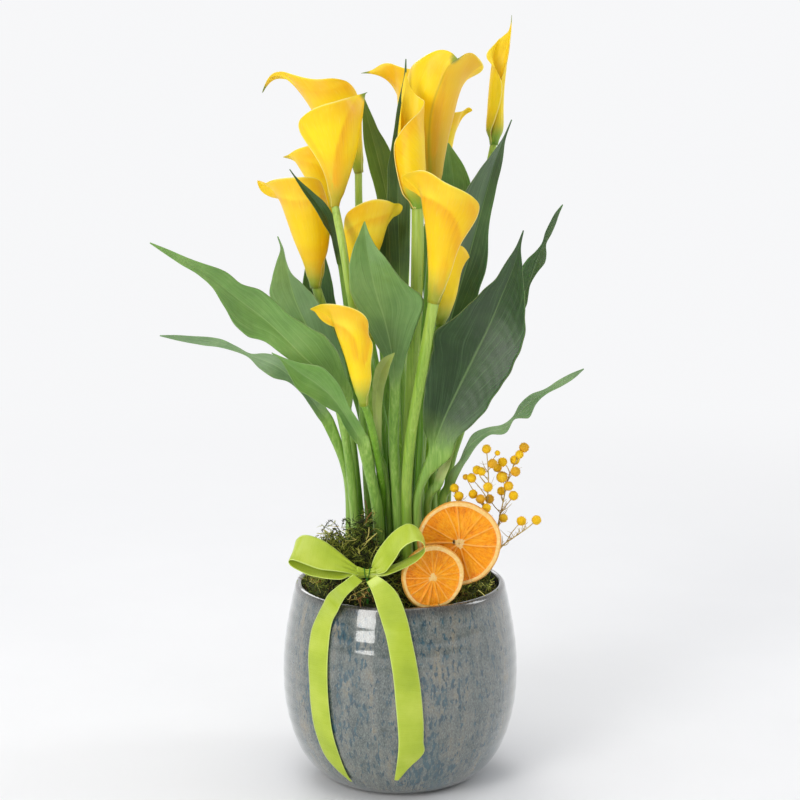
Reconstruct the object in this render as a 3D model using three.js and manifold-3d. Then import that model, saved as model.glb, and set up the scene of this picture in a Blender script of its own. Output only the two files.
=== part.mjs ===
// A potted calla lily: fourteen funnel flowers and seventeen leaves rising from one clump,
// in a round-bellied glazed pot with soil, a moss cover, a satin ribbon bow, two dried orange
// slices and sprigs of dried ball flowers.  Millimetres, +Z up, front of the pot towards -Y,
// origin at the centre of the pot's flat foot.
import * as THREE from "three";
import { mergeVertices } from "three/addons/utils/BufferGeometryUtils.js";
import Module from "manifold-3d";

// ---------------------------------------------------------------- driving dimensions
const POT_HEIGHT = 152.6; // foot to the top of the rim
const POT_OUTER = [[0, 51], [3, 58.4], [10, 67.6], [22, 76.8], [40, 84], [60, 88.3], [80, 89.6], [100, 88.9], [120, 86.2], [150, 79.9]]; // z, r
const POT_INNER = [[145, 75.0], [120, 80], [95, 82.8], [60, 82], [35, 76], [18, 66.5], [9, 50]]; // z, r
const POT_SEGMENTS = 40;
const FIT_GAP = 0.35; // clearance between neighbouring pieces
const SOIL_TOP = 143;
const STEM_FOOT = 136; // stems end here, inside the soil
const MOSS_RIM_Z = 146.6; // moss level beside the pot wall
const SPATHE_THICK = 0.9;
const MARGIN_STEP = 1.5; // radial step between the two overlapping margins of a spathe
const LEAF_HALF_THICK = 0.5;
const SPADIX_RADIUS = 2.5;
const RIBBON_THICK = 0.7;
const WIRE_RADIUS = 0.8;
const TWIG_RADIUS = 0.65;

// ---------------------------------------------------------------- plant tables (mm)
// leaf rows: x, y, z, half width left, half width right, petiole half thickness, roll deg, fold deg
// flower: scape and spathe axis points, tube radii along the axis, rim as [axis fraction, radius, angle, rise of the sheet before it curls down to that point]
const LEAVES = {
  leaf_01: {
    wave: [1.0, 2.2, 0.3],
    rows: [
      [-31.0, -15.0, 136.0, 3.6, 3.6, 3.6, 0.0, 0.0],
      [-31.0, -15.0, 162.0, 3.6, 3.6, 3.6, 0.0, 0.0],
      [-36.19, -20.11, 235.13, 3.6, 3.6, 3.6, 0.0, 0.0],
      [-40.96, -31.4, 275.67, 3.6, 3.6, 3.6, 0.0, 0.0],
      [-37.95, -43.19, 303.25, 14.14, 3.64, 1.98, -0.0, 7.2],
      [-47.88, -47.97, 314.25, 14.27, 11.32, 1.01, -2.0, 12.0],
      [-58.5, -52.7, 324.3, 9.39, 19.37, 0.43, -4.0, 12.0],
      [-69.04, -56.39, 334.12, 8.49, 22.45, 0.0, -6.0, 12.0],
      [-78.68, -58.2, 344.58, 10.31, 18.2, 0.0, -6.0, 12.0],
      [-88.45, -59.28, 354.74, 12.19, 14.69, 0.0, -6.0, 12.0],
      [-98.56, -61.46, 364.56, 17.9, 14.69, 0.0, -6.0, 12.0],
      [-109.2, -66.87, 373.88, 17.17, 14.65, 0.0, -6.0, 12.0],
      [-119.6, -73.2, 383.39, 11.62, 10.2, 0.0, -6.0, 12.0],
      [-129.65, -80.12, 393.13, 5.82, 9.65, 0.0, -6.0, 12.0],
      [-140.13, -87.13, 402.08, 3.8, 5.75, 0.0, -6.0, 12.0],
      [-150.99, -94.14, 410.2, 3.82, 2.85, 0.0, -6.0, 10.8],
      [-162.2, -100.17, 417.5, 2.53, 1.59, 0.0, -6.0, 10.8],
      [-173.61, -105.6, 424.19, 0.45, 0.45, 0.0, -6.0, 10.8],
    ],
  },
  leaf_02: {
    wave: [0.8, 3.0, 0.9],
    rows: [
      [-39.0, -8.0, 136.0, 3.1, 3.1, 3.1, 0.0, 0.0],
      [-39.0, -8.0, 162.0, 3.1, 3.1, 3.1, 0.0, 0.0],
      [-37.97, -10.54, 217.44, 3.1, 3.1, 3.1, 0.0, 0.0],
      [-42.19, -16.45, 248.07, 3.1, 3.1, 3.1, 0.0, 0.0],
      [-52.16, -26.47, 278.4, 4.42, 4.58, 1.71, -0.0, 10.8],
      [-58.34, -31.43, 289.15, 4.55, 5.2, 0.87, -4.0, 18.0],
      [-64.83, -36.26, 299.53, 4.06, 5.52, 0.37, -8.0, 18.0],
      [-71.95, -40.93, 309.27, 3.49, 6.2, 0.0, -12.0, 18.0],
      [-79.7, -44.47, 318.13, 4.82, 7.17, 0.0, -12.0, 18.0],
      [-88.46, -45.81, 325.47, 10.03, 7.68, 0.0, -12.0, 18.0],
      [-98.73, -43.04, 329.95, 8.01, 5.45, 0.0, -12.0, 18.0],
      [-109.75, -37.56, 332.52, 1.9, 1.74, 0.0, -12.0, 18.0],
      [-120.03, -31.11, 337.0, 3.38, 1.4, 0.0, -12.0, 18.0],
      [-131.6, -21.63, 338.71, 3.56, 3.12, 0.0, -12.0, 18.0],
      [-143.71, -10.62, 339.15, 4.65, 2.71, 0.0, -12.0, 18.0],
      [-156.17, 1.13, 338.75, 4.09, 1.81, 0.0, -12.0, 16.2],
      [-168.81, 12.42, 337.89, 2.59, 1.48, 0.0, -12.0, 16.2],
      [-181.61, 23.62, 336.87, 0.45, 0.45, 0.0, -12.0, 16.2],
    ],
  },
  leaf_03: {
    wave: [0.8, 2.0, 0.2],
    rows: [
      [-14.0, -29.0, 136.0, 4.2, 4.2, 4.2, 0.0, 0.0],
      [-14.0, -29.0, 162.0, 4.2, 4.2, 4.2, 0.0, 0.0],
      [-16.73, -31.24, 213.32, 4.2, 4.2, 4.2, 0.0, 0.0],
      [-21.77, -37.93, 243.1, 4.2, 4.2, 4.2, 0.0, 0.0],
      [-26.75, -48.14, 268.27, 4.92, 5.68, 2.31, 0.0, 22.8],
      [-30.51, -52.14, 275.63, 5.65, 7.27, 1.18, 0.0, 38.0],
      [-34.26, -56.09, 282.93, 6.37, 7.72, 0.5, 0.0, 38.0],
      [-38.14, -59.6, 290.01, 6.04, 7.53, 0.0, 0.0, 38.0],
      [-42.04, -62.68, 296.94, 4.75, 7.4, 0.0, 0.0, 38.0],
      [-46.15, -65.45, 303.62, 8.16, 8.92, 0.0, 0.0, 38.0],
      [-50.84, -67.83, 309.72, 11.28, 11.52, 0.0, 0.0, 38.0],
      [-56.26, -69.59, 314.94, 12.8, 13.96, 0.0, 0.0, 38.0],
      [-62.02, -70.49, 319.59, 13.83, 15.42, 0.0, 0.0, 38.0],
      [-68.13, -70.37, 323.58, 13.48, 12.07, 0.0, 0.0, 38.0],
      [-74.09, -69.69, 327.71, 8.61, 7.69, 0.0, 0.0, 38.0],
      [-79.89, -68.46, 331.99, 4.41, 3.88, 0.0, 0.0, 34.2],
      [-85.96, -67.18, 335.89, 0.9, 1.79, 0.0, 0.0, 34.2],
      [-92.17, -65.84, 339.6, 0.45, 0.45, 0.0, 0.0, 34.2],
    ],
  },
  leaf_04: {
    wave: [1.0, 2.0, 1.2],
    rows: [
      [-27.0, 4.0, 136.0, 3.2, 3.2, 3.2, 0.0, 0.0],
      [-27.0, 4.0, 162.0, 3.2, 3.2, 3.2, 0.0, 0.0],
      [-32.94, 4.39, 229.37, 3.2, 3.2, 3.2, 0.0, 0.0],
      [-37.31, 3.84, 268.19, 3.2, 3.2, 3.2, 0.0, 0.0],
      [-43.49, 0.0, 294.73, 8.65, 5.75, 1.76, 0.0, 8.4],
      [-47.26, -2.61, 304.61, 8.78, 9.62, 0.9, 2.67, 14.0],
      [-51.13, -5.2, 314.39, 13.17, 12.62, 0.38, 5.33, 14.0],
      [-55.58, -7.81, 323.82, 14.71, 15.11, 0.0, 8.0, 14.0],
      [-60.51, -10.29, 332.91, 15.52, 16.93, 0.0, 8.0, 14.0],
      [-65.14, -11.28, 341.89, 16.62, 18.15, 0.0, 8.0, 14.0],
      [-69.53, -10.81, 350.76, 17.93, 17.96, 0.0, 8.0, 14.0],
      [-73.75, -8.13, 359.39, 18.02, 16.54, 0.0, 8.0, 14.0],
      [-77.77, -2.35, 367.7, 17.73, 13.82, 0.0, 8.0, 14.0],
      [-80.96, 5.38, 376.1, 16.79, 8.67, 0.0, 8.0, 14.0],
      [-83.51, 14.47, 384.58, 12.12, 2.8, 0.0, 8.0, 14.0],
      [-85.86, 23.04, 393.25, 7.49, 0.69, 0.0, 8.0, 12.6],
      [-88.77, 32.44, 401.76, 1.61, 0.99, 0.0, 8.0, 12.6],
      [-92.74, 43.2, 409.89, 0.45, 0.45, 0.0, 8.0, 12.6],
    ],
  },
  leaf_05: {
    wave: [1.2, 1.6, 0.6],
    rows: [
      [1.0, -20.0, 136.0, 4.0, 4.0, 4.0, 0.0, 0.0],
      [1.0, -20.0, 162.0, 4.0, 4.0, 4.0, 0.0, 0.0],
      [-2.61, -23.99, 228.39, 4.0, 4.0, 4.0, 0.0, 0.0],
      [-4.79, -34.36, 268.76, 4.0, 4.0, 4.0, 0.0, 0.0],
      [-3.49, -45.04, 306.27, 4.22, 3.8, 2.2, -0.0, 8.4],
      [-4.04, -48.4, 316.87, 3.71, 4.79, 1.12, -2.0, 14.0],
      [-4.92, -51.18, 327.28, 4.78, 8.04, 0.48, -4.0, 14.0],
      [-6.12, -53.39, 337.49, 7.27, 12.49, 0.0, -6.0, 14.0],
      [-7.81, -55.0, 347.47, 10.93, 18.2, 0.0, -6.0, 14.0],
      [-10.03, -55.94, 357.2, 13.12, 24.62, 0.0, -6.0, 14.0],
      [-12.6, -56.39, 366.72, 15.1, 31.98, 0.0, -6.0, 14.0],
      [-15.62, -56.17, 375.97, 17.03, 27.41, 0.0, -6.0, 14.0],
      [-18.2, -56.79, 385.46, 18.42, 21.75, 0.0, -6.0, 14.0],
      [-20.15, -58.67, 395.25, 18.11, 17.33, 0.0, -6.0, 14.0],
      [-21.93, -59.15, 404.84, 15.41, 12.23, 0.0, -6.0, 14.0],
      [-23.56, -58.15, 414.24, 11.02, 6.71, 0.0, -6.0, 12.6],
      [-24.7, -56.56, 423.63, 5.39, 2.99, 0.0, -6.0, 12.6],
      [-25.38, -54.4, 433.0, 0.45, 0.45, 0.0, -6.0, 12.6],
    ],
  },
  leaf_06: {
    wave: [0.9, 2.2, 0.0],
    rows: [
      [-4.0, 19.0, 136.0, 2.9, 2.9, 2.9, 0.0, 0.0],
      [-4.0, 19.0, 162.0, 2.9, 2.9, 2.9, 0.0, 0.0],
      [-5.74, 21.65, 225.31, 2.9, 2.9, 2.9, 0.0, 0.0],
      [-5.72, 27.58, 286.52, 2.9, 2.9, 2.9, 0.0, 0.0],
      [-6.45, 31.88, 347.56, 2.9, 2.9, 2.9, 0.0, 0.0],
      [-6.03, 30.4, 395.8, 4.03, 4.06, 1.59, 0.0, 6.0],
      [-6.42, 29.78, 405.54, 5.59, 4.3, 0.81, 0.0, 10.0],
      [-6.82, 29.16, 415.26, 7.09, 4.51, 0.35, 0.0, 10.0],
      [-7.53, 28.75, 424.9, 8.14, 4.87, 0.0, 0.0, 10.0],
      [-8.77, 28.81, 434.41, 8.0, 5.18, 0.0, 0.0, 10.0],
      [-10.42, 28.82, 443.84, 7.46, 6.99, 0.0, 0.0, 10.0],
      [-12.33, 28.28, 453.26, 7.82, 9.34, 0.0, 0.0, 10.0],
      [-14.49, 27.49, 462.62, 8.62, 10.53, 0.0, 0.0, 10.0],
      [-16.74, 26.77, 471.92, 8.21, 10.6, 0.0, 0.0, 10.0],
      [-19.11, 26.03, 481.17, 7.84, 8.76, 0.0, 0.0, 10.0],
      [-21.49, 24.72, 490.42, 6.33, 5.82, 0.0, 0.0, 10.0],
      [-23.86, 22.91, 499.69, 4.25, 4.48, 0.0, 0.0, 9.0],
      [-25.93, 21.08, 508.98, 2.02, 2.42, 0.0, 0.0, 9.0],
      [-27.82, 19.2, 518.28, 0.45, 0.45, 0.0, 0.0, 9.0],
    ],
  },
  leaf_07: {
    wave: [0.5, 2.0, 0.0],
    rows: [
      [-22.0, 1.0, 136.0, 2.7, 2.7, 2.7, 0.0, 0.0],
      [-22.0, 1.0, 162.0, 2.7, 2.7, 2.7, 0.0, 0.0],
      [-25.32, 1.1, 230.14, 2.7, 2.7, 2.7, 0.0, 0.0],
      [-29.02, 8.36, 290.34, 2.7, 2.7, 2.7, 0.0, 0.0],
      [-37.21, 14.27, 342.82, 2.7, 2.7, 2.7, 0.0, 0.0],
      [-44.99, 14.4, 387.2, 0.82, 5.15, 1.49, -0.0, 15.0],
      [-46.5, 11.73, 394.11, 0.87, 5.48, 0.76, -6.67, 25.0],
      [-47.96, 8.33, 401.1, 0.72, 5.65, 0.32, -13.33, 25.0],
      [-49.17, 1.13, 408.57, 0.72, 5.75, 0.0, -20.0, 25.0],
      [-50.19, -9.01, 416.37, 0.81, 5.52, 0.0, -20.0, 25.0],
      [-51.53, -18.45, 423.92, 2.68, 5.36, 0.0, -20.0, 25.0],
      [-53.33, -26.61, 431.11, 4.8, 5.45, 0.0, -20.0, 25.0],
      [-56.11, -31.88, 437.5, 5.32, 5.22, 0.0, -20.0, 25.0],
      [-59.63, -34.6, 443.16, 4.99, 4.81, 0.0, -20.0, 25.0],
      [-63.41, -36.62, 448.55, 4.58, 3.28, 0.0, -20.0, 25.0],
      [-67.41, -38.66, 453.73, 3.83, 2.14, 0.0, -20.0, 25.0],
      [-71.54, -40.09, 458.74, 2.28, 1.21, 0.0, -20.0, 22.5],
      [-75.43, -40.94, 463.88, 1.11, 0.45, 0.0, -20.0, 22.5],
      [-79.27, -41.6, 469.03, 0.45, 0.45, 0.0, -20.0, 22.5],
    ],
  },
  leaf_08: {
    wave: [0.6, 2.0, 0.5],
    rows: [
      [7.0, 6.0, 136.0, 2.9, 2.9, 2.9, 0.0, 0.0],
      [7.0, 6.0, 162.0, 2.9, 2.9, 2.9, 0.0, 0.0],
      [5.69, 6.57, 228.86, 2.9, 2.9, 2.9, 0.0, 0.0],
      [2.64, 6.97, 290.61, 2.9, 2.9, 2.9, 0.0, 0.0],
      [0.37, 6.39, 351.72, 2.9, 2.9, 2.9, 0.0, 0.0],
      [-0.11, 5.6, 366.95, 5.11, 5.66, 1.59, 0.0, 9.0],
      [-0.29, 5.27, 380.98, 6.04, 6.78, 0.81, 2.0, 15.0],
      [-0.48, 4.96, 394.96, 6.87, 7.79, 0.35, 4.0, 15.0],
      [-0.73, 4.76, 408.88, 7.54, 8.62, 0.0, 6.0, 15.0],
      [-1.11, 4.76, 422.72, 7.84, 9.01, 0.0, 6.0, 15.0],
      [-1.43, 4.8, 436.51, 8.22, 9.32, 0.0, 6.0, 15.0],
      [-1.54, 4.8, 450.27, 8.09, 9.29, 0.0, 6.0, 15.0],
      [-1.45, 4.8, 463.98, 7.96, 9.07, 0.0, 6.0, 15.0],
      [-1.05, 4.8, 477.65, 5.96, 8.22, 0.0, 6.0, 15.0],
      [-0.21, 4.8, 491.25, 4.57, 6.9, 0.0, 6.0, 15.0],
      [1.15, 4.8, 504.77, 4.1, 5.13, 0.0, 6.0, 15.0],
      [2.54, 4.8, 518.25, 2.88, 3.23, 0.0, 6.0, 13.5],
      [3.78, 4.8, 531.69, 1.12, 1.25, 0.0, 6.0, 13.5],
      [4.33, 4.8, 545.14, 0.45, 0.45, 0.0, 6.0, 13.5],
    ],
  },
  leaf_09: {
    wave: [1.4, 1.8, 0.4],
    rows: [
      [26.0, 1.0, 136.0, 3.4, 3.4, 3.4, 0.0, 0.0],
      [26.0, 1.0, 162.0, 3.4, 3.4, 3.4, 0.0, 0.0],
      [24.61, 4.39, 229.37, 3.4, 3.4, 3.4, 0.0, 0.0],
      [26.82, 9.06, 270.94, 3.4, 3.4, 3.4, 0.0, 0.0],
      [29.01, 12.98, 300.41, 5.6, 8.54, 1.87, -0.0, 9.6],
      [31.5, 15.81, 316.01, 9.84, 8.76, 0.95, -4.0, 16.0],
      [34.25, 18.63, 331.57, 13.92, 11.92, 0.41, -8.0, 16.0],
      [37.79, 21.33, 346.97, 15.4, 14.01, 0.0, -12.0, 16.0],
      [41.88, 24.17, 362.22, 16.17, 15.31, 0.0, -12.0, 16.0],
      [46.48, 27.22, 377.29, 16.29, 15.13, 0.0, -12.0, 16.0],
      [51.12, 30.94, 392.26, 16.97, 15.18, 0.0, -12.0, 16.0],
      [55.41, 35.75, 407.21, 18.02, 11.93, 0.0, -12.0, 16.0],
      [59.7, 41.19, 422.14, 18.39, 8.3, 0.0, -12.0, 16.0],
      [64.12, 47.29, 437.0, 17.52, 6.79, 0.0, -12.0, 16.0],
      [68.48, 53.86, 451.9, 12.51, 6.02, 0.0, -12.0, 16.0],
      [73.17, 61.14, 466.71, 5.85, 5.09, 0.0, -12.0, 14.4],
      [78.97, 69.59, 481.16, 1.21, 1.75, 0.0, -12.0, 14.4],
      [85.53, 78.4, 495.4, 0.45, 0.45, 0.0, -12.0, 14.4],
    ],
  },
  leaf_10: {
    wave: [0.7, 2.0, 0.2],
    rows: [
      [17.0, 17.0, 136.0, 2.9, 2.9, 2.9, 0.0, 0.0],
      [17.0, 17.0, 162.0, 2.9, 2.9, 2.9, 0.0, 0.0],
      [15.67, 20.58, 225.56, 2.9, 2.9, 2.9, 0.0, 0.0],
      [19.44, 27.58, 286.52, 2.9, 2.9, 2.9, 0.0, 0.0],
      [24.7, 33.22, 339.64, 2.9, 2.9, 2.9, 0.0, 0.0],
      [28.47, 39.93, 350.65, 10.54, 8.27, 1.59, 0.0, 7.2],
      [29.74, 41.56, 360.58, 12.29, 8.38, 0.81, 0.0, 12.0],
      [31.01, 43.14, 370.52, 13.9, 9.12, 0.35, 0.0, 12.0],
      [32.29, 44.83, 380.43, 15.53, 9.84, 0.0, 0.0, 12.0],
      [33.65, 46.9, 390.28, 16.98, 10.52, 0.0, 0.0, 12.0],
      [35.1, 49.58, 400.04, 18.17, 11.49, 0.0, 0.0, 12.0],
      [36.66, 52.76, 409.72, 19.49, 12.35, 0.0, 0.0, 12.0],
      [38.47, 56.19, 419.36, 19.92, 12.76, 0.0, 0.0, 12.0],
      [40.68, 60.11, 428.87, 20.49, 12.2, 0.0, 0.0, 12.0],
      [41.78, 63.23, 438.66, 19.69, 12.48, 0.0, 0.0, 12.0],
      [40.99, 64.95, 448.64, 16.57, 12.94, 0.0, 0.0, 12.0],
      [39.72, 66.01, 458.64, 11.85, 10.16, 0.0, 0.0, 10.8],
      [38.22, 66.64, 468.64, 5.46, 5.57, 0.0, 0.0, 10.8],
      [36.67, 67.2, 478.62, 0.45, 0.45, 0.0, 0.0, 10.8],
    ],
  },
  leaf_11: {
    wave: [1.6, 1.5, 0.9],
    rows: [
      [15.0, -27.0, 136.0, 3.7, 3.7, 3.7, 0.0, 0.0],
      [15.0, -27.0, 162.0, 3.7, 3.7, 3.7, 0.0, 0.0],
      [12.28, -29.36, 215.92, 3.7, 3.7, 3.7, 0.0, 0.0],
      [17.43, -30.59, 239.11, 3.7, 3.7, 3.7, 0.0, 0.0],
      [23.93, -30.73, 259.86, 3.06, 14.4, 2.04, 0.0, 6.6],
      [28.47, -29.52, 272.71, 11.89, 14.56, 1.04, 2.0, 11.0],
      [33.41, -27.81, 285.27, 18.16, 20.89, 0.44, 4.0, 11.0],
      [39.18, -25.02, 297.25, 22.87, 25.42, 0.0, 6.0, 11.0],
      [45.15, -22.2, 309.14, 26.99, 27.42, 0.0, 6.0, 11.0],
      [51.21, -19.48, 321.01, 30.23, 29.07, 0.0, 6.0, 11.0],
      [57.21, -17.45, 333.03, 33.98, 30.26, 0.0, 6.0, 11.0],
      [63.15, -16.02, 345.16, 26.7, 29.99, 0.0, 6.0, 11.0],
      [68.59, -16.52, 357.78, 20.9, 27.6, 0.0, 6.0, 11.0],
      [73.44, -19.24, 370.91, 15.41, 22.6, 0.0, 6.0, 11.0],
      [78.36, -23.65, 384.13, 8.91, 16.05, 0.0, 6.0, 11.0],
      [83.02, -29.83, 397.55, 6.92, 7.66, 0.0, 6.0, 9.9],
      [86.22, -36.39, 411.37, 2.69, 1.59, 0.0, 6.0, 9.9],
      [88.92, -43.2, 425.2, 0.45, 0.45, 0.0, 6.0, 9.9],
    ],
  },
  leaf_12: {
    wave: [0.8, 2.5, 0.8],
    rows: [
      [36.0, 10.0, 136.0, 2.9, 2.9, 2.9, 0.0, 0.0],
      [36.0, 10.0, 162.0, 2.9, 2.9, 2.9, 0.0, 0.0],
      [36.89, 11.99, 227.58, 2.9, 2.9, 2.9, 0.0, 0.0],
      [46.69, 16.48, 265.5, 2.9, 2.9, 2.9, 0.0, 0.0],
      [60.24, 20.31, 301.87, 2.9, 2.9, 2.9, 0.0, 0.0],
      [77.87, 28.43, 338.8, 4.31, 4.96, 1.59, 0.0, 12.0],
      [82.03, 31.67, 345.52, 4.72, 5.16, 0.81, 4.0, 20.0],
      [86.21, 34.91, 352.26, 5.0, 5.99, 0.35, 8.0, 20.0],
      [90.29, 38.35, 359.05, 5.44, 7.01, 0.0, 12.0, 20.0],
      [94.26, 42.12, 365.88, 6.21, 4.31, 0.0, 12.0, 20.0],
      [98.02, 46.25, 372.79, 7.08, 1.8, 0.0, 12.0, 20.0],
      [101.23, 50.86, 379.91, 9.86, 3.31, 0.0, 12.0, 20.0],
      [103.84, 56.03, 387.21, 7.48, 7.5, 0.0, 12.0, 20.0],
      [106.97, 61.36, 394.36, 3.51, 6.27, 0.0, 12.0, 20.0],
      [110.39, 66.84, 401.42, 1.34, 2.53, 0.0, 12.0, 20.0],
      [113.57, 72.19, 408.62, 1.87, 3.72, 0.0, 12.0, 20.0],
      [117.23, 77.74, 415.64, 1.66, 3.49, 0.0, 12.0, 18.0],
      [121.7, 83.64, 422.27, 1.87, 1.8, 0.0, 12.0, 18.0],
      [126.35, 89.6, 428.85, 0.45, 0.45, 0.0, 12.0, 18.0],
    ],
  },
  leaf_13: {
    wave: [0.9, 3.2, 0.2],
    rows: [
      [30.0, -9.0, 136.0, 3.3, 3.3, 3.3, 0.0, 0.0],
      [30.0, -9.0, 162.0, 3.3, 3.3, 3.3, 0.0, 0.0],
      [31.96, -10.47, 215.1, 3.3, 3.3, 3.3, 0.0, 0.0],
      [36.05, -13.07, 227.7, 3.5, 3.77, 1.81, 0.0, 8.4],
      [39.93, -15.85, 238.63, 3.4, 4.13, 0.92, 4.0, 14.0],
      [44.46, -19.04, 249.3, 0.58, 4.64, 0.4, 8.0, 14.0],
      [49.73, -22.67, 259.56, 1.88, 5.65, 0.0, 12.0, 14.0],
      [57.16, -27.19, 268.15, 4.86, 4.12, 0.0, 12.0, 14.0],
      [66.12, -32.33, 274.65, 3.36, 2.74, 0.0, 12.0, 14.0],
      [76.16, -37.91, 278.34, 3.01, 4.36, 0.0, 12.0, 14.0],
      [83.62, -44.4, 286.78, 2.02, 0.58, 0.0, 12.0, 14.0],
      [89.93, -51.17, 296.37, 3.83, 8.9, 0.0, 12.0, 14.0],
      [97.32, -58.12, 304.75, 3.82, 4.32, 0.0, 12.0, 14.0],
      [105.53, -65.19, 311.91, 1.61, 2.57, 0.0, 12.0, 14.0],
      [114.09, -72.74, 318.31, 2.58, 2.73, 0.0, 12.0, 12.6],
      [122.39, -79.7, 324.92, 2.24, 2.57, 0.0, 12.0, 12.6],
      [130.5, -86.3, 331.65, 0.45, 0.45, 0.0, 12.0, 12.6],
    ],
  },
  leaf_14: {
    wave: [0.3, 1.5, 0.0],
    rows: [
      [23.0, -17.0, 136.0, 2.9, 2.9, 2.9, 0.0, 0.0],
      [23.0, -17.0, 162.0, 2.9, 2.9, 2.9, 0.0, 0.0],
      [20.57, -19.93, 215.89, 2.9, 2.9, 2.9, 0.0, 0.0],
      [27.85, -22.14, 232.6, 3.53, 4.04, 1.59, 0.0, 12.0],
      [29.4, -22.5, 236.47, 3.75, 4.03, 0.81, 0.0, 20.0],
      [30.96, -22.88, 240.33, 3.85, 3.85, 0.35, 0.0, 20.0],
      [32.49, -23.22, 244.2, 3.92, 3.71, 0.0, 0.0, 20.0],
      [33.95, -23.47, 248.07, 3.91, 3.62, 0.0, 0.0, 20.0],
      [35.3, -23.58, 251.94, 3.71, 3.29, 0.0, 0.0, 20.0],
      [36.58, -23.59, 255.82, 3.42, 3.05, 0.0, 0.0, 20.0],
      [37.79, -23.55, 259.7, 3.06, 2.88, 0.0, 0.0, 20.0],
      [38.96, -23.53, 263.6, 2.72, 2.53, 0.0, 0.0, 20.0],
      [40.06, -23.51, 267.51, 2.39, 2.17, 0.0, 0.0, 20.0],
      [41.12, -23.46, 271.43, 2.02, 1.85, 0.0, 0.0, 20.0],
      [42.2, -23.35, 275.33, 1.57, 1.29, 0.0, 0.0, 18.0],
      [43.28, -23.14, 279.2, 0.78, 0.64, 0.0, 0.0, 18.0],
      [44.36, -22.91, 283.06, 0.45, 0.45, 0.0, 0.0, 18.0],
    ],
  },
  leaf_15: {
    wave: [0.8, 2.0, 0.6],
    rows: [
      [-10.0, 6.0, 136.0, 2.7, 2.7, 2.7, 0.0, 0.0],
      [-10.0, 6.0, 162.0, 2.7, 2.7, 2.7, 0.0, 0.0],
      [-7.97, 7.66, 228.6, 2.7, 2.7, 2.7, 0.0, 0.0],
      [-10.17, 8.36, 290.34, 2.7, 2.7, 2.7, 0.0, 0.0],
      [-12.19, 14.24, 341.19, 4.65, 4.9, 1.49, 0.0, 10.8],
      [-12.07, 14.71, 348.55, 6.32, 6.45, 0.76, 1.67, 18.0],
      [-11.95, 15.2, 355.9, 7.84, 7.87, 0.32, 3.33, 18.0],
      [-11.82, 15.66, 363.25, 9.4, 9.28, 0.0, 5.0, 18.0],
      [-11.63, 15.99, 370.61, 10.97, 10.6, 0.0, 5.0, 18.0],
      [-11.36, 16.13, 377.98, 11.25, 10.74, 0.0, 5.0, 18.0],
      [-11.01, 16.09, 385.37, 11.59, 10.71, 0.0, 5.0, 18.0],
      [-10.64, 16.01, 392.74, 11.97, 10.66, 0.0, 5.0, 18.0],
      [-10.3, 16.0, 400.1, 11.34, 10.12, 0.0, 5.0, 18.0],
      [-9.98, 16.0, 407.44, 10.38, 9.27, 0.0, 5.0, 18.0],
      [-9.57, 16.0, 414.77, 9.51, 8.35, 0.0, 5.0, 18.0],
      [-8.93, 16.0, 422.06, 7.18, 6.57, 0.0, 5.0, 16.2],
      [-8.12, 16.0, 429.33, 3.56, 3.31, 0.0, 5.0, 16.2],
      [-7.29, 16.0, 436.59, 0.45, 0.45, 0.0, 5.0, 16.2],
    ],
  },
  leaf_16: {
    wave: [0.3, 2.0, 0.0],
    rows: [
      [-7.0, -15.0, 136.0, 2.3, 2.3, 2.3, 0.0, 0.0],
      [-7.0, -15.0, 162.0, 2.3, 2.3, 2.3, 0.0, 0.0],
      [-10.43, -22.39, 235.66, 2.3, 2.3, 2.3, 0.0, 0.0],
      [-15.71, -29.21, 257.36, 3.38, 2.25, 1.26, -0.0, 21.0],
      [-16.15, -31.85, 264.09, 3.5, 2.92, 0.64, -3.33, 35.0],
      [-16.6, -34.46, 270.79, 3.19, 3.33, 0.28, -6.67, 35.0],
      [-16.99, -37.17, 277.49, 2.96, 3.7, 0.0, -10.0, 35.0],
      [-17.29, -40.11, 284.21, 2.96, 4.13, 0.0, -10.0, 35.0],
      [-17.55, -43.26, 290.95, 3.18, 4.69, 0.0, -10.0, 35.0],
      [-17.65, -46.61, 297.7, 3.62, 5.04, 0.0, -10.0, 35.0],
      [-17.37, -50.13, 304.44, 3.79, 5.36, 0.0, -10.0, 35.0],
      [-16.73, -53.93, 311.19, 4.32, 5.87, 0.0, -10.0, 35.0],
      [-15.68, -57.76, 317.84, 5.4, 5.91, 0.0, -10.0, 35.0],
      [-13.99, -61.21, 324.23, 5.9, 6.19, 0.0, -10.0, 35.0],
      [-11.38, -64.32, 330.16, 6.09, 5.2, 0.0, -10.0, 31.5],
      [-7.88, -67.5, 335.51, 4.59, 3.12, 0.0, -10.0, 31.5],
      [-3.94, -70.6, 340.45, 0.45, 0.45, 0.0, -10.0, 31.5],
    ],
  },
  leaf_17: {
    wave: [0.6, 2.0, 0.1],
    rows: [
      [-19.0, 10.0, 136.0, 2.5, 2.5, 2.5, 0.0, 0.0],
      [-19.0, 10.0, 162.0, 2.5, 2.5, 2.5, 0.0, 0.0],
      [-22.45, 13.07, 227.33, 2.5, 2.5, 2.5, 0.0, 0.0],
      [-30.74, 18.85, 280.51, 2.5, 2.5, 2.5, 0.0, 0.0],
      [-42.67, 25.6, 314.55, 4.29, 4.36, 1.38, 0.0, 8.4],
      [-45.7, 27.49, 321.92, 5.49, 5.63, 0.7, 0.0, 14.0],
      [-48.75, 29.38, 329.28, 6.61, 6.83, 0.3, 0.0, 14.0],
      [-51.64, 31.21, 336.72, 7.94, 7.84, 0.0, 0.0, 14.0],
      [-54.22, 33.05, 344.28, 8.99, 8.77, 0.0, 0.0, 14.0],
      [-56.52, 34.86, 351.93, 10.37, 9.47, 0.0, 0.0, 14.0],
      [-58.49, 36.02, 359.77, 12.04, 9.92, 0.0, 0.0, 14.0],
      [-60.06, 36.12, 367.85, 12.4, 10.14, 0.0, 0.0, 14.0],
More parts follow.
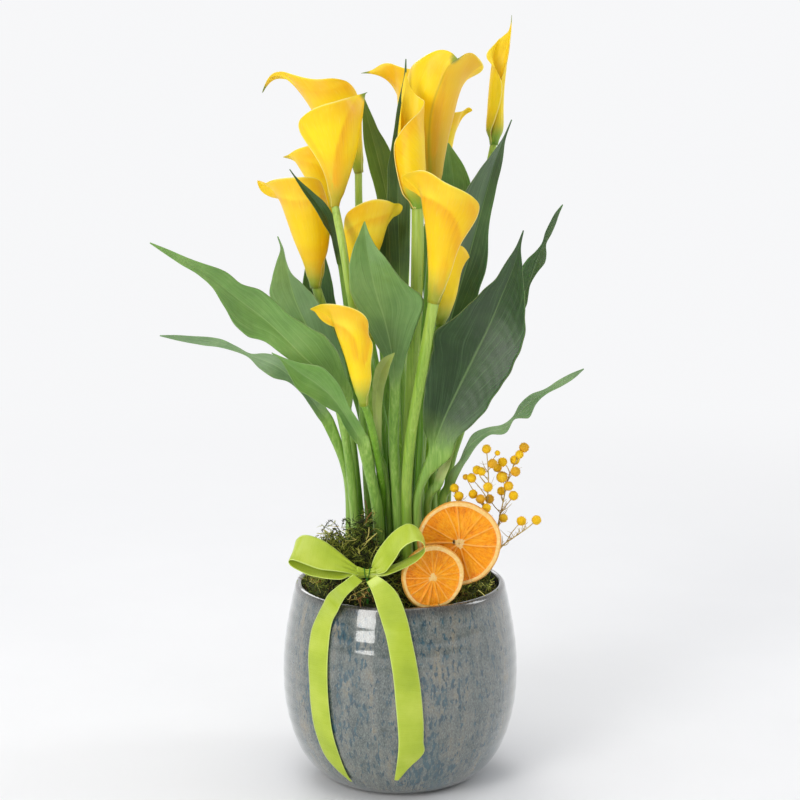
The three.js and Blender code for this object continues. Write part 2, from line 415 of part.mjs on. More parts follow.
      [-61.31, 35.59, 376.06, 13.07, 10.07, 0.0, 0.0, 14.0],
      [-62.41, 35.01, 384.28, 10.65, 9.29, 0.0, 0.0, 14.0],
      [-63.3, 34.25, 392.53, 8.23, 8.2, 0.0, 0.0, 14.0],
      [-64.02, 33.6, 400.77, 5.0, 6.27, 0.0, 0.0, 12.6],
      [-64.55, 33.5, 408.93, 2.18, 3.28, 0.0, 0.0, 12.6],
      [-64.98, 33.6, 417.06, 0.45, 0.45, 0.0, 0.0, 12.6],
    ],
  },
};
const FLOWERS = {
  flower_02: {
    r: 2.9, lip: 1.2, p: 8,
    scape: [[-16.0, -9.0, 136.0], [-16.0, -9.0, 162.0], [-14.6, -13.3, 233.5], [-22.5, -28.4, 297.6], [-30.9, -44.5, 349.0], [-36.4, -49.6, 382.8], [-41.4, -48.0, 415.2], [-47.3, -35.2, 443.3]],
    axis: [[-47.3, -35.2, 443.3], [-46.1, -35.2, 459.2], [-44.9, -35.2, 480.8], [-43.4, -35.2, 503.7]],
    tube: [4.5, 6.8, 10.8, 14.0, 14.8],
    rim: [
      [0.052, 4.95, -2.383, 0.0],
      [0.115, 5.09, -2.238, 0.0],
      [0.36, 8.43, -2.507, 0.0],
      [0.518, 12.38, -2.635, 0.21],
      [0.65, 18.35, -2.75, 1.18],
      [0.76, 24.44, -2.808, 1.2],
      [0.839, 28.42, -2.819, 1.2],
      [0.922, 30.7, -2.775, 1.2],
      [1.012, 30.64, -2.63, 1.2],
      [1.106, 29.13, -2.385, 1.2],
      [1.177, 27.89, -2.105, 1.2],
      [1.228, 25.68, -1.802, 1.2],
      [1.278, 19.23, -1.415, 1.2],
      [1.302, 12.28, -0.823, 0.2],
      [1.311, 12.15, -0.249, 0.18],
      [1.345, 18.76, 0.0, 3.0],
      [1.275, 12.18, 0.249, 0.18],
      [1.207, 14.19, 1.008, 0.51],
      [1.119, 20.01, 1.547, 1.2],
      [1.036, 22.72, 1.963, 1.2],
      [0.955, 23.12, 2.436, 1.2],
      [0.898, 23.57, 2.884, 1.2],
      [0.849, 19.5, 3.244, 1.2],
      [0.811, 13.79, 3.674, 0.44],
      [0.733, 11.27, 3.931, 0.03],
      [0.618, 9.28, 3.996, 0.0],
      [0.478, 6.81, 3.966, 0.0],
      [0.283, 4.38, 4.069, 0.0],
      [0.127, 5.67, 4.214, 0.0],
    ],
  },
  flower_01: {
    r: 2.9, lip: 1.0, p: 9,
    scape: [[-12.0, 14.0, 136.0], [-12.0, 14.0, 162.0], [-11.1, 23.8, 224.8], [-18.8, 37.0, 284.6], [-26.5, 52.5, 344.2], [-30.3, 59.2, 397.4], [-31.4, 62.4, 431.6], [-31.7, 64.0, 458.2]],
    axis: [[-31.7, 64.0, 458.2], [-34.7, 64.0, 473.5], [-40.7, 62.4, 488.8], [-47.4, 60.8, 505.5]],
    tube: [4.7, 6.5, 10.6, 15.2, 17.5],
    rim: [
      [0.159, 4.8, -0.701, 0.0],
      [0.389, 8.33, -0.675, 0.0],
      [0.634, 13.61, -0.56, 0.06],
      [0.855, 18.07, -0.54, 0.57],
      [1.025, 20.63, -0.549, 0.86],
      [1.174, 22.41, -0.625, 1.0],
      [1.314, 23.11, -0.796, 1.0],
      [1.418, 23.74, -1.01, 1.0],
      [1.511, 22.5, -1.315, 1.0],
      [1.569, 20.09, -1.793, 0.8],
      [1.664, 19.78, -2.407, 0.76],
      [1.761, 23.31, -2.887, 1.0],
      [1.851, 29.78, -3.124, 2.0],
      [1.829, 36.84, -3.177, 7.0],
      [1.737, 43.72, -3.184, 12.0],
      [1.627, 48.51, -3.189, 15.0],
      [1.7, 43.04, -3.227, 12.0],
      [1.745, 36.75, -3.305, 7.0],
      [1.669, 31.27, -3.526, 2.0],
      [1.517, 27.58, -3.86, 1.0],
      [1.375, 24.08, -4.259, 1.0],
      [1.27, 21.29, -4.737, 0.93],
      [1.16, 19.53, -5.24, 0.73],
      [1.021, 16.57, -5.761, 0.39],
      [0.918, 12.28, -6.47, 0.0],
      [0.824, 9.73, -7.098, 0.0],
      [0.667, 7.71, -7.421, 0.0],
      [0.476, 5.34, -7.54, 0.0],
      [0.204, 3.17, -7.674, 0.0],
    ],
  },
  flower_03: {
    r: 2.7, lip: 1.0, p: 8,
    scape: [[-25.0, 18.0, 136.0], [-25.0, 18.0, 162.0], [-21.1, 23.8, 224.8], [-27.9, 34.4, 285.2], [-35.6, 44.2, 337.8], [-41.5, 44.8, 376.3], [-48.9, 44.8, 415.4]],
    axis: [[-48.9, 44.8, 415.4], [-52.3, 44.8, 431.3], [-56.7, 44.8, 446.5], [-62.3, 44.8, 461.6]],
    tube: [4.5, 5.7, 7.4, 9.1, 10.6],
    rim: [
      [0.168, 4.46, -0.737, 0.0],
      [0.402, 6.76, -0.833, 0.0],
      [0.658, 9.25, -0.858, 0.25],
      [0.885, 12.49, -0.804, 0.86],
      [1.083, 16.4, -0.915, 1.0],
      [1.272, 18.78, -1.132, 1.0],
      [1.386, 17.13, -1.449, 1.0],
      [1.402, 12.73, -1.91, 0.9],
      [1.39, 13.12, -2.579, 0.98],
      [1.357, 16.89, -3.023, 1.0],
      [1.348, 21.48, -3.142, 1.0],
      [1.293, 18.25, -3.251, 1.0],
      [1.221, 14.81, -3.486, 1.0],
      [1.146, 13.94, -3.843, 1.0],
      [1.076, 13.85, -4.359, 1.0],
      [1.008, 12.19, -4.889, 0.8],
      [0.917, 7.64, -5.38, 0.0],
      [0.812, 3.17, -6.605, 0.0],
      [0.683, 5.26, -7.538, 0.0],
      [0.507, 4.53, -7.746, 0.0],
      [0.243, 3.01, -7.779, 0.0],
    ],
  },
  flower_04: {
    r: 3.5, lip: 1.2, p: 8,
    scape: [[-34.0, 12.0, 136.0], [-34.0, 12.0, 162.0], [-36.2, 15.2, 226.8], [-43.6, 19.4, 288.1], [-52.2, 13.4, 339.2], [-62.9, 3.2, 378.6]],
    axis: [[-62.9, 3.2, 378.6], [-63.1, 3.2, 394.4], [-64.8, 1.6, 411.0], [-69.0, 0.0, 433.5]],
    tube: [5.1, 7.3, 10.0, 13.0, 14.8],
    rim: [
      [0.113, 6.04, -0.74, 0.0],
      [0.25, 5.76, -0.796, 0.0],
      [0.461, 10.38, -0.618, 0.0],
      [0.662, 13.98, -0.519, 0.46],
      [0.849, 17.63, -0.464, 1.05],
      [1.027, 19.19, -0.471, 1.2],
      [1.237, 19.19, -0.542, 1.2],
      [1.415, 20.11, -0.719, 1.2],
      [1.501, 21.44, -1.087, 1.2],
      [1.54, 22.01, -1.497, 1.2],
      [1.552, 20.05, -2.024, 1.2],
      [1.537, 22.02, -2.608, 1.2],
      [1.486, 26.64, -2.973, 1.2],
      [1.511, 29.59, -3.128, 1.2],
      [1.53, 31.04, -3.195, 1.0],
      [1.48, 31.78, -3.235, 1.2],
      [1.372, 31.39, -3.336, 1.2],
      [1.277, 28.51, -3.491, 1.2],
      [1.21, 24.96, -3.717, 1.2],
      [1.149, 21.6, -4.083, 1.2],
      [1.075, 17.54, -4.546, 1.04],
      [1.003, 14.57, -5.162, 0.56],
      [0.944, 11.9, -5.761, 0.13],
      [0.872, 9.72, -6.486, 0.0],
      [0.762, 8.83, -7.015, 0.0],
      [0.613, 7.47, -7.195, 0.0],
      [0.381, 5.37, -7.281, 0.0],
      [0.172, 6.57, -7.337, 0.0],
    ],
  },
  flower_05: {
    r: 2.9, lip: 1.2, p: 8,
    scape: [[-4.0, -1.0, 136.0], [-4.0, -1.0, 162.0], [-5.7, -2.2, 230.9], [-15.4, -1.4, 292.3], [-25.7, -3.1, 330.6], [-32.3, -6.4, 356.1]],
    axis: [[-32.3, -6.4, 356.1], [-32.2, -8.0, 373.5], [-30.9, -12.8, 395.1], [-26.7, -16.0, 416.2]],
    tube: [4.6, 6.5, 8.5, 11.1, 13.3],
    rim: [
      [0.102, 5.36, -2.327, 0.0],
      [0.228, 5.44, -2.279, 0.0],
      [0.435, 7.4, -2.427, 0.0],
      [0.66, 11.53, -2.529, 0.29],
      [0.781, 15.36, -2.628, 0.98],
      [0.879, 17.69, -2.637, 1.2],
      [0.986, 17.47, -2.56, 1.2],
      [1.101, 18.84, -2.54, 1.2],
      [1.222, 21.65, -2.465, 1.2],
      [1.349, 23.52, -2.302, 1.2],
      [1.453, 23.51, -2.058, 1.2],
      [1.537, 21.76, -1.786, 1.2],
      [1.573, 17.4, -1.4, 1.2],
      [1.548, 14.85, -0.702, 0.89],
      [1.496, 17.3, -0.126, 1.2],
      [1.492, 20.28, 0.085, 1.2],
      [1.455, 23.87, 0.138, 1.0],
      [1.363, 23.93, 0.232, 1.2],
      [1.283, 21.04, 0.441, 1.2],
      [1.211, 19.18, 0.867, 1.2],
      [1.166, 18.97, 1.363, 1.2],
      [1.115, 18.95, 1.811, 1.2],
      [1.066, 15.35, 2.334, 0.98],
      [1.015, 11.68, 2.92, 0.31],
      [0.935, 9.38, 3.675, 0.0],
      [0.821, 7.94, 4.03, 0.0],
      [0.665, 6.93, 4.104, 0.0],
      [0.458, 4.93, 4.222, 0.0],
      [0.206, 6.15, 4.27, 0.0],
    ],
  },
  flower_06: {
    r: 3.1, lip: 1.2, p: 8,
    scape: [[8.0, 12.0, 136.0], [8.0, 12.0, 162.0], [8.8, 13.1, 227.3], [13.3, 16.6, 288.7], [19.2, 17.5, 349.9], [23.5, 16.0, 403.1], [25.6, 16.0, 450.3]],
    axis: [[25.6, 16.0, 450.3], [26.0, 16.0, 471.8], [26.6, 16.0, 496.9], [27.7, 16.0, 521.9]],
    tube: [5.0, 6.7, 9.3, 12.6, 14.8],
    rim: [
      [0.14, 8.55, 1.93, 0.0],
      [0.317, 12.61, 2.081, 0.24],
      [0.514, 16.1, 2.201, 0.81],
      [0.723, 20.34, 2.312, 1.2],
      [0.898, 23.43, 2.501, 1.2],
      [1.041, 23.65, 2.751, 1.2],
      [1.17, 21.27, 3.047, 1.2],
      [1.27, 18.13, 3.479, 1.14],
      [1.338, 16.62, 3.948, 0.89],
      [1.401, 17.58, 4.455, 1.05],
      [1.426, 20.18, 4.846, 1.2],
      [1.403, 22.67, 5.099, 1.2],
      [1.363, 24.86, 5.196, 1.2],
      [1.346, 27.48, 5.221, 1.0],
      [1.37, 26.36, 5.361, 1.2],
      [1.4, 25.93, 5.568, 1.2],
      [1.394, 27.21, 5.867, 1.2],
      [1.327, 30.74, 6.153, 1.2],
      [1.252, 33.69, 6.372, 1.2],
      [1.194, 32.97, 6.591, 1.2],
      [1.134, 30.37, 6.877, 1.2],
      [1.054, 25.97, 7.162, 1.2],
      [0.967, 21.0, 7.544, 1.2],
      [0.886, 16.29, 8.044, 0.84],
      [0.791, 11.6, 8.536, 0.08],
      [0.679, 8.08, 8.907, 0.0],
      [0.546, 6.01, 8.902, 0.0],
      [0.371, 3.93, 8.89, 0.0],
      [0.174, 1.92, 8.878, 0.0],
    ],
  },
  flower_07: {
    r: 4.6, lip: 1.2, p: 4,
    scape: [[4.0, -9.0, 136.0], [4.0, -9.0, 162.0], [4.9, -11.1, 233.0], [7.8, -14.1, 294.8], [11.4, -16.0, 355.4], [12.8, -16.0, 400.0], [12.8, -16.0, 440.5]],
    axis: [[12.8, -16.0, 440.5], [10.2, -16.0, 458.7], [7.6, -16.0, 480.6], [7.6, -16.0, 503.7]],
    tube: [6.2, 7.9, 9.5, 10.2, 10.2],
    rim: [
      [0.02, 6.04, -2.189, 0.0],
      [0.02, 10.38, -1.765, 0.64],
      [0.005, 9.94, -2.206, 0.54],
      [0.216, 11.71, -2.501, 0.96],
      [0.459, 12.57, -2.644, 1.16],
      [0.662, 12.69, -2.737, 1.19],
      [0.761, 12.79, -2.562, 1.2],
      [0.856, 13.11, -2.146, 1.2],
      [0.952, 13.18, -1.738, 1.2],
      [1.036, 11.56, -1.259, 0.92],
      [1.108, 9.36, -0.563, 0.4],
      [1.181, 10.13, 0.0, 0.58],
      [1.232, 8.36, 0.801, 0.17],
      [1.334, 6.0, 1.571, 0.0],
      [1.517, 4.45, 2.402, 0.0],
      [1.289, 8.23, 2.489, 0.14],
      [1.152, 8.87, 2.398, 0.29],
      [1.013, 9.1, 2.068, 0.34],
      [0.89, 7.06, 2.354, 0.0],
      [0.755, 6.67, 3.446, 0.0],
      [0.577, 8.41, 3.854, 0.18],
      [0.33, 7.82, 3.922, 0.04],
      [0.113, 5.36, 3.984, 0.0],
      [0.051, 6.36, 4.408, 0.0],
    ],
  },
  flower_08: {
    r: 4.0, lip: 1.2, p: 8,
    scape: [[7.0, -31.0, 136.0], [7.0, -31.0, 162.0], [4.8, -34.3, 223.2], [7.7, -43.5, 270.7], [14.1, -53.4, 313.7], [20.2, -58.9, 351.4], [24.4, -60.8, 377.2]],
    axis: [[24.4, -60.8, 377.2], [28.3, -60.8, 394.6], [30.7, -60.8, 416.9], [32.4, -60.8, 440.5]],
    tube: [5.6, 7.0, 9.3, 11.8, 15.0],
    rim: [
      [0.061, 5.9, -0.745, 0.0],
      [0.252, 7.91, -0.861, 0.0],
      [0.432, 10.34, -0.743, 0.0],
      [0.57, 12.08, -0.724, 0.13],
      [0.711, 14.46, -0.586, 0.51],
      [0.835, 18.83, -0.439, 1.2],
      [0.954, 23.18, -0.352, 1.2],
      [1.065, 24.97, -0.369, 1.2],
      [1.157, 24.77, -0.506, 1.2],
      [1.225, 23.32, -0.756, 1.2],
      [1.287, 23.33, -1.12, 1.2],
      [1.334, 25.16, -1.459, 1.2],
      [1.384, 27.37, -1.735, 1.2],
      [1.451, 28.54, -1.996, 1.2],
      [1.475, 27.75, -2.283, 1.2],
      [1.444, 28.15, -2.661, 1.2],
      [1.4, 30.28, -2.942, 1.2],
      [1.36, 32.68, -3.142, 1.0],
      [1.285, 31.69, -3.205, 1.2],
      [1.211, 28.0, -3.358, 1.2],
      [1.176, 23.46, -3.63, 1.2],
      [1.17, 20.81, -4.097, 1.2],
      [1.132, 20.02, -4.664, 1.2],
      [1.085, 17.62, -5.264, 1.02],
      [1.016, 14.91, -5.869, 0.58],
      [0.915, 12.68, -6.442, 0.23],
      [0.821, 11.65, -6.927, 0.06],
      [0.709, 9.79, -7.239, 0.0],
      [0.572, 8.28, -7.291, 0.0],
      [0.422, 6.48, -7.297, 0.0],
      [0.234, 4.37, -7.44, 0.0],
    ],
  },
  flower_09: {
    r: 2.7, lip: 1.0, p: 6,
    scape: [[14.0, -12.0, 136.0], [14.0, -12.0, 162.0], [13.9, -13.1, 228.1], [15.3, -13.8, 264.3], [16.7, -13.0, 302.2], [22.6, -10.9, 330.5], [29.7, -5.6, 350.7]],
    axis: [[29.7, -5.6, 350.7], [32.2, -6.4, 364.3], [34.7, -8.0, 379.5], [36.2, -8.0, 395.9]],
    tube: [4.4, 6.3, 8.0, 8.5, 8.5],
    rim: [
      [0.188, 5.65, 2.599, 0.0],
      [0.418, 8.39, 2.665, 0.47],
      [0.694, 9.57, 2.699, 0.75],
      [0.952, 8.52, 2.898, 0.5],
      [1.161, 8.08, 3.656, 0.4],
      [1.297, 9.36, 4.436, 0.7],
      [1.348, 9.56, 5.045, 0.75],
      [1.314, 9.92, 5.749, 0.83],
      [1.24, 12.44, 6.116, 1.0],
      [1.141, 14.6, 6.278, 0.5],
      [1.144, 12.8, 6.514, 1.0],
      [1.185, 10.77, 7.115, 1.0],
      [1.167, 10.01, 7.785, 0.85],
      [1.069, 8.17, 8.393, 0.42],
      [0.894, 6.56, 8.935, 0.04],
      [0.678, 5.29, 9.026, 0.0],
      [0.452, 3.38, 9.131, 0.0],
      [0.219, 1.36, 9.462, 0.0],
    ],
  },
  flower_10: {
    r: 2.7, lip: 1.2, p: 8,
    scape: [[-19.0, -20.0, 136.0], [-19.0, -20.0, 162.0], [-13.1, -22.4, 214.2], [-15.1, -36.1, 246.5], [-20.0, -55.8, 280.8], [-26.2, -71.9, 304.8]],
    axis: [[-26.2, -71.9, 304.8], [-27.5, -75.9, 320.2], [-29.2, -78.7, 336.7], [-33.0, -80.6, 355.8]],
    tube: [4.3, 5.7, 7.6, 9.1, 10.4],
    rim: [
      [0.124, 4.09, -0.72, 0.0],
      [0.276, 6.6, -0.576, 0.0],
      [0.437, 8.66, -0.557, 0.19],
      [0.587, 9.29, -0.642, 0.34],
      [0.715, 11.44, -0.618, 0.83],
      [0.83, 14.38, -0.553, 1.2],
      [0.91, 14.64, -0.626, 1.2],
      [0.997, 14.44, -0.728, 1.2],
      [1.098, 16.82, -0.722, 1.2],
      [1.208, 18.89, -0.801, 1.2],
      [1.33, 21.32, -1.008, 1.2],
      [1.436, 22.76, -1.262, 1.2],
      [1.518, 22.53, -1.572, 1.2],
      [1.545, 18.73, -2.045, 1.2],
      [1.53, 18.15, -2.687, 1.2],
      [1.487, 22.24, -3.035, 1.2],
      [1.445, 26.43, -3.19, 1.0],
      [1.386, 23.72, -3.273, 1.2],
      [1.274, 22.68, -3.392, 1.2],
      [1.163, 20.46, -3.608, 1.2],
      [1.082, 18.73, -3.908, 1.2],
      [1.024, 17.14, -4.343, 1.2],
      [0.99, 15.07, -4.765, 1.2],
      [0.973, 11.29, -5.34, 0.8],
      [0.914, 7.86, -6.011, 0.01],
      [0.836, 6.5, -6.899, 0.0],
      [0.728, 6.63, -7.331, 0.0],
      [0.55, 4.96, -7.478, 0.0],
      [0.312, 3.35, -7.541, 0.0],
    ],
  },
  flower_11: {
    r: 2.5, lip: 0.5, p: 4,
    scape: [[28.0, 16.0, 136.0], [28.0, 16.0, 162.0], [29.5, 22.7, 225.1], [39.4, 35.7, 284.9], [49.5, 52.5, 344.2], [58.0, 64.0, 396.8], [64.9, 73.6, 441.9], [72.3, 81.6, 478.0]],
    axis: [[72.3, 81.6, 478.0], [73.4, 84.8, 493.1], [74.2, 88.0, 512.8], [75.6, 89.6, 535.5]],
    tube: [4.5, 6.6, 6.1, 6.0, 6.5],
    rim: [
      [0.023, 4.65, -2.148, 0.0],
      [0.05, 5.26, -2.279, 0.05],
      [0.22, 6.42, -1.919, 0.23],
      [0.403, 7.09, -1.527, 0.33],
      [0.562, 7.65, -1.212, 0.42],
      [0.714, 8.03, -1.08, 0.48],
      [0.828, 7.68, -1.184, 0.43],
      [0.922, 7.08, -1.661, 0.33],
      [0.989, 8.1, -2.202, 0.49],
      [1.067, 10.39, -2.597, 0.5],
      [1.131, 10.87, -2.799, 0.5],
      [1.192, 9.08, -2.934, 0.5],
      [1.255, 5.62, -3.126, 0.11],
      [1.331, 2.61, -3.827, 0.0],
      [1.401, 3.02, -5.594, 0.0],
      [1.463, 5.86, -6.248, 0.15],
      [1.554, 7.07, -6.447, 0.33],
      [1.67, 7.68, -6.631, 0.5],
      [1.476, 8.11, -6.64, 0.49],
      [1.28, 7.92, -6.821, 0.46],
      [1.084, 7.71, -6.871, 0.43],
      [0.905, 6.51, -7.168, 0.25],
      [0.759, 5.03, -7.655, 0.02],
      [0.614, 4.72, -7.858, 0.0],
      [0.461, 4.83, -8.196, 0.0],
      [0.291, 4.86, -8.449, 0.0],
      [0.123, 4.18, -8.615, 0.0],
      [0.055, 4.94, -8.746, 0.0],
    ],
  },
  flower_12: {
    r: 2.6, lip: 1.0, p: 8,
    scape: [[21.0, 24.0, 136.0], [21.0, 24.0, 162.0], [20.4, 36.4, 221.8], [24.5, 59.6, 280.1], [28.6, 85.6, 338.8], [30.9, 96.0, 392.6], [31.6, 99.2, 434.5]],
    axis: [[31.6, 99.2, 434.5], [31.6, 100.8, 453.1], [32.7, 100.8, 471.8], [33.4, 100.8, 488.8]],
    tube: [4.4, 5.8, 7.2, 8.4, 10.1],
    rim: [
      [0.139, 5.41, 1.99, 0.0],
      [0.377, 7.55, 2.242, 0.0],
      [0.617, 10.0, 2.37, 0.48],
      [0.862, 10.6, 2.653, 0.6],
      [1.049, 9.83, 3.144, 0.44],
      [1.146, 9.94, 3.925, 0.47],
      [1.192, 11.05, 4.619, 0.68],
      [1.211, 12.45, 5.203, 0.96],
      [1.218, 13.84, 5.669, 1.0],
      [1.231, 16.0, 5.968, 1.0],
      [1.265, 17.68, 6.144, 1.0],
      [1.284, 19.85, 6.235, 1.0],
      [1.244, 22.29, 6.286, 1.0],
      [1.214, 20.87, 6.334, 1.0],
      [1.2, 17.54, 6.516, 1.0],
      [1.14, 15.56, 6.902, 1.0],
      [1.073, 13.37, 7.399, 1.0],
      [1.026, 11.05, 7.95, 0.68],
      [0.924, 8.47, 8.455, 0.17],
      [0.702, 5.7, 8.973, 0.0],
      [0.52, 3.84, 9.187, 0.0],
      [0.291, 1.51, 9.476, 0.0],
    ],
  },
  flower_13: {
    r: 2.0, lip: 0.3, p: 2.0,
    scape: [[-11.0, -4.0, 136.0], [-11.0, -4.0, 162.0], [-10.9, -4.4, 231.4], [-13.0, -13.3, 279.4], [-16.6, -24.2, 319.4], [-20.9, -30.1, 345.8]],
    axis: [[-20.9, -30.1, 345.8], [-23.8, -31.1, 354.1], [-28.8, -32.0, 364.6], [-33.9, -32.0, 372.8]],
    tube: [3.9, 4.7, 4.8, 4.2, 3.5],
    rim: [
      [0.1, 4.24, -3.285, 0.0],
      [0.223, 6.02, -1.499, 0.3],
      [0.457, 5.37, -1.639, 0.3],
      [0.714, 5.02, -1.677, 0.3],
      [0.97, 3.52, -1.643, 0.15],
      [1.229, 0.07, -0.059, 0.0],
      [0.943, 4.26, 1.279, 0.28],
      [0.67, 5.09, 1.446, 0.3],
      [0.411, 4.96, 1.525, 0.3],
      [0.185, 4.49, 3.312, 0.0],
    ],
  },
  flower_14: {
    r: 2.7, lip: 1.0, p: 10,
    scape: [[0.0, 27.0, 136.0], [0.0, 27.0, 162.0], [0.4, 36.4, 221.8], [1.9, 57.0, 280.7], [3.5, 77.8, 340.1], [5.1, 84.8, 394.0], [5.8, 86.4, 449.9]],
    axis: [[5.8, 86.4, 449.9], [6.9, 86.4, 467.6], [8.1, 86.4, 488.4], [8.8, 86.4, 507.5]],
    tube: [4.5, 5.7, 7.1, 8.5, 9.6],
    rim: [
      [0.158, 4.46, -0.737, 0.0],
      [0.41, 7.42, -0.739, 0.04],
      [0.655, 9.76, -0.662, 0.52],
      [0.895, 12.33, -0.706, 1.0],
      [1.123, 13.35, -0.847, 1.0],
      [1.321, 14.04, -1.184, 1.0],
      [1.45, 15.0, -1.594, 1.0],
      [1.47, 14.52, -2.033, 1.0],
      [1.501, 16.15, -2.55, 1.0],
      [1.52, 18.72, -2.871, 1.0],
      [1.508, 23.52, -3.035, 1.0],
      [1.457, 27.91, -3.099, 1.0],
      [1.411, 31.63, -3.123, 3.0],
      [1.369, 39.6, -3.142, 4.0],
      [1.39, 31.6, -3.161, 3.0],
      [1.429, 26.44, -3.236, 1.0],
      [1.442, 20.69, -3.487, 1.0],
      [1.403, 16.75, -3.94, 1.0],
      [1.339, 15.48, -4.464, 1.0],
      [1.24, 13.43, -4.967, 1.0],
      [1.104, 9.02, -5.555, 0.37],
      [0.965, 5.09, -6.687, 0.0],
      [0.849, 7.32, -7.376, 0.02],
      [0.652, 6.75, -7.378, 0.0],
      [0.431, 5.07, -7.376, 0.0],
      [0.2, 3.41, -7.361, 0.0],
    ],
  },
};
const MOSS_INNER = [34.0, 41.8, 41.8, 41.8, 37.6, 37.6, 39.4, 39.4, 39.4, 39.4, 34.0, 34.7, 34.7, 34.7, 34.0, 34.0, 34.0, 34.7, 35.0, 35.0, 42.1, 42.1, 42.1, 41.7, 44.4, 44.4, 44.4, 44.4, 41.8, 41.8, 34.0, 39.1, 39.1, 39.1, 39.1, 34.0, 38.1, 38.1, 38.1, 38.1, 36.3, 36.3, 34.0, 34.0, 37.0, 37.0, 37.0, 37.0];

// ribbon strips: left edge xyz, right edge xyz, from the knot outwards
const TAIL_LEFT = [
  [-33.8, -79.0, 178.9, -27.2, -79.0, 173.6],
  [-40.3, -79.0, 173.6, -34.5, -81.0, 167.4],
  [-46.3, -75.0, 168.0, -39.6, -79.0, 161.6],
  [-52.4, -66.0, 160.1, -43.4, -74.0, 154.1],
  [-55.5, -63.5, 154.1, -45.3, -74.0, 149.5],
  [-60.9, -57.7, 141.7, -49.5, -68.3, 139.5],
  [-65.5, -56.4, 129.0, -51.8, -69.3, 128.3],
  [-67.8, -58.3, 110.7, -53.3, -71.6, 111.4],
  [-67.4, -61.3, 92.7, -53.3, -73.9, 93.7],
  [-66.4, -62.5, 74.1, -51.9, -74.9, 73.3],
  [-63.2, -62.9, 55.2, -49.1, -73.8, 52.8],
  [-56.3, -62.5, 35.5, -43.4, -70.5, 32.2],
  [-47.3, -63.8, 23.8, -39.1, -67.2, 20.8],
  [-38.5, -62.5, 15.1, -35.5, -63.6, 14.3],
];
const TAIL_RIGHT = [
  [-24.3, -79.0, 172.9, -17.1, -80.0, 178.4],
  [-21.4, -81.0, 168.2, -9.8, -83.0, 174.0],
  [-19.2, -82.0, 162.5, -3.3, -83.0, 167.3],
  [-16.7, -83.0, 154.5, 1.1, -83.0, 159.0],
  [-13.5, -82.3, 143.7, 5.5, -82.7, 145.3],
  [-9.8, -85.2, 131.7, 8.7, -85.6, 131.0],
  [-6.9, -88.2, 116.7, 12.0, -88.0, 115.1],
  [-4.7, -90.3, 102.2, 14.6, -89.6, 98.9],
  [-3.3, -91.2, 85.8, 16.2, -89.9, 83.4],
  [-1.8, -90.7, 68.0, 17.2, -89.0, 67.4],
  [-1.1, -88.7, 53.5, 17.2, -87.3, 54.5],
  [-1.8, -86.1, 41.0, 17.3, -85.0, 44.0],
  [-3.1, -81.6, 29.2, 6.3, -82.2, 31.4],
  [-4.1, -77.7, 20.8, -1.1, -77.9, 20.8],
];
const LOOP_LEFT = [
  [-31.1, -66.0, 180.6, -30.2, -73.0, 176.5],
  [-38.4, -64.0, 186.8, -37.5, -74.0, 178.3],
  [-47.2, -62.0, 193.1, -47.7, -75.0, 180.1],
  [-55.3, -60.0, 198.3, -58.5, -76.0, 181.8],
  [-64.1, -58.0, 201.5, -68.7, -76.0, 185.6],
  [-71.5, -57.0, 202.0, -77.4, -75.0, 188.3],
  [-76.7, -56.0, 197.6, -80.8, -73.0, 187.0],
  [-76.7, -58.0, 192.1, -79.7, -74.0, 184.3],
  [-71.5, -60.0, 187.3, -74.6, -75.0, 181.2],
  [-61.9, -62.0, 183.3, -65.1, -76.0, 176.9],
  [-51.6, -64.0, 180.8, -53.5, -76.0, 174.3],
  [-42.1, -66.0, 179.8, -43.3, -76.0, 173.6],
  [-35.5, -67.0, 179.4, -37.5, -75.0, 175.2],
  [-30.3, -68.0, 178.9, -30.2, -73.0, 176.1],
];
const LOOP_RIGHT = [
  [-20.1, -66.0, 180.6, -20.8, -73.0, 176.5],
  [-17.9, -67.0, 189.2, -11.6, -76.0, 178.8],
  [-12.8, -69.0, 198.7, -6.9, -79.0, 184.9],
  [-6.2, -71.0, 207.5, -2.5, -83.0, 192.0],
  [0.4, -72.0, 213.0, 1.1, -85.0, 198.5],
  [6.9, -73.0, 215.2, 6.1, -86.0, 203.2],
  [12.7, -73.0, 211.8, 12.6, -86.0, 205.8],
  [16.3, -73.0, 205.8, 16.9, -86.0, 204.0],
  [17.8, -73.0, 199.1, 18.4, -86.0, 199.5],
  [15.6, -73.0, 195.3, 17.3, -86.0, 195.8],
  [9.1, -72.0, 190.5, 10.8, -84.0, 189.3],
  [-1.1, -70.0, 184.7, -1.1, -80.0, 182.2],
  [-11.3, -68.0, 181.1, -12.0, -76.0, 176.9],
  [-20.1, -68.0, 178.9, -20.4, -73.0, 176.1],
];
const KNOT = [-25.3, -70.0, 177.2];
// dried slices: centre, radius, facing direction, thickness
const SLICES = {
  orange_slice_large: { c: [43.6, -44.0, 192.9], r: 31.2, n: [0.05, -0.98, 0.18], t: 5.0 },
  orange_slice_small: { c: [23.7, -64.0, 172.5], r: 24.0, n: [0.3, -0.95, 0.06], t: 5.0 },
};
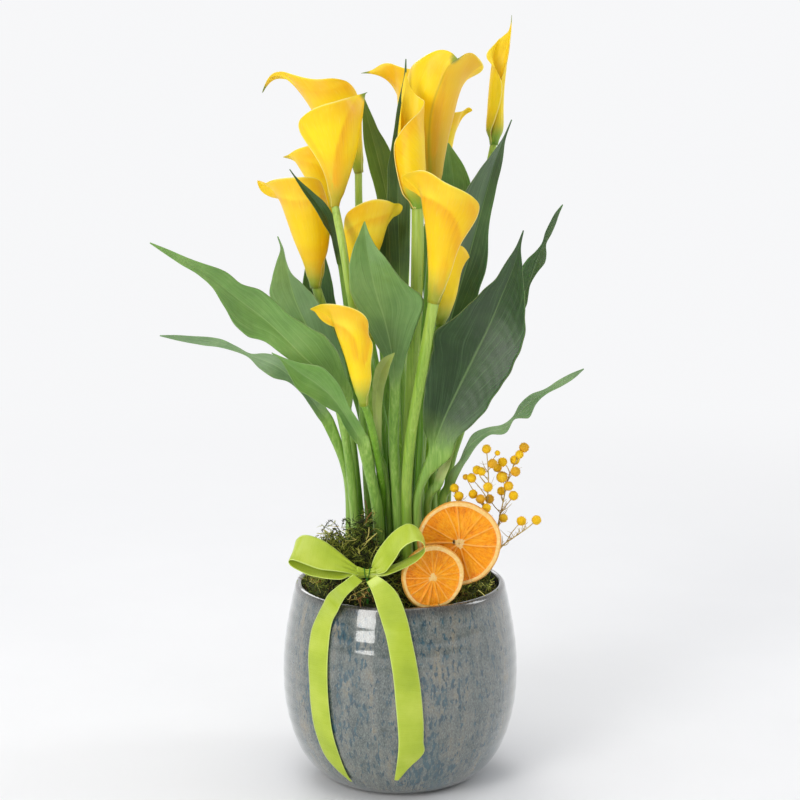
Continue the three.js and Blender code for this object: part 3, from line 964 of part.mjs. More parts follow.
// dried sprigs: main twig points, ball centres with radius
const SPRIGS = {
  dried_sprig_1: {
    main: [[60.5, -22.0, 167.7], [62.5, -24.0, 189.9], [64.5, -25.0, 213.3], [65.8, -26.0, 236.5], [64.2, -26.0, 260.1]],
    balls: [[64.2, -26.0, 260.1, 3.4], [68.6, -28.0, 249.5, 3.6], [57.4, -22.0, 243.2, 3.4], [60.5, -29.0, 243.7, 3.2], [53.2, -24.0, 237.6, 3.6], [48.9, -20.0, 237.4, 2.2], [65.3, -30.0, 232.1, 3.6], [54.5, -24.0, 225.3, 3.4], [59.9, -28.0, 222.5, 3.5], [64.3, -30.0, 216.1, 3.4], [72.5, -22.0, 256.2, 2.0]],
  },
  dried_sprig_2: {
    main: [[66.0, -16.0, 167.6], [71.1, -16.0, 187.8], [76.8, -16.0, 214.9], [81.9, -15.0, 237.8], [92.7, -14.0, 258.6]],
    balls: [[92.7, -14.0, 258.6, 3.7], [89.1, -17.0, 253.9, 3.2], [86.1, -11.0, 248.4, 3.6], [76.5, -18.0, 248.4, 3.5], [86.2, -18.0, 241.1, 3.7], [73.0, -12.0, 242.5, 3.3], [76.2, -17.0, 236.7, 4.3], [81.1, -18.0, 230.0, 3.6], [76.2, -11.0, 224.5, 3.3], [85.0, -16.0, 222.2, 3.6], [67.0, -17.0, 219.8, 3.5], [77.5, -19.0, 205.6, 3.3]],
  },
  dried_sprig_3: {
    main: [[68.6, -26.0, 168.8], [75.1, -28.0, 184.8], [85.4, -29.0, 193.6], [95.0, -29.0, 200.5], [101.7, -29.0, 206.6]],
    balls: [[101.7, -29.0, 206.6, 3.6], [90.7, -25.0, 204.8, 3.6]],
  },
  dried_sprig_4: {
    main: [[50.5, -27.0, 170.6], [47.5, -27.0, 186.9], [44.4, -27.0, 206.1], [42.1, -27.0, 221.5], [40.5, -27.0, 230.6]],
    balls: [[40.5, -27.0, 230.6, 3.3], [43.8, -30.0, 225.2, 3.5]],
  },
};

// ---------------------------------------------------------------- materials
const mat = (color, roughness, extra = {}) => new THREE.MeshStandardMaterial({ color, roughness, metalness: 0, ...extra });
const M = {
  glaze: () => mat(0x6f7f80, 0.18),
  soil: () => mat(0x3b2a1d, 0.95),
  moss: () => mat(0x5d6b35, 0.95),
  spathe: () => mat(0xf7c912, 0.45),
  scape: () => mat(0x8ab24a, 0.45),
  leaf: () => mat(0x446b3f, 0.5),
  young: () => mat(0xa3b85a, 0.5),
  ribbon: () => mat(0x9ac92f, 0.3),
  wire: () => mat(0x3f7a35, 0.5),
  orange: () => mat(0xe98a1d, 0.6),
  dried: () => mat(0xd9a928, 0.8),
};

// ---------------------------------------------------------------- vectors and splines
const sub = (a, b) => [a[0] - b[0], a[1] - b[1], a[2] - b[2]];
const add = (a, b) => [a[0] + b[0], a[1] + b[1], a[2] + b[2]];
const mul = (a, s) => [a[0] * s, a[1] * s, a[2] * s];
const dot = (a, b) => a[0] * b[0] + a[1] * b[1] + a[2] * b[2];
const cross = (a, b) => [a[1] * b[2] - a[2] * b[1], a[2] * b[0] - a[0] * b[2], a[0] * b[1] - a[1] * b[0]];
const unit = (a) => mul(a, 1 / Math.max(Math.hypot(...a), 1e-12));
const lerp3 = (a, b, f) => add(mul(a, 1 - f), mul(b, f));
const clamp = (x, a, b) => Math.min(Math.max(x, a), b);

// Catmull-Rom through rows of numbers at t in 0..n-1
function spline(pts, t) {
  const n = pts.length;
  const i = clamp(Math.floor(t), 0, n - 2), f = t - i;
  const g = (k) => (k < 0 ? pts[0].map((v, c) => 2 * v - pts[1][c]) : k > n - 1 ? pts[n - 1].map((v, c) => 2 * v - pts[n - 2][c]) : pts[k]);
  const p0 = g(i - 1), p1 = g(i), p2 = g(i + 1), p3 = g(i + 2);
  return p1.map((v, c) => 0.5 * (2 * v + (p2[c] - p0[c]) * f + (2 * p0[c] - 5 * v + 4 * p2[c] - p3[c]) * f * f + (-p0[c] + 3 * v - 3 * p2[c] + p3[c]) * f * f * f));
}
function tangents(P) {
  return P.map((_, i) => unit(sub(P[Math.min(i + 1, P.length - 1)], P[Math.max(i - 1, 0)])));
}
function transported(T, first) {
  const N = [unit(sub(first, mul(T[0], dot(first, T[0]))))];
  for (let i = 1; i < T.length; i++) N.push(unit(sub(N[i - 1], mul(T[i], dot(N[i - 1], T[i])))));
  return N;
}
const interp = (x, xs, ys) => {
  if (x <= xs[0]) return ys[0];
  for (let i = 1; i < xs.length; i++) if (x <= xs[i]) return ys[i - 1] + ((ys[i] - ys[i - 1]) * (x - xs[i - 1])) / (xs[i] - xs[i - 1]);
  return ys[ys.length - 1];
};

// ---------------------------------------------------------------- closed bodies
function geometryOf(points, faces) {
  let vol = 0;
  for (const [a, b, c] of faces) vol += dot(points[a], cross(points[b], points[c]));
  const index = faces.flatMap(([a, b, c]) => (vol < 0 ? [a, c, b] : [a, b, c]));
  const g = new THREE.BufferGeometry();
  g.setAttribute("position", new THREE.BufferAttribute(new Float32Array(points.flat()), 3));
  g.setIndex(index);
  return g;
}
// rings of equal length joined into a tube with closed ends
function ringsBody(rings) {
  const n = rings[0].length, points = rings.flat(), faces = [];
  for (let i = 0; i + 1 < rings.length; i++)
    for (let k = 0; k < n; k++) {
      const a = i * n + k, b = i * n + ((k + 1) % n), c = a + n, d = b + n;
      // both sides of a thin section are split along the same diagonal, so that its walls never cross
      if (2 * k < n) faces.push([a, b, d], [a, d, c]);
      else faces.push([a, b, c], [b, d, c]);
    }
  const last = (rings.length - 1) * n;
  for (let k = 1; k + 1 < n; k++) faces.push([0, k + 1, k], [last, last + k, last + k + 1]);
  return geometryOf(points, faces);
}
// a sheet given as a grid of middle points, thickened to both sides
function sheetBody(X, half) {
  const nu = X.length, nv = X[0].length;
  const normal = (i, j) => {
    const a = sub(X[Math.min(i + 1, nu - 1)][j], X[Math.max(i - 1, 0)][j]);
    const b = sub(X[i][Math.min(j + 1, nv - 1)], X[i][Math.max(j - 1, 0)]);
    return unit(cross(a, b));
  };
  // thinner where the edge runs out into a point
  const depth = (i, j) => {
    if (j < nv - 1 || i < 1 || i > nu - 2) return half;
    const p = unit(sub(X[i][j], X[i - 1][j])), q = unit(sub(X[i + 1][j], X[i][j]));
    return half * clamp(0.35 + 0.65 * (p[0] * q[0] + p[1] * q[1] + p[2] * q[2] + 0.2), 0.25, 1);
  };
  const points = [], faces = [];
  for (const s of [1, -1]) for (let i = 0; i < nu; i++) for (let j = 0; j < nv; j++) points.push(add(X[i][j], mul(normal(i, j), s * depth(i, j))));
  const o = nu * nv, id = (i, j) => i * nv + j;
  for (let i = 0; i + 1 < nu; i++)
    for (let j = 0; j + 1 < nv; j++) {
      const a = id(i, j), b = id(i + 1, j), c = id(i + 1, j + 1), d = id(i, j + 1);
      faces.push([a, b, c], [a, c, d], [o + a, o + c, o + b], [o + a, o + d, o + c]);
    }
  const border = [];
  for (let i = 0; i < nu - 1; i++) border.push(id(i, 0));
  for (let j = 0; j < nv - 1; j++) border.push(id(nu - 1, j));
  for (let i = nu - 1; i > 0; i--) border.push(id(i, nv - 1));
  for (let j = nv - 1; j > 0; j--) border.push(id(0, j));
  for (let k = 0; k < border.length; k++) {
    const a = border[k], b = border[(k + 1) % border.length];
    faces.push([a, o + b, b], [a, o + a, o + b]);
  }
  return geometryOf(points, faces);
}
function tubeRings(P, radii, sides) {
  const T = tangents(P), N = transported(T, [1, 0, 0]);
  return P.map((p, i) => {
    const B = cross(T[i], N[i]), ring = [];
    for (let k = 0; k < sides; k++) {
      const a = (2 * Math.PI * (k + 0.5)) / sides;
      ring.push(add(p, add(mul(N[i], radii[i] * Math.cos(a)), mul(B, radii[i] * Math.sin(a)))));
    }
    return ring;
  });
}

// ---------------------------------------------------------------- leaf: round petiole that opens into a folded blade
const EYE = [0, -1700, 630]; // the blades turn their upper side this way
function leafBody({ rows, wave }, count) {
  const n = rows.length - 1, dense = [];
  for (let i = 0; i < 400; i++) dense.push(spline(rows, (n * i) / 399));
  const s = [0];
  for (let i = 1; i < 400; i++) s.push(s[i - 1] + Math.hypot(...sub(dense[i], dense[i - 1])));
  const ts = dense.map((_, i) => (n * i) / 399);
  const st = [];
  for (let i = 0; i < count; i++) st.push(spline(rows, interp((s[399] * Math.pow(i / (count - 1), 0.8)), s, ts)));
  const mid = st.map((r) => r.slice(0, 3)), T = tangents(mid);
  const shape = [[1, 0], [0.5, 1], [0, 1], [-0.5, 1], [-1, 0], [-0.5, -1], [0, -1], [0.5, -1]];
  const r0 = rows[0][3];
  const rings = st.map((r, i) => {
    const view = unit(sub(EYE, mid[i]));
    const n0 = unit(sub(view, mul(T[i], dot(view, T[i])))), s0 = cross(T[i], n0);
    const roll = THREE.MathUtils.degToRad(r[6]), fold = THREE.MathUtils.degToRad(r[7]);
    const side = add(mul(s0, Math.cos(roll)), mul(n0, Math.sin(roll)));
    const nor = sub(mul(n0, Math.cos(roll)), mul(s0, Math.sin(roll)));
    const half = Math.max(r[5], LEAF_HALF_THICK * (i === count - 1 ? 0.5 : 1)), blade = clamp(1 - (Math.max(r[5], 0) / r0) * 1.6, 0, 1);
    const S = Math.pow(i / (count - 1), 0.8);
    return shape.map(([q, face]) => {
      const w = Math.max(q < 0 ? r[3] : r[4], 0.35), a = Math.abs(q);
      const lateral = q * w * Math.cos(fold * Math.sqrt(a));
      const ripple = wave[0] * Math.sin(2 * Math.PI * (wave[1] * S * 1.6 + wave[2] + (q > 0 ? 0.37 : 0))) * a * a * blade * clamp(w / 12, 0, 1);
      const lift = Math.pow(a, 1.4) * w * Math.sin(fold) + ripple + face * half * (a > 0 ? 0.866 : 1);
      return add(mid[i], add(mul(side, lateral), mul(nor, lift)));
    });
  });
  return ringsBody(rings);
}

// ---------------------------------------------------------------- flower: spathe rolled round its axis, scape ending in a spadix
// The rim runs up one margin, along the lip and down the other margin. The sheet is stretched between the two
// margins and the lip, and its body follows the tube radii.
function spatheGrid({ axis, tube, rim, p }, nu, nv) {
  const n = axis.length - 1, A = [];
  for (let i = 0; i < 121; i++) A.push(spline(axis, (n * i) / 120));
  const T = tangents(A), N = transported(T, [1, 0, 0]);
  let length = 0;
  for (let i = 1; i < 121; i++) length += Math.hypot(...sub(A[i], A[i - 1]));
  const last = tube.length - 1, m = rim.length;
  const radiusAt = (w) => (w > 1 ? tube[last] + (tube[last] - tube[last - 1]) * (w - 1) * last * 0.5 : spline(tube.map((v) => [v]), w * last)[0]);
  // where each margin turns into the lip
  const upright = (i, k) => Math.max(rim[i][0], rim[k][0]) < 0.12 || Math.abs(rim[k][0] - rim[i][0]) * length > 0.4 * (rim[i][1] + rim[k][1]) * Math.abs(rim[k][2] - rim[i][2]);
  let ia = 0, ib = m - 1;
  while (ia + 1 < m / 3 && rim[ia + 1][0] > rim[ia][0] - 0.01 && upright(ia, ia + 1)) ia++;
  while (ib - 1 > (2 * m) / 3 && rim[ib - 1][0] > rim[ib][0] - 0.01 && upright(ib, ib - 1)) ib--;
  ia = Math.max(ia, 1);
  ib = Math.min(ib, m - 2);
  const margin = (rows, w) => {
    const first = rows[0];
    if (w <= first[0]) return [(first[1] - radiusAt(first[0])) * Math.pow(w / first[0], 1.5), first[2]];
    let i = 0;
    while (i + 2 < rows.length && rows[i + 1][0] < w) i++;
    const f = clamp((w - rows[i][0]) / Math.max(rows[i + 1][0] - rows[i][0], 0.01), 0, 1), rho = rows[i][1] * (1 - f) + rows[i + 1][1] * f;
    const fade = clamp(w / 0.14, 0, 1);
    return [(rho - radiusAt(w)) * fade * fade * (3 - 2 * fade), rows[i][2] * (1 - f) + rows[i + 1][2] * f];
  };
  const rowsA = rim.slice(0, ia + 1), rowsB = rim.slice(ib).reverse();
  const wa = rim[ia][0], wb = rim[ib][0];
  // the outer one of the two margins lies on top all the way down
  let lead = 0;
  for (let w = 0.2; w < Math.min(wa, wb); w += 0.05) lead += margin(rowsB, w)[0] - margin(rowsA, w)[0];
  const sign = lead < 0 ? -1 : 1;
  const pair = (w, wA, wB) => {
    const a = margin(rowsA, Math.min(w, wA)), b = margin(rowsB, Math.min(w, wB));
    a[0] -= 0.5 * MARGIN_STEP * sign;
    b[0] += 0.5 * MARGIN_STEP * sign;
    const want = MARGIN_STEP * 0.9, gap = (b[0] - a[0]) * sign;
    if (gap < want && Math.abs(b[1] - a[1]) > 2 * Math.PI - 0.35) {
      a[0] -= 0.5 * (want - gap) * sign;
      b[0] += 0.5 * (want - gap) * sign;
    }
    return [a, b];
  };
  // columns end at the lip's own points, and more are added where these are far apart
  const at = [];
  for (let i = ia; i <= ib; i++) at.push(i);
  const span = (i, k) => { const q = spline(rim, i), r = spline(rim, k); return Math.abs(r[2] - q[2]) * 12 + 0.5 * Math.abs(r[1] - q[1]); };
  while (at.length < nu) {
    let best = 0;
    for (let i = 1; i + 1 < at.length; i++) if (span(at[i], at[i + 1]) > span(at[best], at[best + 1])) best = i;
    at.splice(best + 1, 0, (at[best] + at[best + 1]) / 2);
  }
  const lipRows = at.map((i) => spline(rim, i)), run = [0];
  for (let i = 1; i < lipRows.length; i++) {
    const q = lipRows[i - 1], r = lipRows[i];
    run.push(run[i - 1] + Math.abs(r[2] - q[2]) * 0.5 * (q[1] + r[1]) + 0.3 * (Math.abs(r[0] - q[0]) * length + Math.abs(r[1] - q[1])));
  }
  const total = run[run.length - 1], first = lipRows[0], final = lipRows[lipRows.length - 1];
  const grid = [];
  lipRows.forEach(([wr, rho, phi1, curl], i) => {
    const s = run[i] / total, row = [], fa = Math.pow(1 - s, 4), fb = Math.pow(s, 4);
    const [aEnd, bEnd] = pair(99, wa, wb);
    const d1 = i === 0 ? aEnd[0] : i === lipRows.length - 1 ? bEnd[0] : rho - radiusAt(wr);
    const bend = phi1 - (1 - s) * first[2] - s * final[2];
    for (let j = 0; j < nv; j++) {
      const t = 1 - Math.pow(1 - j / (nv - 1), 1.8), w = wr * t, wc = clamp(w, 0, 1) * 120;
      const k = clamp(Math.floor(wc), 0, 119), f = wc - k;
      const tg = unit(lerp3(T[k], T[k + 1], f)), ng = unit(lerp3(N[k], N[k + 1], f)), bg = cross(tg, ng);
      const base = add(lerp3(A[k], A[k + 1], f), mul(tg, Math.max(w - 1, 0) * length));
      const [a, b] = [pair(t * wa, wa, wb)[0], pair(t * wb, wa, wb)[1]];
      const phi = (1 - s) * a[1] + s * b[1] + t * t * bend;
      const d = fa * a[0] + fb * b[0] + Math.pow(t, p) * (d1 - fa * aEnd[0] - fb * bEnd[0]);
      const r = Math.max(radiusAt(w) + d, 0.6 * radiusAt(0));
      const up = (curl * Math.pow(t, 9) * (1 - t)) / 0.0387;
      row.push(add(base, add(add(mul(ng, r * Math.cos(phi)), mul(bg, r * Math.sin(phi))), mul(tg, up))));
    }
    grid.push(row);
  });
  return grid;
}
function scapeBody({ scape, axis, tube, r }, sides) {
  const pts = [...scape], last = scape.length - 1, P = [], R = [];
  const steps = 7;
  for (let i = 0; i <= steps; i++) {
    P.push(spline(pts, (last * i) / steps));
    R.push(i === steps ? Math.min(r, tube[0] - 1.7) : r);
  }
  for (const [w, rad] of [[0.09, 2.0], [0.2, SPADIX_RADIUS], [0.45, SPADIX_RADIUS * 0.92], [0.62, SPADIX_RADIUS * 0.75], [0.68, SPADIX_RADIUS * 0.35]]) {
    P.push(spline(axis, w * (axis.length - 1)));
    R.push(Math.min(rad, tube[0] - 1.7, r * 0.95));
  }
  return ringsBody(tubeRings(P, R, sides));
}

// ---------------------------------------------------------------- ribbon, slices, sprigs, moss, pot
function stripBody(stations, steps, half) {
  const rings = [], L = [], Rr = [];
  for (let i = 0; i <= steps; i++) {
    const r = spline(stations, ((stations.length - 1) * i) / steps);
    L.push(r.slice(0, 3));
    Rr.push(r.slice(3, 6));
  }
  const mid = L.map((p, i) => lerp3(p, Rr[i], 0.5)), T = tangents(mid);
  for (let i = 0; i <= steps; i++) {
    const nrm = mul(unit(cross(sub(Rr[i], L[i]), T[i])), half);
    rings.push([add(L[i], nrm), add(Rr[i], nrm), sub(Rr[i], nrm), sub(L[i], nrm)]);
  }
  return ringsBody(rings);
}
function discBody({ c, r, n, t }, sides) {
  const w = unit(n), u = unit(cross([0, 0, 1], w)), v = cross(w, u), rings = [];
  const profile = [[r - 0.9, -t / 2], [r, -t / 2 + 0.9], [r, t / 2 - 0.9], [r - 0.9, t / 2]];
  for (const [rad, h] of profile) {
    const ring = [];
    for (let k = 0; k < sides; k++) {
      const a = (2 * Math.PI * k) / sides, wob = 1 + 0.012 * Math.sin(3 * a + 0.6) + 0.008 * Math.sin(5 * a);
      ring.push(add(c, add(mul(w, h), add(mul(u, rad * wob * Math.cos(a)), mul(v, rad * wob * Math.sin(a))))));
    }
    rings.push(ring);
  }
  return ringsBody(rings);
}

const wasm = await Module();
wasm.setup();
function solid(geometry) {
  let g = geometry.clone();
  g.deleteAttribute("normal");
  g.deleteAttribute("uv");
  g = mergeVertices(g, 1e-4);
  return new wasm.Manifold(new wasm.Mesh({ numProp: 3, vertProperties: g.attributes.position.array, triVerts: new Uint32Array(g.index.array) }));
}
function fromSolid(s) {
  const m = s.getMesh(), v = [];
  for (let i = 0; i < m.numVert; i++) v.push(...m.vertProperties.subarray(i * m.numProp, i * m.numProp + 3));
  const g = new THREE.BufferGeometry();
  g.setAttribute("position", new THREE.BufferAttribute(new Float32Array(v), 3));
  g.setIndex(new THREE.BufferAttribute(m.triVerts, 1));
  return g;
}
const join = (parts) => fromSolid(parts.map(solid).reduce((a, b) => a.add(b)));

function latheBody(profile, segments) {
  const g = new THREE.LatheGeometry(profile.map(([z, r]) => new THREE.Vector2(r, z)), segments);
  g.rotateX(Math.PI / 2);
  g.deleteAttribute("normal");
  g.deleteAttribute("uv");
  return mergeVertices(g, 1e-3);
}
function outward(g) {
  const p = g.attributes.position, pts = [], faces = [];
  for (let i = 0; i < p.count; i++) pts.push([p.getX(i), p.getY(i), p.getZ(i)]);
  for (let i = 0; i < g.index.count; i += 3) {
    const f = [g.index.getX(i), g.index.getX(i + 1), g.index.getX(i + 2)];
    if (f[0] !== f[1] && f[1] !== f[2] && f[0] !== f[2]) faces.push(f);
  }
  return geometryOf(pts, faces);
}
function potBody() {
  const rim = [[POT_HEIGHT - 0.9, 79.0], [POT_HEIGHT, 77.6], [POT_HEIGHT, 76.2], [POT_HEIGHT - 0.9, 75.0]];
  return outward(latheBody([[0, 0], ...POT_OUTER, ...rim, ...POT_INNER, [9, 0]], POT_SEGMENTS));
}
function soilBody(stems) {
  const inner = POT_INNER.filter(([z]) => z < SOIL_TOP).map(([z, r]) => [z + (z === 9 ? FIT_GAP : 0), r - FIT_GAP - 0.2]).reverse();
  const top = interp(SOIL_TOP, POT_INNER.map((p) => p[0]).reverse(), POT_INNER.map((p) => p[1]).reverse()) - FIT_GAP - 0.2;
  let s = solid(outward(latheBody([[9 + FIT_GAP, 0], ...inner, [SOIL_TOP, top], [SOIL_TOP, 0]], POT_SEGMENTS)));
  for (const [P, r] of stems) {
    const dir = unit(sub(P[1], P[0]));
    const a = sub(P[0], mul(dir, FIT_GAP)), b = add(P[0], mul(dir, 16));
    s = s.subtract(solid(ringsBody(tubeRings([a, b], [r / Math.cos(Math.PI / 6) + FIT_GAP, r / Math.cos(Math.PI / 6) + FIT_GAP], 6))));
  }
  return fromSolid(s);
}
function mossBody() {
  const n = MOSS_INNER.length, rings = [];
  const hash = (i, j) => { const x = Math.sin(i * 12.9898 + j * 78.233) * 43758.5453; return x - Math.floor(x); };
  for (let i = 0; i < n; i++) {
    const a = (2 * Math.PI * i) / n, ca = Math.cos(a), sa = Math.sin(a);
    const ri = MOSS_INNER[i], ro = 74.2;
    // the mound stands highest at the left and front left, and stays low under the fruit on the right
    const low = clamp((Math.cos(a + 0.75) - 0.35) / 0.4, 0, 1);
    const high = (15 + 27 * Math.max(0, Math.cos(a + 2.15))) * (1 - 0.85 * low);
    const at = (s, h) => { const r = ri + (ro - ri) * s; return [r * ca, r * sa, h]; };
    const z = (s, j) => MOSS_RIM_Z + high * Math.pow(1 - s, 0.8) * (0.85 + 0.3 * hash(i, j)) - (low > 0.5 ? 1.2 : 0) ;
    rings.push([at(0, SOIL_TOP + FIT_GAP), at(0, z(0.05, 1)), at(0.22, z(0.2, 2)), at(0.45, z(0.45, 3)), at(0.72, z(0.72, 4)), at(1, MOSS_RIM_Z - (low > 0.5 ? 1.2 : 0)), at(1, SOIL_TOP + FIT_GAP)]);
  }
  const m = rings[0].length, points = rings.flat(), faces = [];
  for (let i = 0; i < n; i++)
    for (let k = 0; k < m; k++) {
      const a = i * m + k, b = i * m + ((k + 1) % m), c = ((i + 1) % n) * m + k, d = ((i + 1) % n) * m + ((k + 1) % m);
      faces.push([a, b, d], [a, d, c]);
    }
  return geometryOf(points, faces);
}
function ball([x, y, z, r]) {
  const g = new THREE.SphereGeometry(r, 6, 4);
  g.deleteAttribute("normal");
  g.deleteAttribute("uv");
  const b = mergeVertices(g, 1e-4);
  b.translate(x, y, z);
  return b;
}
function sprigBody({ main, balls }) {
  const at = (t) => spline(main, t * (main.length - 1));
  const P = [];
  for (let i = 0; i <= 7; i++) P.push(at(i / 7));
  const parts = [ringsBody(tubeRings(P, P.map(() => TWIG_RADIUS), 4))];
  for (const b of balls) {
    parts.push(ball(b));
    let best = 0, d = 1e9;
    for (let i = 0; i <= 60; i++) {
      const q = at(i / 60), dz = b[2] - q[2], dist = Math.abs(dz - Math.hypot(q[0] - b[0], q[1] - b[1]) * 1.3);
      if (dist < d) { d = dist; best = i / 60; }
    }
    const q = at(best);
    if (Math.hypot(...sub(q, b)) > b[3] * 0.8)
      parts.push(ringsBody(tubeRings([q, lerp3(q, b, 0.5), lerp3(q, b, 0.97)], [TWIG_RADIUS * 0.8, TWIG_RADIUS * 0.8, TWIG_RADIUS * 0.8], 4)));
  }
  return join(parts);
}

// the flowers and leaves that stand behind or stay narrow are drawn with fewer steps
const SMALL = new Set(["flower_03", "flower_09", "flower_12", "flower_13", "flower_14", "leaf_06", "leaf_07", "leaf_08", "leaf_10", "leaf_14", "leaf_15", "leaf_16", "leaf_17"]);

// ---------------------------------------------------------------- the part
const root = new THREE.Group();
function put(name, geometry, material) {
  const mesh = new THREE.Mesh(geometry, material);
  mesh.name = name;
  root.add(mesh);
}

const stems = [
  ...Object.values(LEAVES).map(({ rows }) => [[rows[0].slice(0, 3), rows[1].slice(0, 3)], rows[0][3]]),
  ...Object.values(FLOWERS).map(({ scape, r }) => [[scape[0], scape[1]], r]),
];
put("pot", potBody(), M.glaze());
put("potting_soil", soilBody(stems), M.soil());
put("moss", mossBody(), M.moss());

const knot = new THREE.SphereGeometry(1, 10, 7);
knot.scale(6.2, 4.6, 6.6);
knot.rotateZ(0.15);
knot.translate(...KNOT);
put("ribbon_bow", join([stripBody(LOOP_LEFT, 22, RIBBON_THICK / 2), stripBody(LOOP_RIGHT, 22, RIBBON_THICK / 2), knot]), M.ribbon());
put("ribbon_tail_left", stripBody(TAIL_LEFT, 22, RIBBON_THICK / 2), M.ribbon());
put("ribbon_tail_right", stripBody(TAIL_RIGHT, 22, RIBBON_THICK / 2), M.ribbon());
const wireTop = [KNOT[0] + 1, KNOT[1] + 5.6, KNOT[2] - 2];
put("bow_wire", ringsBody(tubeRings([[KNOT[0] + 1, -64.5, 158], [KNOT[0] + 1.2, -65, 163], wireTop, [wireTop[0] + 1, wireTop[1] + 0.2, wireTop[2] + 10]], [WIRE_RADIUS, WIRE_RADIUS, WIRE_RADIUS, WIRE_RADIUS], 6)), M.wire());

for (const [name, slice] of Object.entries(SLICES)) put(name, discBody(slice, 24), M.orange());
for (const [name, sprig] of Object.entries(SPRIGS)) put(name, sprigBody(sprig), M.dried());

for (const [name, f] of Object.entries(FLOWERS)) {
  put(name + "_spathe", sheetBody(spatheGrid(f, ...(SMALL.has(name) ? [15, 6] : [18, 7])), SPATHE_THICK / 2), M.spathe());
  put(name + "_scape", scapeBody(f, 6), M.scape());
}
for (const [name, leaf] of Object.entries(LEAVES)) put(name, leafBody(leaf, SMALL.has(name) ? 11 : 14), name === "leaf_16" ? M.young() : M.leaf());

export default root;
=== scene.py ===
import math

import bpy
import numpy as np
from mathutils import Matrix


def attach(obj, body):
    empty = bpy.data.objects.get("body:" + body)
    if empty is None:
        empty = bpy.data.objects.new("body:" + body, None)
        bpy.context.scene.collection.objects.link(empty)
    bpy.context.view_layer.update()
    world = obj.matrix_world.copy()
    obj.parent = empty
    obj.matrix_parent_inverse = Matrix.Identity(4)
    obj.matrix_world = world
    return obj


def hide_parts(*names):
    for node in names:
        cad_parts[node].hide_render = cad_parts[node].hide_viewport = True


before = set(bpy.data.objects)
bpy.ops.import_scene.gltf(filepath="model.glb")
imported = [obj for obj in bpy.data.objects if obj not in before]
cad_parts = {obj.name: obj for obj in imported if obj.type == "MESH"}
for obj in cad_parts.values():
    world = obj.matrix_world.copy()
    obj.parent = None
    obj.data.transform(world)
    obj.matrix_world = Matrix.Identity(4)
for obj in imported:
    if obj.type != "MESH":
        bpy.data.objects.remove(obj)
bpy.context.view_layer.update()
RNG = np.random.default_rng(20)

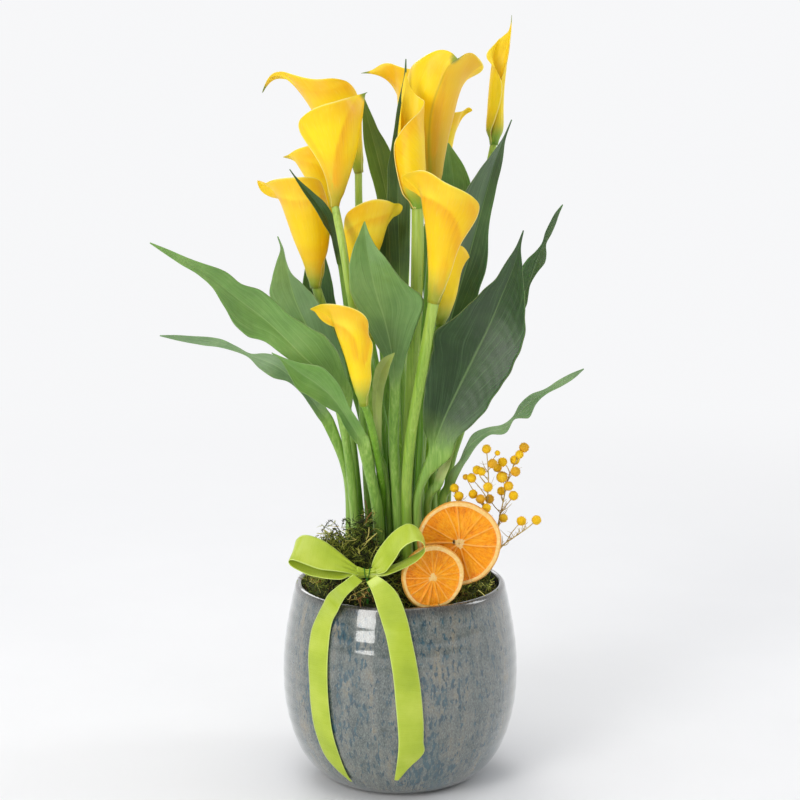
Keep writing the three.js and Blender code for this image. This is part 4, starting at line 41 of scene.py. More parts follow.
# ------------------------------------------------------------------ plant tables, the same as in the CAD part (mm)
# leaf rows: x, y, z, half width left, half width right, petiole half thickness, roll deg, fold deg
# flower: scape and spathe axis points, tube radii along the axis, rim as [axis fraction, radius, angle, rise before it curls down]
LEAVES = {
    "leaf_01": {"wave": [1.0, 2.2, 0.3], "rows": [
        [-31.0, -15.0, 136.0, 3.6, 3.6, 3.6, 0.0, 0.0],
        [-31.0, -15.0, 162.0, 3.6, 3.6, 3.6, 0.0, 0.0],
        [-36.19, -20.11, 235.13, 3.6, 3.6, 3.6, 0.0, 0.0],
        [-40.96, -31.4, 275.67, 3.6, 3.6, 3.6, 0.0, 0.0],
        [-37.95, -43.19, 303.25, 14.14, 3.64, 1.98, -0.0, 7.2],
        [-47.88, -47.97, 314.25, 14.27, 11.32, 1.01, -2.0, 12.0],
        [-58.5, -52.7, 324.3, 9.39, 19.37, 0.43, -4.0, 12.0],
        [-69.04, -56.39, 334.12, 8.49, 22.45, 0.0, -6.0, 12.0],
        [-78.68, -58.2, 344.58, 10.31, 18.2, 0.0, -6.0, 12.0],
        [-88.45, -59.28, 354.74, 12.19, 14.69, 0.0, -6.0, 12.0],
        [-98.56, -61.46, 364.56, 17.9, 14.69, 0.0, -6.0, 12.0],
        [-109.2, -66.87, 373.88, 17.17, 14.65, 0.0, -6.0, 12.0],
        [-119.6, -73.2, 383.39, 11.62, 10.2, 0.0, -6.0, 12.0],
        [-129.65, -80.12, 393.13, 5.82, 9.65, 0.0, -6.0, 12.0],
        [-140.13, -87.13, 402.08, 3.8, 5.75, 0.0, -6.0, 12.0],
        [-150.99, -94.14, 410.2, 3.82, 2.85, 0.0, -6.0, 10.8],
        [-162.2, -100.17, 417.5, 2.53, 1.59, 0.0, -6.0, 10.8],
        [-173.61, -105.6, 424.19, 0.45, 0.45, 0.0, -6.0, 10.8],
    ]},
    "leaf_02": {"wave": [0.8, 3.0, 0.9], "rows": [
        [-39.0, -8.0, 136.0, 3.1, 3.1, 3.1, 0.0, 0.0],
        [-39.0, -8.0, 162.0, 3.1, 3.1, 3.1, 0.0, 0.0],
        [-37.97, -10.54, 217.44, 3.1, 3.1, 3.1, 0.0, 0.0],
        [-42.19, -16.45, 248.07, 3.1, 3.1, 3.1, 0.0, 0.0],
        [-52.16, -26.47, 278.4, 4.42, 4.58, 1.71, -0.0, 10.8],
        [-58.34, -31.43, 289.15, 4.55, 5.2, 0.87, -4.0, 18.0],
        [-64.83, -36.26, 299.53, 4.06, 5.52, 0.37, -8.0, 18.0],
        [-71.95, -40.93, 309.27, 3.49, 6.2, 0.0, -12.0, 18.0],
        [-79.7, -44.47, 318.13, 4.82, 7.17, 0.0, -12.0, 18.0],
        [-88.46, -45.81, 325.47, 10.03, 7.68, 0.0, -12.0, 18.0],
        [-98.73, -43.04, 329.95, 8.01, 5.45, 0.0, -12.0, 18.0],
        [-109.75, -37.56, 332.52, 1.9, 1.74, 0.0, -12.0, 18.0],
        [-120.03, -31.11, 337.0, 3.38, 1.4, 0.0, -12.0, 18.0],
        [-131.6, -21.63, 338.71, 3.56, 3.12, 0.0, -12.0, 18.0],
        [-143.71, -10.62, 339.15, 4.65, 2.71, 0.0, -12.0, 18.0],
        [-156.17, 1.13, 338.75, 4.09, 1.81, 0.0, -12.0, 16.2],
        [-168.81, 12.42, 337.89, 2.59, 1.48, 0.0, -12.0, 16.2],
        [-181.61, 23.62, 336.87, 0.45, 0.45, 0.0, -12.0, 16.2],
    ]},
    "leaf_03": {"wave": [0.8, 2.0, 0.2], "rows": [
        [-14.0, -29.0, 136.0, 4.2, 4.2, 4.2, 0.0, 0.0],
        [-14.0, -29.0, 162.0, 4.2, 4.2, 4.2, 0.0, 0.0],
        [-16.73, -31.24, 213.32, 4.2, 4.2, 4.2, 0.0, 0.0],
        [-21.77, -37.93, 243.1, 4.2, 4.2, 4.2, 0.0, 0.0],
        [-26.75, -48.14, 268.27, 4.92, 5.68, 2.31, 0.0, 22.8],
        [-30.51, -52.14, 275.63, 5.65, 7.27, 1.18, 0.0, 38.0],
        [-34.26, -56.09, 282.93, 6.37, 7.72, 0.5, 0.0, 38.0],
        [-38.14, -59.6, 290.01, 6.04, 7.53, 0.0, 0.0, 38.0],
        [-42.04, -62.68, 296.94, 4.75, 7.4, 0.0, 0.0, 38.0],
        [-46.15, -65.45, 303.62, 8.16, 8.92, 0.0, 0.0, 38.0],
        [-50.84, -67.83, 309.72, 11.28, 11.52, 0.0, 0.0, 38.0],
        [-56.26, -69.59, 314.94, 12.8, 13.96, 0.0, 0.0, 38.0],
        [-62.02, -70.49, 319.59, 13.83, 15.42, 0.0, 0.0, 38.0],
        [-68.13, -70.37, 323.58, 13.48, 12.07, 0.0, 0.0, 38.0],
        [-74.09, -69.69, 327.71, 8.61, 7.69, 0.0, 0.0, 38.0],
        [-79.89, -68.46, 331.99, 4.41, 3.88, 0.0, 0.0, 34.2],
        [-85.96, -67.18, 335.89, 0.9, 1.79, 0.0, 0.0, 34.2],
        [-92.17, -65.84, 339.6, 0.45, 0.45, 0.0, 0.0, 34.2],
    ]},
    "leaf_04": {"wave": [1.0, 2.0, 1.2], "rows": [
        [-27.0, 4.0, 136.0, 3.2, 3.2, 3.2, 0.0, 0.0],
        [-27.0, 4.0, 162.0, 3.2, 3.2, 3.2, 0.0, 0.0],
        [-32.94, 4.39, 229.37, 3.2, 3.2, 3.2, 0.0, 0.0],
        [-37.31, 3.84, 268.19, 3.2, 3.2, 3.2, 0.0, 0.0],
        [-43.49, 0.0, 294.73, 8.65, 5.75, 1.76, 0.0, 8.4],
        [-47.26, -2.61, 304.61, 8.78, 9.62, 0.9, 2.67, 14.0],
        [-51.13, -5.2, 314.39, 13.17, 12.62, 0.38, 5.33, 14.0],
        [-55.58, -7.81, 323.82, 14.71, 15.11, 0.0, 8.0, 14.0],
        [-60.51, -10.29, 332.91, 15.52, 16.93, 0.0, 8.0, 14.0],
        [-65.14, -11.28, 341.89, 16.62, 18.15, 0.0, 8.0, 14.0],
        [-69.53, -10.81, 350.76, 17.93, 17.96, 0.0, 8.0, 14.0],
        [-73.75, -8.13, 359.39, 18.02, 16.54, 0.0, 8.0, 14.0],
        [-77.77, -2.35, 367.7, 17.73, 13.82, 0.0, 8.0, 14.0],
        [-80.96, 5.38, 376.1, 16.79, 8.67, 0.0, 8.0, 14.0],
        [-83.51, 14.47, 384.58, 12.12, 2.8, 0.0, 8.0, 14.0],
        [-85.86, 23.04, 393.25, 7.49, 0.69, 0.0, 8.0, 12.6],
        [-88.77, 32.44, 401.76, 1.61, 0.99, 0.0, 8.0, 12.6],
        [-92.74, 43.2, 409.89, 0.45, 0.45, 0.0, 8.0, 12.6],
    ]},
    "leaf_05": {"wave": [1.2, 1.6, 0.6], "rows": [
        [1.0, -20.0, 136.0, 4.0, 4.0, 4.0, 0.0, 0.0],
        [1.0, -20.0, 162.0, 4.0, 4.0, 4.0, 0.0, 0.0],
        [-2.61, -23.99, 228.39, 4.0, 4.0, 4.0, 0.0, 0.0],
        [-4.79, -34.36, 268.76, 4.0, 4.0, 4.0, 0.0, 0.0],
        [-3.49, -45.04, 306.27, 4.22, 3.8, 2.2, -0.0, 8.4],
        [-4.04, -48.4, 316.87, 3.71, 4.79, 1.12, -2.0, 14.0],
        [-4.92, -51.18, 327.28, 4.78, 8.04, 0.48, -4.0, 14.0],
        [-6.12, -53.39, 337.49, 7.27, 12.49, 0.0, -6.0, 14.0],
        [-7.81, -55.0, 347.47, 10.93, 18.2, 0.0, -6.0, 14.0],
        [-10.03, -55.94, 357.2, 13.12, 24.62, 0.0, -6.0, 14.0],
        [-12.6, -56.39, 366.72, 15.1, 31.98, 0.0, -6.0, 14.0],
        [-15.62, -56.17, 375.97, 17.03, 27.41, 0.0, -6.0, 14.0],
        [-18.2, -56.79, 385.46, 18.42, 21.75, 0.0, -6.0, 14.0],
        [-20.15, -58.67, 395.25, 18.11, 17.33, 0.0, -6.0, 14.0],
        [-21.93, -59.15, 404.84, 15.41, 12.23, 0.0, -6.0, 14.0],
        [-23.56, -58.15, 414.24, 11.02, 6.71, 0.0, -6.0, 12.6],
        [-24.7, -56.56, 423.63, 5.39, 2.99, 0.0, -6.0, 12.6],
        [-25.38, -54.4, 433.0, 0.45, 0.45, 0.0, -6.0, 12.6],
    ]},
    "leaf_06": {"wave": [0.9, 2.2, 0.0], "rows": [
        [-4.0, 19.0, 136.0, 2.9, 2.9, 2.9, 0.0, 0.0],
        [-4.0, 19.0, 162.0, 2.9, 2.9, 2.9, 0.0, 0.0],
        [-5.74, 21.65, 225.31, 2.9, 2.9, 2.9, 0.0, 0.0],
        [-5.72, 27.58, 286.52, 2.9, 2.9, 2.9, 0.0, 0.0],
        [-6.45, 31.88, 347.56, 2.9, 2.9, 2.9, 0.0, 0.0],
        [-6.03, 30.4, 395.8, 4.03, 4.06, 1.59, 0.0, 6.0],
        [-6.42, 29.78, 405.54, 5.59, 4.3, 0.81, 0.0, 10.0],
        [-6.82, 29.16, 415.26, 7.09, 4.51, 0.35, 0.0, 10.0],
        [-7.53, 28.75, 424.9, 8.14, 4.87, 0.0, 0.0, 10.0],
        [-8.77, 28.81, 434.41, 8.0, 5.18, 0.0, 0.0, 10.0],
        [-10.42, 28.82, 443.84, 7.46, 6.99, 0.0, 0.0, 10.0],
        [-12.33, 28.28, 453.26, 7.82, 9.34, 0.0, 0.0, 10.0],
        [-14.49, 27.49, 462.62, 8.62, 10.53, 0.0, 0.0, 10.0],
        [-16.74, 26.77, 471.92, 8.21, 10.6, 0.0, 0.0, 10.0],
        [-19.11, 26.03, 481.17, 7.84, 8.76, 0.0, 0.0, 10.0],
        [-21.49, 24.72, 490.42, 6.33, 5.82, 0.0, 0.0, 10.0],
        [-23.86, 22.91, 499.69, 4.25, 4.48, 0.0, 0.0, 9.0],
        [-25.93, 21.08, 508.98, 2.02, 2.42, 0.0, 0.0, 9.0],
        [-27.82, 19.2, 518.28, 0.45, 0.45, 0.0, 0.0, 9.0],
    ]},
    "leaf_07": {"wave": [0.5, 2.0, 0.0], "rows": [
        [-22.0, 1.0, 136.0, 2.7, 2.7, 2.7, 0.0, 0.0],
        [-22.0, 1.0, 162.0, 2.7, 2.7, 2.7, 0.0, 0.0],
        [-25.32, 1.1, 230.14, 2.7, 2.7, 2.7, 0.0, 0.0],
        [-29.02, 8.36, 290.34, 2.7, 2.7, 2.7, 0.0, 0.0],
        [-37.21, 14.27, 342.82, 2.7, 2.7, 2.7, 0.0, 0.0],
        [-44.99, 14.4, 387.2, 0.82, 5.15, 1.49, -0.0, 15.0],
        [-46.5, 11.73, 394.11, 0.87, 5.48, 0.76, -6.67, 25.0],
        [-47.96, 8.33, 401.1, 0.72, 5.65, 0.32, -13.33, 25.0],
        [-49.17, 1.13, 408.57, 0.72, 5.75, 0.0, -20.0, 25.0],
        [-50.19, -9.01, 416.37, 0.81, 5.52, 0.0, -20.0, 25.0],
        [-51.53, -18.45, 423.92, 2.68, 5.36, 0.0, -20.0, 25.0],
        [-53.33, -26.61, 431.11, 4.8, 5.45, 0.0, -20.0, 25.0],
        [-56.11, -31.88, 437.5, 5.32, 5.22, 0.0, -20.0, 25.0],
        [-59.63, -34.6, 443.16, 4.99, 4.81, 0.0, -20.0, 25.0],
        [-63.41, -36.62, 448.55, 4.58, 3.28, 0.0, -20.0, 25.0],
        [-67.41, -38.66, 453.73, 3.83, 2.14, 0.0, -20.0, 25.0],
        [-71.54, -40.09, 458.74, 2.28, 1.21, 0.0, -20.0, 22.5],
        [-75.43, -40.94, 463.88, 1.11, 0.45, 0.0, -20.0, 22.5],
        [-79.27, -41.6, 469.03, 0.45, 0.45, 0.0, -20.0, 22.5],
    ]},
    "leaf_08": {"wave": [0.6, 2.0, 0.5], "rows": [
        [7.0, 6.0, 136.0, 2.9, 2.9, 2.9, 0.0, 0.0],
        [7.0, 6.0, 162.0, 2.9, 2.9, 2.9, 0.0, 0.0],
        [5.69, 6.57, 228.86, 2.9, 2.9, 2.9, 0.0, 0.0],
        [2.64, 6.97, 290.61, 2.9, 2.9, 2.9, 0.0, 0.0],
        [0.37, 6.39, 351.72, 2.9, 2.9, 2.9, 0.0, 0.0],
        [-0.11, 5.6, 366.95, 5.11, 5.66, 1.59, 0.0, 9.0],
        [-0.29, 5.27, 380.98, 6.04, 6.78, 0.81, 2.0, 15.0],
        [-0.48, 4.96, 394.96, 6.87, 7.79, 0.35, 4.0, 15.0],
        [-0.73, 4.76, 408.88, 7.54, 8.62, 0.0, 6.0, 15.0],
        [-1.11, 4.76, 422.72, 7.84, 9.01, 0.0, 6.0, 15.0],
        [-1.43, 4.8, 436.51, 8.22, 9.32, 0.0, 6.0, 15.0],
        [-1.54, 4.8, 450.27, 8.09, 9.29, 0.0, 6.0, 15.0],
        [-1.45, 4.8, 463.98, 7.96, 9.07, 0.0, 6.0, 15.0],
        [-1.05, 4.8, 477.65, 5.96, 8.22, 0.0, 6.0, 15.0],
        [-0.21, 4.8, 491.25, 4.57, 6.9, 0.0, 6.0, 15.0],
        [1.15, 4.8, 504.77, 4.1, 5.13, 0.0, 6.0, 15.0],
        [2.54, 4.8, 518.25, 2.88, 3.23, 0.0, 6.0, 13.5],
        [3.78, 4.8, 531.69, 1.12, 1.25, 0.0, 6.0, 13.5],
        [4.33, 4.8, 545.14, 0.45, 0.45, 0.0, 6.0, 13.5],
    ]},
    "leaf_09": {"wave": [1.4, 1.8, 0.4], "rows": [
        [26.0, 1.0, 136.0, 3.4, 3.4, 3.4, 0.0, 0.0],
        [26.0, 1.0, 162.0, 3.4, 3.4, 3.4, 0.0, 0.0],
        [24.61, 4.39, 229.37, 3.4, 3.4, 3.4, 0.0, 0.0],
        [26.82, 9.06, 270.94, 3.4, 3.4, 3.4, 0.0, 0.0],
        [29.01, 12.98, 300.41, 5.6, 8.54, 1.87, -0.0, 9.6],
        [31.5, 15.81, 316.01, 9.84, 8.76, 0.95, -4.0, 16.0],
        [34.25, 18.63, 331.57, 13.92, 11.92, 0.41, -8.0, 16.0],
        [37.79, 21.33, 346.97, 15.4, 14.01, 0.0, -12.0, 16.0],
        [41.88, 24.17, 362.22, 16.17, 15.31, 0.0, -12.0, 16.0],
        [46.48, 27.22, 377.29, 16.29, 15.13, 0.0, -12.0, 16.0],
        [51.12, 30.94, 392.26, 16.97, 15.18, 0.0, -12.0, 16.0],
        [55.41, 35.75, 407.21, 18.02, 11.93, 0.0, -12.0, 16.0],
        [59.7, 41.19, 422.14, 18.39, 8.3, 0.0, -12.0, 16.0],
        [64.12, 47.29, 437.0, 17.52, 6.79, 0.0, -12.0, 16.0],
        [68.48, 53.86, 451.9, 12.51, 6.02, 0.0, -12.0, 16.0],
        [73.17, 61.14, 466.71, 5.85, 5.09, 0.0, -12.0, 14.4],
        [78.97, 69.59, 481.16, 1.21, 1.75, 0.0, -12.0, 14.4],
        [85.53, 78.4, 495.4, 0.45, 0.45, 0.0, -12.0, 14.4],
    ]},
    "leaf_10": {"wave": [0.7, 2.0, 0.2], "rows": [
        [17.0, 17.0, 136.0, 2.9, 2.9, 2.9, 0.0, 0.0],
        [17.0, 17.0, 162.0, 2.9, 2.9, 2.9, 0.0, 0.0],
        [15.67, 20.58, 225.56, 2.9, 2.9, 2.9, 0.0, 0.0],
        [19.44, 27.58, 286.52, 2.9, 2.9, 2.9, 0.0, 0.0],
        [24.7, 33.22, 339.64, 2.9, 2.9, 2.9, 0.0, 0.0],
        [28.47, 39.93, 350.65, 10.54, 8.27, 1.59, 0.0, 7.2],
        [29.74, 41.56, 360.58, 12.29, 8.38, 0.81, 0.0, 12.0],
        [31.01, 43.14, 370.52, 13.9, 9.12, 0.35, 0.0, 12.0],
        [32.29, 44.83, 380.43, 15.53, 9.84, 0.0, 0.0, 12.0],
        [33.65, 46.9, 390.28, 16.98, 10.52, 0.0, 0.0, 12.0],
        [35.1, 49.58, 400.04, 18.17, 11.49, 0.0, 0.0, 12.0],
        [36.66, 52.76, 409.72, 19.49, 12.35, 0.0, 0.0, 12.0],
        [38.47, 56.19, 419.36, 19.92, 12.76, 0.0, 0.0, 12.0],
        [40.68, 60.11, 428.87, 20.49, 12.2, 0.0, 0.0, 12.0],
        [41.78, 63.23, 438.66, 19.69, 12.48, 0.0, 0.0, 12.0],
        [40.99, 64.95, 448.64, 16.57, 12.94, 0.0, 0.0, 12.0],
        [39.72, 66.01, 458.64, 11.85, 10.16, 0.0, 0.0, 10.8],
        [38.22, 66.64, 468.64, 5.46, 5.57, 0.0, 0.0, 10.8],
        [36.67, 67.2, 478.62, 0.45, 0.45, 0.0, 0.0, 10.8],
    ]},
    "leaf_11": {"wave": [1.6, 1.5, 0.9], "rows": [
        [15.0, -27.0, 136.0, 3.7, 3.7, 3.7, 0.0, 0.0],
        [15.0, -27.0, 162.0, 3.7, 3.7, 3.7, 0.0, 0.0],
        [12.28, -29.36, 215.92, 3.7, 3.7, 3.7, 0.0, 0.0],
        [17.43, -30.59, 239.11, 3.7, 3.7, 3.7, 0.0, 0.0],
        [23.93, -30.73, 259.86, 3.06, 14.4, 2.04, 0.0, 6.6],
        [28.47, -29.52, 272.71, 11.89, 14.56, 1.04, 2.0, 11.0],
        [33.41, -27.81, 285.27, 18.16, 20.89, 0.44, 4.0, 11.0],
        [39.18, -25.02, 297.25, 22.87, 25.42, 0.0, 6.0, 11.0],
        [45.15, -22.2, 309.14, 26.99, 27.42, 0.0, 6.0, 11.0],
        [51.21, -19.48, 321.01, 30.23, 29.07, 0.0, 6.0, 11.0],
        [57.21, -17.45, 333.03, 33.98, 30.26, 0.0, 6.0, 11.0],
        [63.15, -16.02, 345.16, 26.7, 29.99, 0.0, 6.0, 11.0],
        [68.59, -16.52, 357.78, 20.9, 27.6, 0.0, 6.0, 11.0],
        [73.44, -19.24, 370.91, 15.41, 22.6, 0.0, 6.0, 11.0],
        [78.36, -23.65, 384.13, 8.91, 16.05, 0.0, 6.0, 11.0],
        [83.02, -29.83, 397.55, 6.92, 7.66, 0.0, 6.0, 9.9],
        [86.22, -36.39, 411.37, 2.69, 1.59, 0.0, 6.0, 9.9],
        [88.92, -43.2, 425.2, 0.45, 0.45, 0.0, 6.0, 9.9],
    ]},
    "leaf_12": {"wave": [0.8, 2.5, 0.8], "rows": [
        [36.0, 10.0, 136.0, 2.9, 2.9, 2.9, 0.0, 0.0],
        [36.0, 10.0, 162.0, 2.9, 2.9, 2.9, 0.0, 0.0],
        [36.89, 11.99, 227.58, 2.9, 2.9, 2.9, 0.0, 0.0],
        [46.69, 16.48, 265.5, 2.9, 2.9, 2.9, 0.0, 0.0],
        [60.24, 20.31, 301.87, 2.9, 2.9, 2.9, 0.0, 0.0],
        [77.87, 28.43, 338.8, 4.31, 4.96, 1.59, 0.0, 12.0],
        [82.03, 31.67, 345.52, 4.72, 5.16, 0.81, 4.0, 20.0],
        [86.21, 34.91, 352.26, 5.0, 5.99, 0.35, 8.0, 20.0],
        [90.29, 38.35, 359.05, 5.44, 7.01, 0.0, 12.0, 20.0],
        [94.26, 42.12, 365.88, 6.21, 4.31, 0.0, 12.0, 20.0],
        [98.02, 46.25, 372.79, 7.08, 1.8, 0.0, 12.0, 20.0],
        [101.23, 50.86, 379.91, 9.86, 3.31, 0.0, 12.0, 20.0],
        [103.84, 56.03, 387.21, 7.48, 7.5, 0.0, 12.0, 20.0],
        [106.97, 61.36, 394.36, 3.51, 6.27, 0.0, 12.0, 20.0],
        [110.39, 66.84, 401.42, 1.34, 2.53, 0.0, 12.0, 20.0],
        [113.57, 72.19, 408.62, 1.87, 3.72, 0.0, 12.0, 20.0],
        [117.23, 77.74, 415.64, 1.66, 3.49, 0.0, 12.0, 18.0],
        [121.7, 83.64, 422.27, 1.87, 1.8, 0.0, 12.0, 18.0],
        [126.35, 89.6, 428.85, 0.45, 0.45, 0.0, 12.0, 18.0],
    ]},
    "leaf_13": {"wave": [0.9, 3.2, 0.2], "rows": [
        [30.0, -9.0, 136.0, 3.3, 3.3, 3.3, 0.0, 0.0],
        [30.0, -9.0, 162.0, 3.3, 3.3, 3.3, 0.0, 0.0],
        [31.96, -10.47, 215.1, 3.3, 3.3, 3.3, 0.0, 0.0],
        [36.05, -13.07, 227.7, 3.5, 3.77, 1.81, 0.0, 8.4],
        [39.93, -15.85, 238.63, 3.4, 4.13, 0.92, 4.0, 14.0],
        [44.46, -19.04, 249.3, 0.58, 4.64, 0.4, 8.0, 14.0],
        [49.73, -22.67, 259.56, 1.88, 5.65, 0.0, 12.0, 14.0],
        [57.16, -27.19, 268.15, 4.86, 4.12, 0.0, 12.0, 14.0],
        [66.12, -32.33, 274.65, 3.36, 2.74, 0.0, 12.0, 14.0],
        [76.16, -37.91, 278.34, 3.01, 4.36, 0.0, 12.0, 14.0],
        [83.62, -44.4, 286.78, 2.02, 0.58, 0.0, 12.0, 14.0],
        [89.93, -51.17, 296.37, 3.83, 8.9, 0.0, 12.0, 14.0],
        [97.32, -58.12, 304.75, 3.82, 4.32, 0.0, 12.0, 14.0],
        [105.53, -65.19, 311.91, 1.61, 2.57, 0.0, 12.0, 14.0],
        [114.09, -72.74, 318.31, 2.58, 2.73, 0.0, 12.0, 12.6],
        [122.39, -79.7, 324.92, 2.24, 2.57, 0.0, 12.0, 12.6],
        [130.5, -86.3, 331.65, 0.45, 0.45, 0.0, 12.0, 12.6],
    ]},
    "leaf_14": {"wave": [0.3, 1.5, 0.0], "rows": [
        [23.0, -17.0, 136.0, 2.9, 2.9, 2.9, 0.0, 0.0],
        [23.0, -17.0, 162.0, 2.9, 2.9, 2.9, 0.0, 0.0],
        [20.57, -19.93, 215.89, 2.9, 2.9, 2.9, 0.0, 0.0],
        [27.85, -22.14, 232.6, 3.53, 4.04, 1.59, 0.0, 12.0],
        [29.4, -22.5, 236.47, 3.75, 4.03, 0.81, 0.0, 20.0],
        [30.96, -22.88, 240.33, 3.85, 3.85, 0.35, 0.0, 20.0],
        [32.49, -23.22, 244.2, 3.92, 3.71, 0.0, 0.0, 20.0],
        [33.95, -23.47, 248.07, 3.91, 3.62, 0.0, 0.0, 20.0],
        [35.3, -23.58, 251.94, 3.71, 3.29, 0.0, 0.0, 20.0],
        [36.58, -23.59, 255.82, 3.42, 3.05, 0.0, 0.0, 20.0],
        [37.79, -23.55, 259.7, 3.06, 2.88, 0.0, 0.0, 20.0],
        [38.96, -23.53, 263.6, 2.72, 2.53, 0.0, 0.0, 20.0],
        [40.06, -23.51, 267.51, 2.39, 2.17, 0.0, 0.0, 20.0],
        [41.12, -23.46, 271.43, 2.02, 1.85, 0.0, 0.0, 20.0],
        [42.2, -23.35, 275.33, 1.57, 1.29, 0.0, 0.0, 18.0],
        [43.28, -23.14, 279.2, 0.78, 0.64, 0.0, 0.0, 18.0],
        [44.36, -22.91, 283.06, 0.45, 0.45, 0.0, 0.0, 18.0],
    ]},
    "leaf_15": {"wave": [0.8, 2.0, 0.6], "rows": [
        [-10.0, 6.0, 136.0, 2.7, 2.7, 2.7, 0.0, 0.0],
        [-10.0, 6.0, 162.0, 2.7, 2.7, 2.7, 0.0, 0.0],
        [-7.97, 7.66, 228.6, 2.7, 2.7, 2.7, 0.0, 0.0],
        [-10.17, 8.36, 290.34, 2.7, 2.7, 2.7, 0.0, 0.0],
        [-12.19, 14.24, 341.19, 4.65, 4.9, 1.49, 0.0, 10.8],
        [-12.07, 14.71, 348.55, 6.32, 6.45, 0.76, 1.67, 18.0],
        [-11.95, 15.2, 355.9, 7.84, 7.87, 0.32, 3.33, 18.0],
        [-11.82, 15.66, 363.25, 9.4, 9.28, 0.0, 5.0, 18.0],
        [-11.63, 15.99, 370.61, 10.97, 10.6, 0.0, 5.0, 18.0],
        [-11.36, 16.13, 377.98, 11.25, 10.74, 0.0, 5.0, 18.0],
        [-11.01, 16.09, 385.37, 11.59, 10.71, 0.0, 5.0, 18.0],
        [-10.64, 16.01, 392.74, 11.97, 10.66, 0.0, 5.0, 18.0],
        [-10.3, 16.0, 400.1, 11.34, 10.12, 0.0, 5.0, 18.0],
        [-9.98, 16.0, 407.44, 10.38, 9.27, 0.0, 5.0, 18.0],
        [-9.57, 16.0, 414.77, 9.51, 8.35, 0.0, 5.0, 18.0],
        [-8.93, 16.0, 422.06, 7.18, 6.57, 0.0, 5.0, 16.2],
        [-8.12, 16.0, 429.33, 3.56, 3.31, 0.0, 5.0, 16.2],
        [-7.29, 16.0, 436.59, 0.45, 0.45, 0.0, 5.0, 16.2],
    ]},
    "leaf_16": {"wave": [0.3, 2.0, 0.0], "rows": [
        [-7.0, -15.0, 136.0, 2.3, 2.3, 2.3, 0.0, 0.0],
        [-7.0, -15.0, 162.0, 2.3, 2.3, 2.3, 0.0, 0.0],
        [-10.43, -22.39, 235.66, 2.3, 2.3, 2.3, 0.0, 0.0],
        [-15.71, -29.21, 257.36, 3.38, 2.25, 1.26, -0.0, 21.0],
        [-16.15, -31.85, 264.09, 3.5, 2.92, 0.64, -3.33, 35.0],
        [-16.6, -34.46, 270.79, 3.19, 3.33, 0.28, -6.67, 35.0],
        [-16.99, -37.17, 277.49, 2.96, 3.7, 0.0, -10.0, 35.0],
        [-17.29, -40.11, 284.21, 2.96, 4.13, 0.0, -10.0, 35.0],
        [-17.55, -43.26, 290.95, 3.18, 4.69, 0.0, -10.0, 35.0],
        [-17.65, -46.61, 297.7, 3.62, 5.04, 0.0, -10.0, 35.0],
        [-17.37, -50.13, 304.44, 3.79, 5.36, 0.0, -10.0, 35.0],
        [-16.73, -53.93, 311.19, 4.32, 5.87, 0.0, -10.0, 35.0],
        [-15.68, -57.76, 317.84, 5.4, 5.91, 0.0, -10.0, 35.0],
        [-13.99, -61.21, 324.23, 5.9, 6.19, 0.0, -10.0, 35.0],
        [-11.38, -64.32, 330.16, 6.09, 5.2, 0.0, -10.0, 31.5],
        [-7.88, -67.5, 335.51, 4.59, 3.12, 0.0, -10.0, 31.5],
        [-3.94, -70.6, 340.45, 0.45, 0.45, 0.0, -10.0, 31.5],
    ]},
    "leaf_17": {"wave": [0.6, 2.0, 0.1], "rows": [
        [-19.0, 10.0, 136.0, 2.5, 2.5, 2.5, 0.0, 0.0],
        [-19.0, 10.0, 162.0, 2.5, 2.5, 2.5, 0.0, 0.0],
        [-22.45, 13.07, 227.33, 2.5, 2.5, 2.5, 0.0, 0.0],
        [-30.74, 18.85, 280.51, 2.5, 2.5, 2.5, 0.0, 0.0],
        [-42.67, 25.6, 314.55, 4.29, 4.36, 1.38, 0.0, 8.4],
        [-45.7, 27.49, 321.92, 5.49, 5.63, 0.7, 0.0, 14.0],
        [-48.75, 29.38, 329.28, 6.61, 6.83, 0.3, 0.0, 14.0],
        [-51.64, 31.21, 336.72, 7.94, 7.84, 0.0, 0.0, 14.0],
        [-54.22, 33.05, 344.28, 8.99, 8.77, 0.0, 0.0, 14.0],
        [-56.52, 34.86, 351.93, 10.37, 9.47, 0.0, 0.0, 14.0],
        [-58.49, 36.02, 359.77, 12.04, 9.92, 0.0, 0.0, 14.0],
        [-60.06, 36.12, 367.85, 12.4, 10.14, 0.0, 0.0, 14.0],
        [-61.31, 35.59, 376.06, 13.07, 10.07, 0.0, 0.0, 14.0],
        [-62.41, 35.01, 384.28, 10.65, 9.29, 0.0, 0.0, 14.0],
        [-63.3, 34.25, 392.53, 8.23, 8.2, 0.0, 0.0, 14.0],
        [-64.02, 33.6, 400.77, 5.0, 6.27, 0.0, 0.0, 12.6],
        [-64.55, 33.5, 408.93, 2.18, 3.28, 0.0, 0.0, 12.6],
        [-64.98, 33.6, 417.06, 0.45, 0.45, 0.0, 0.0, 12.6],
    ]},
}
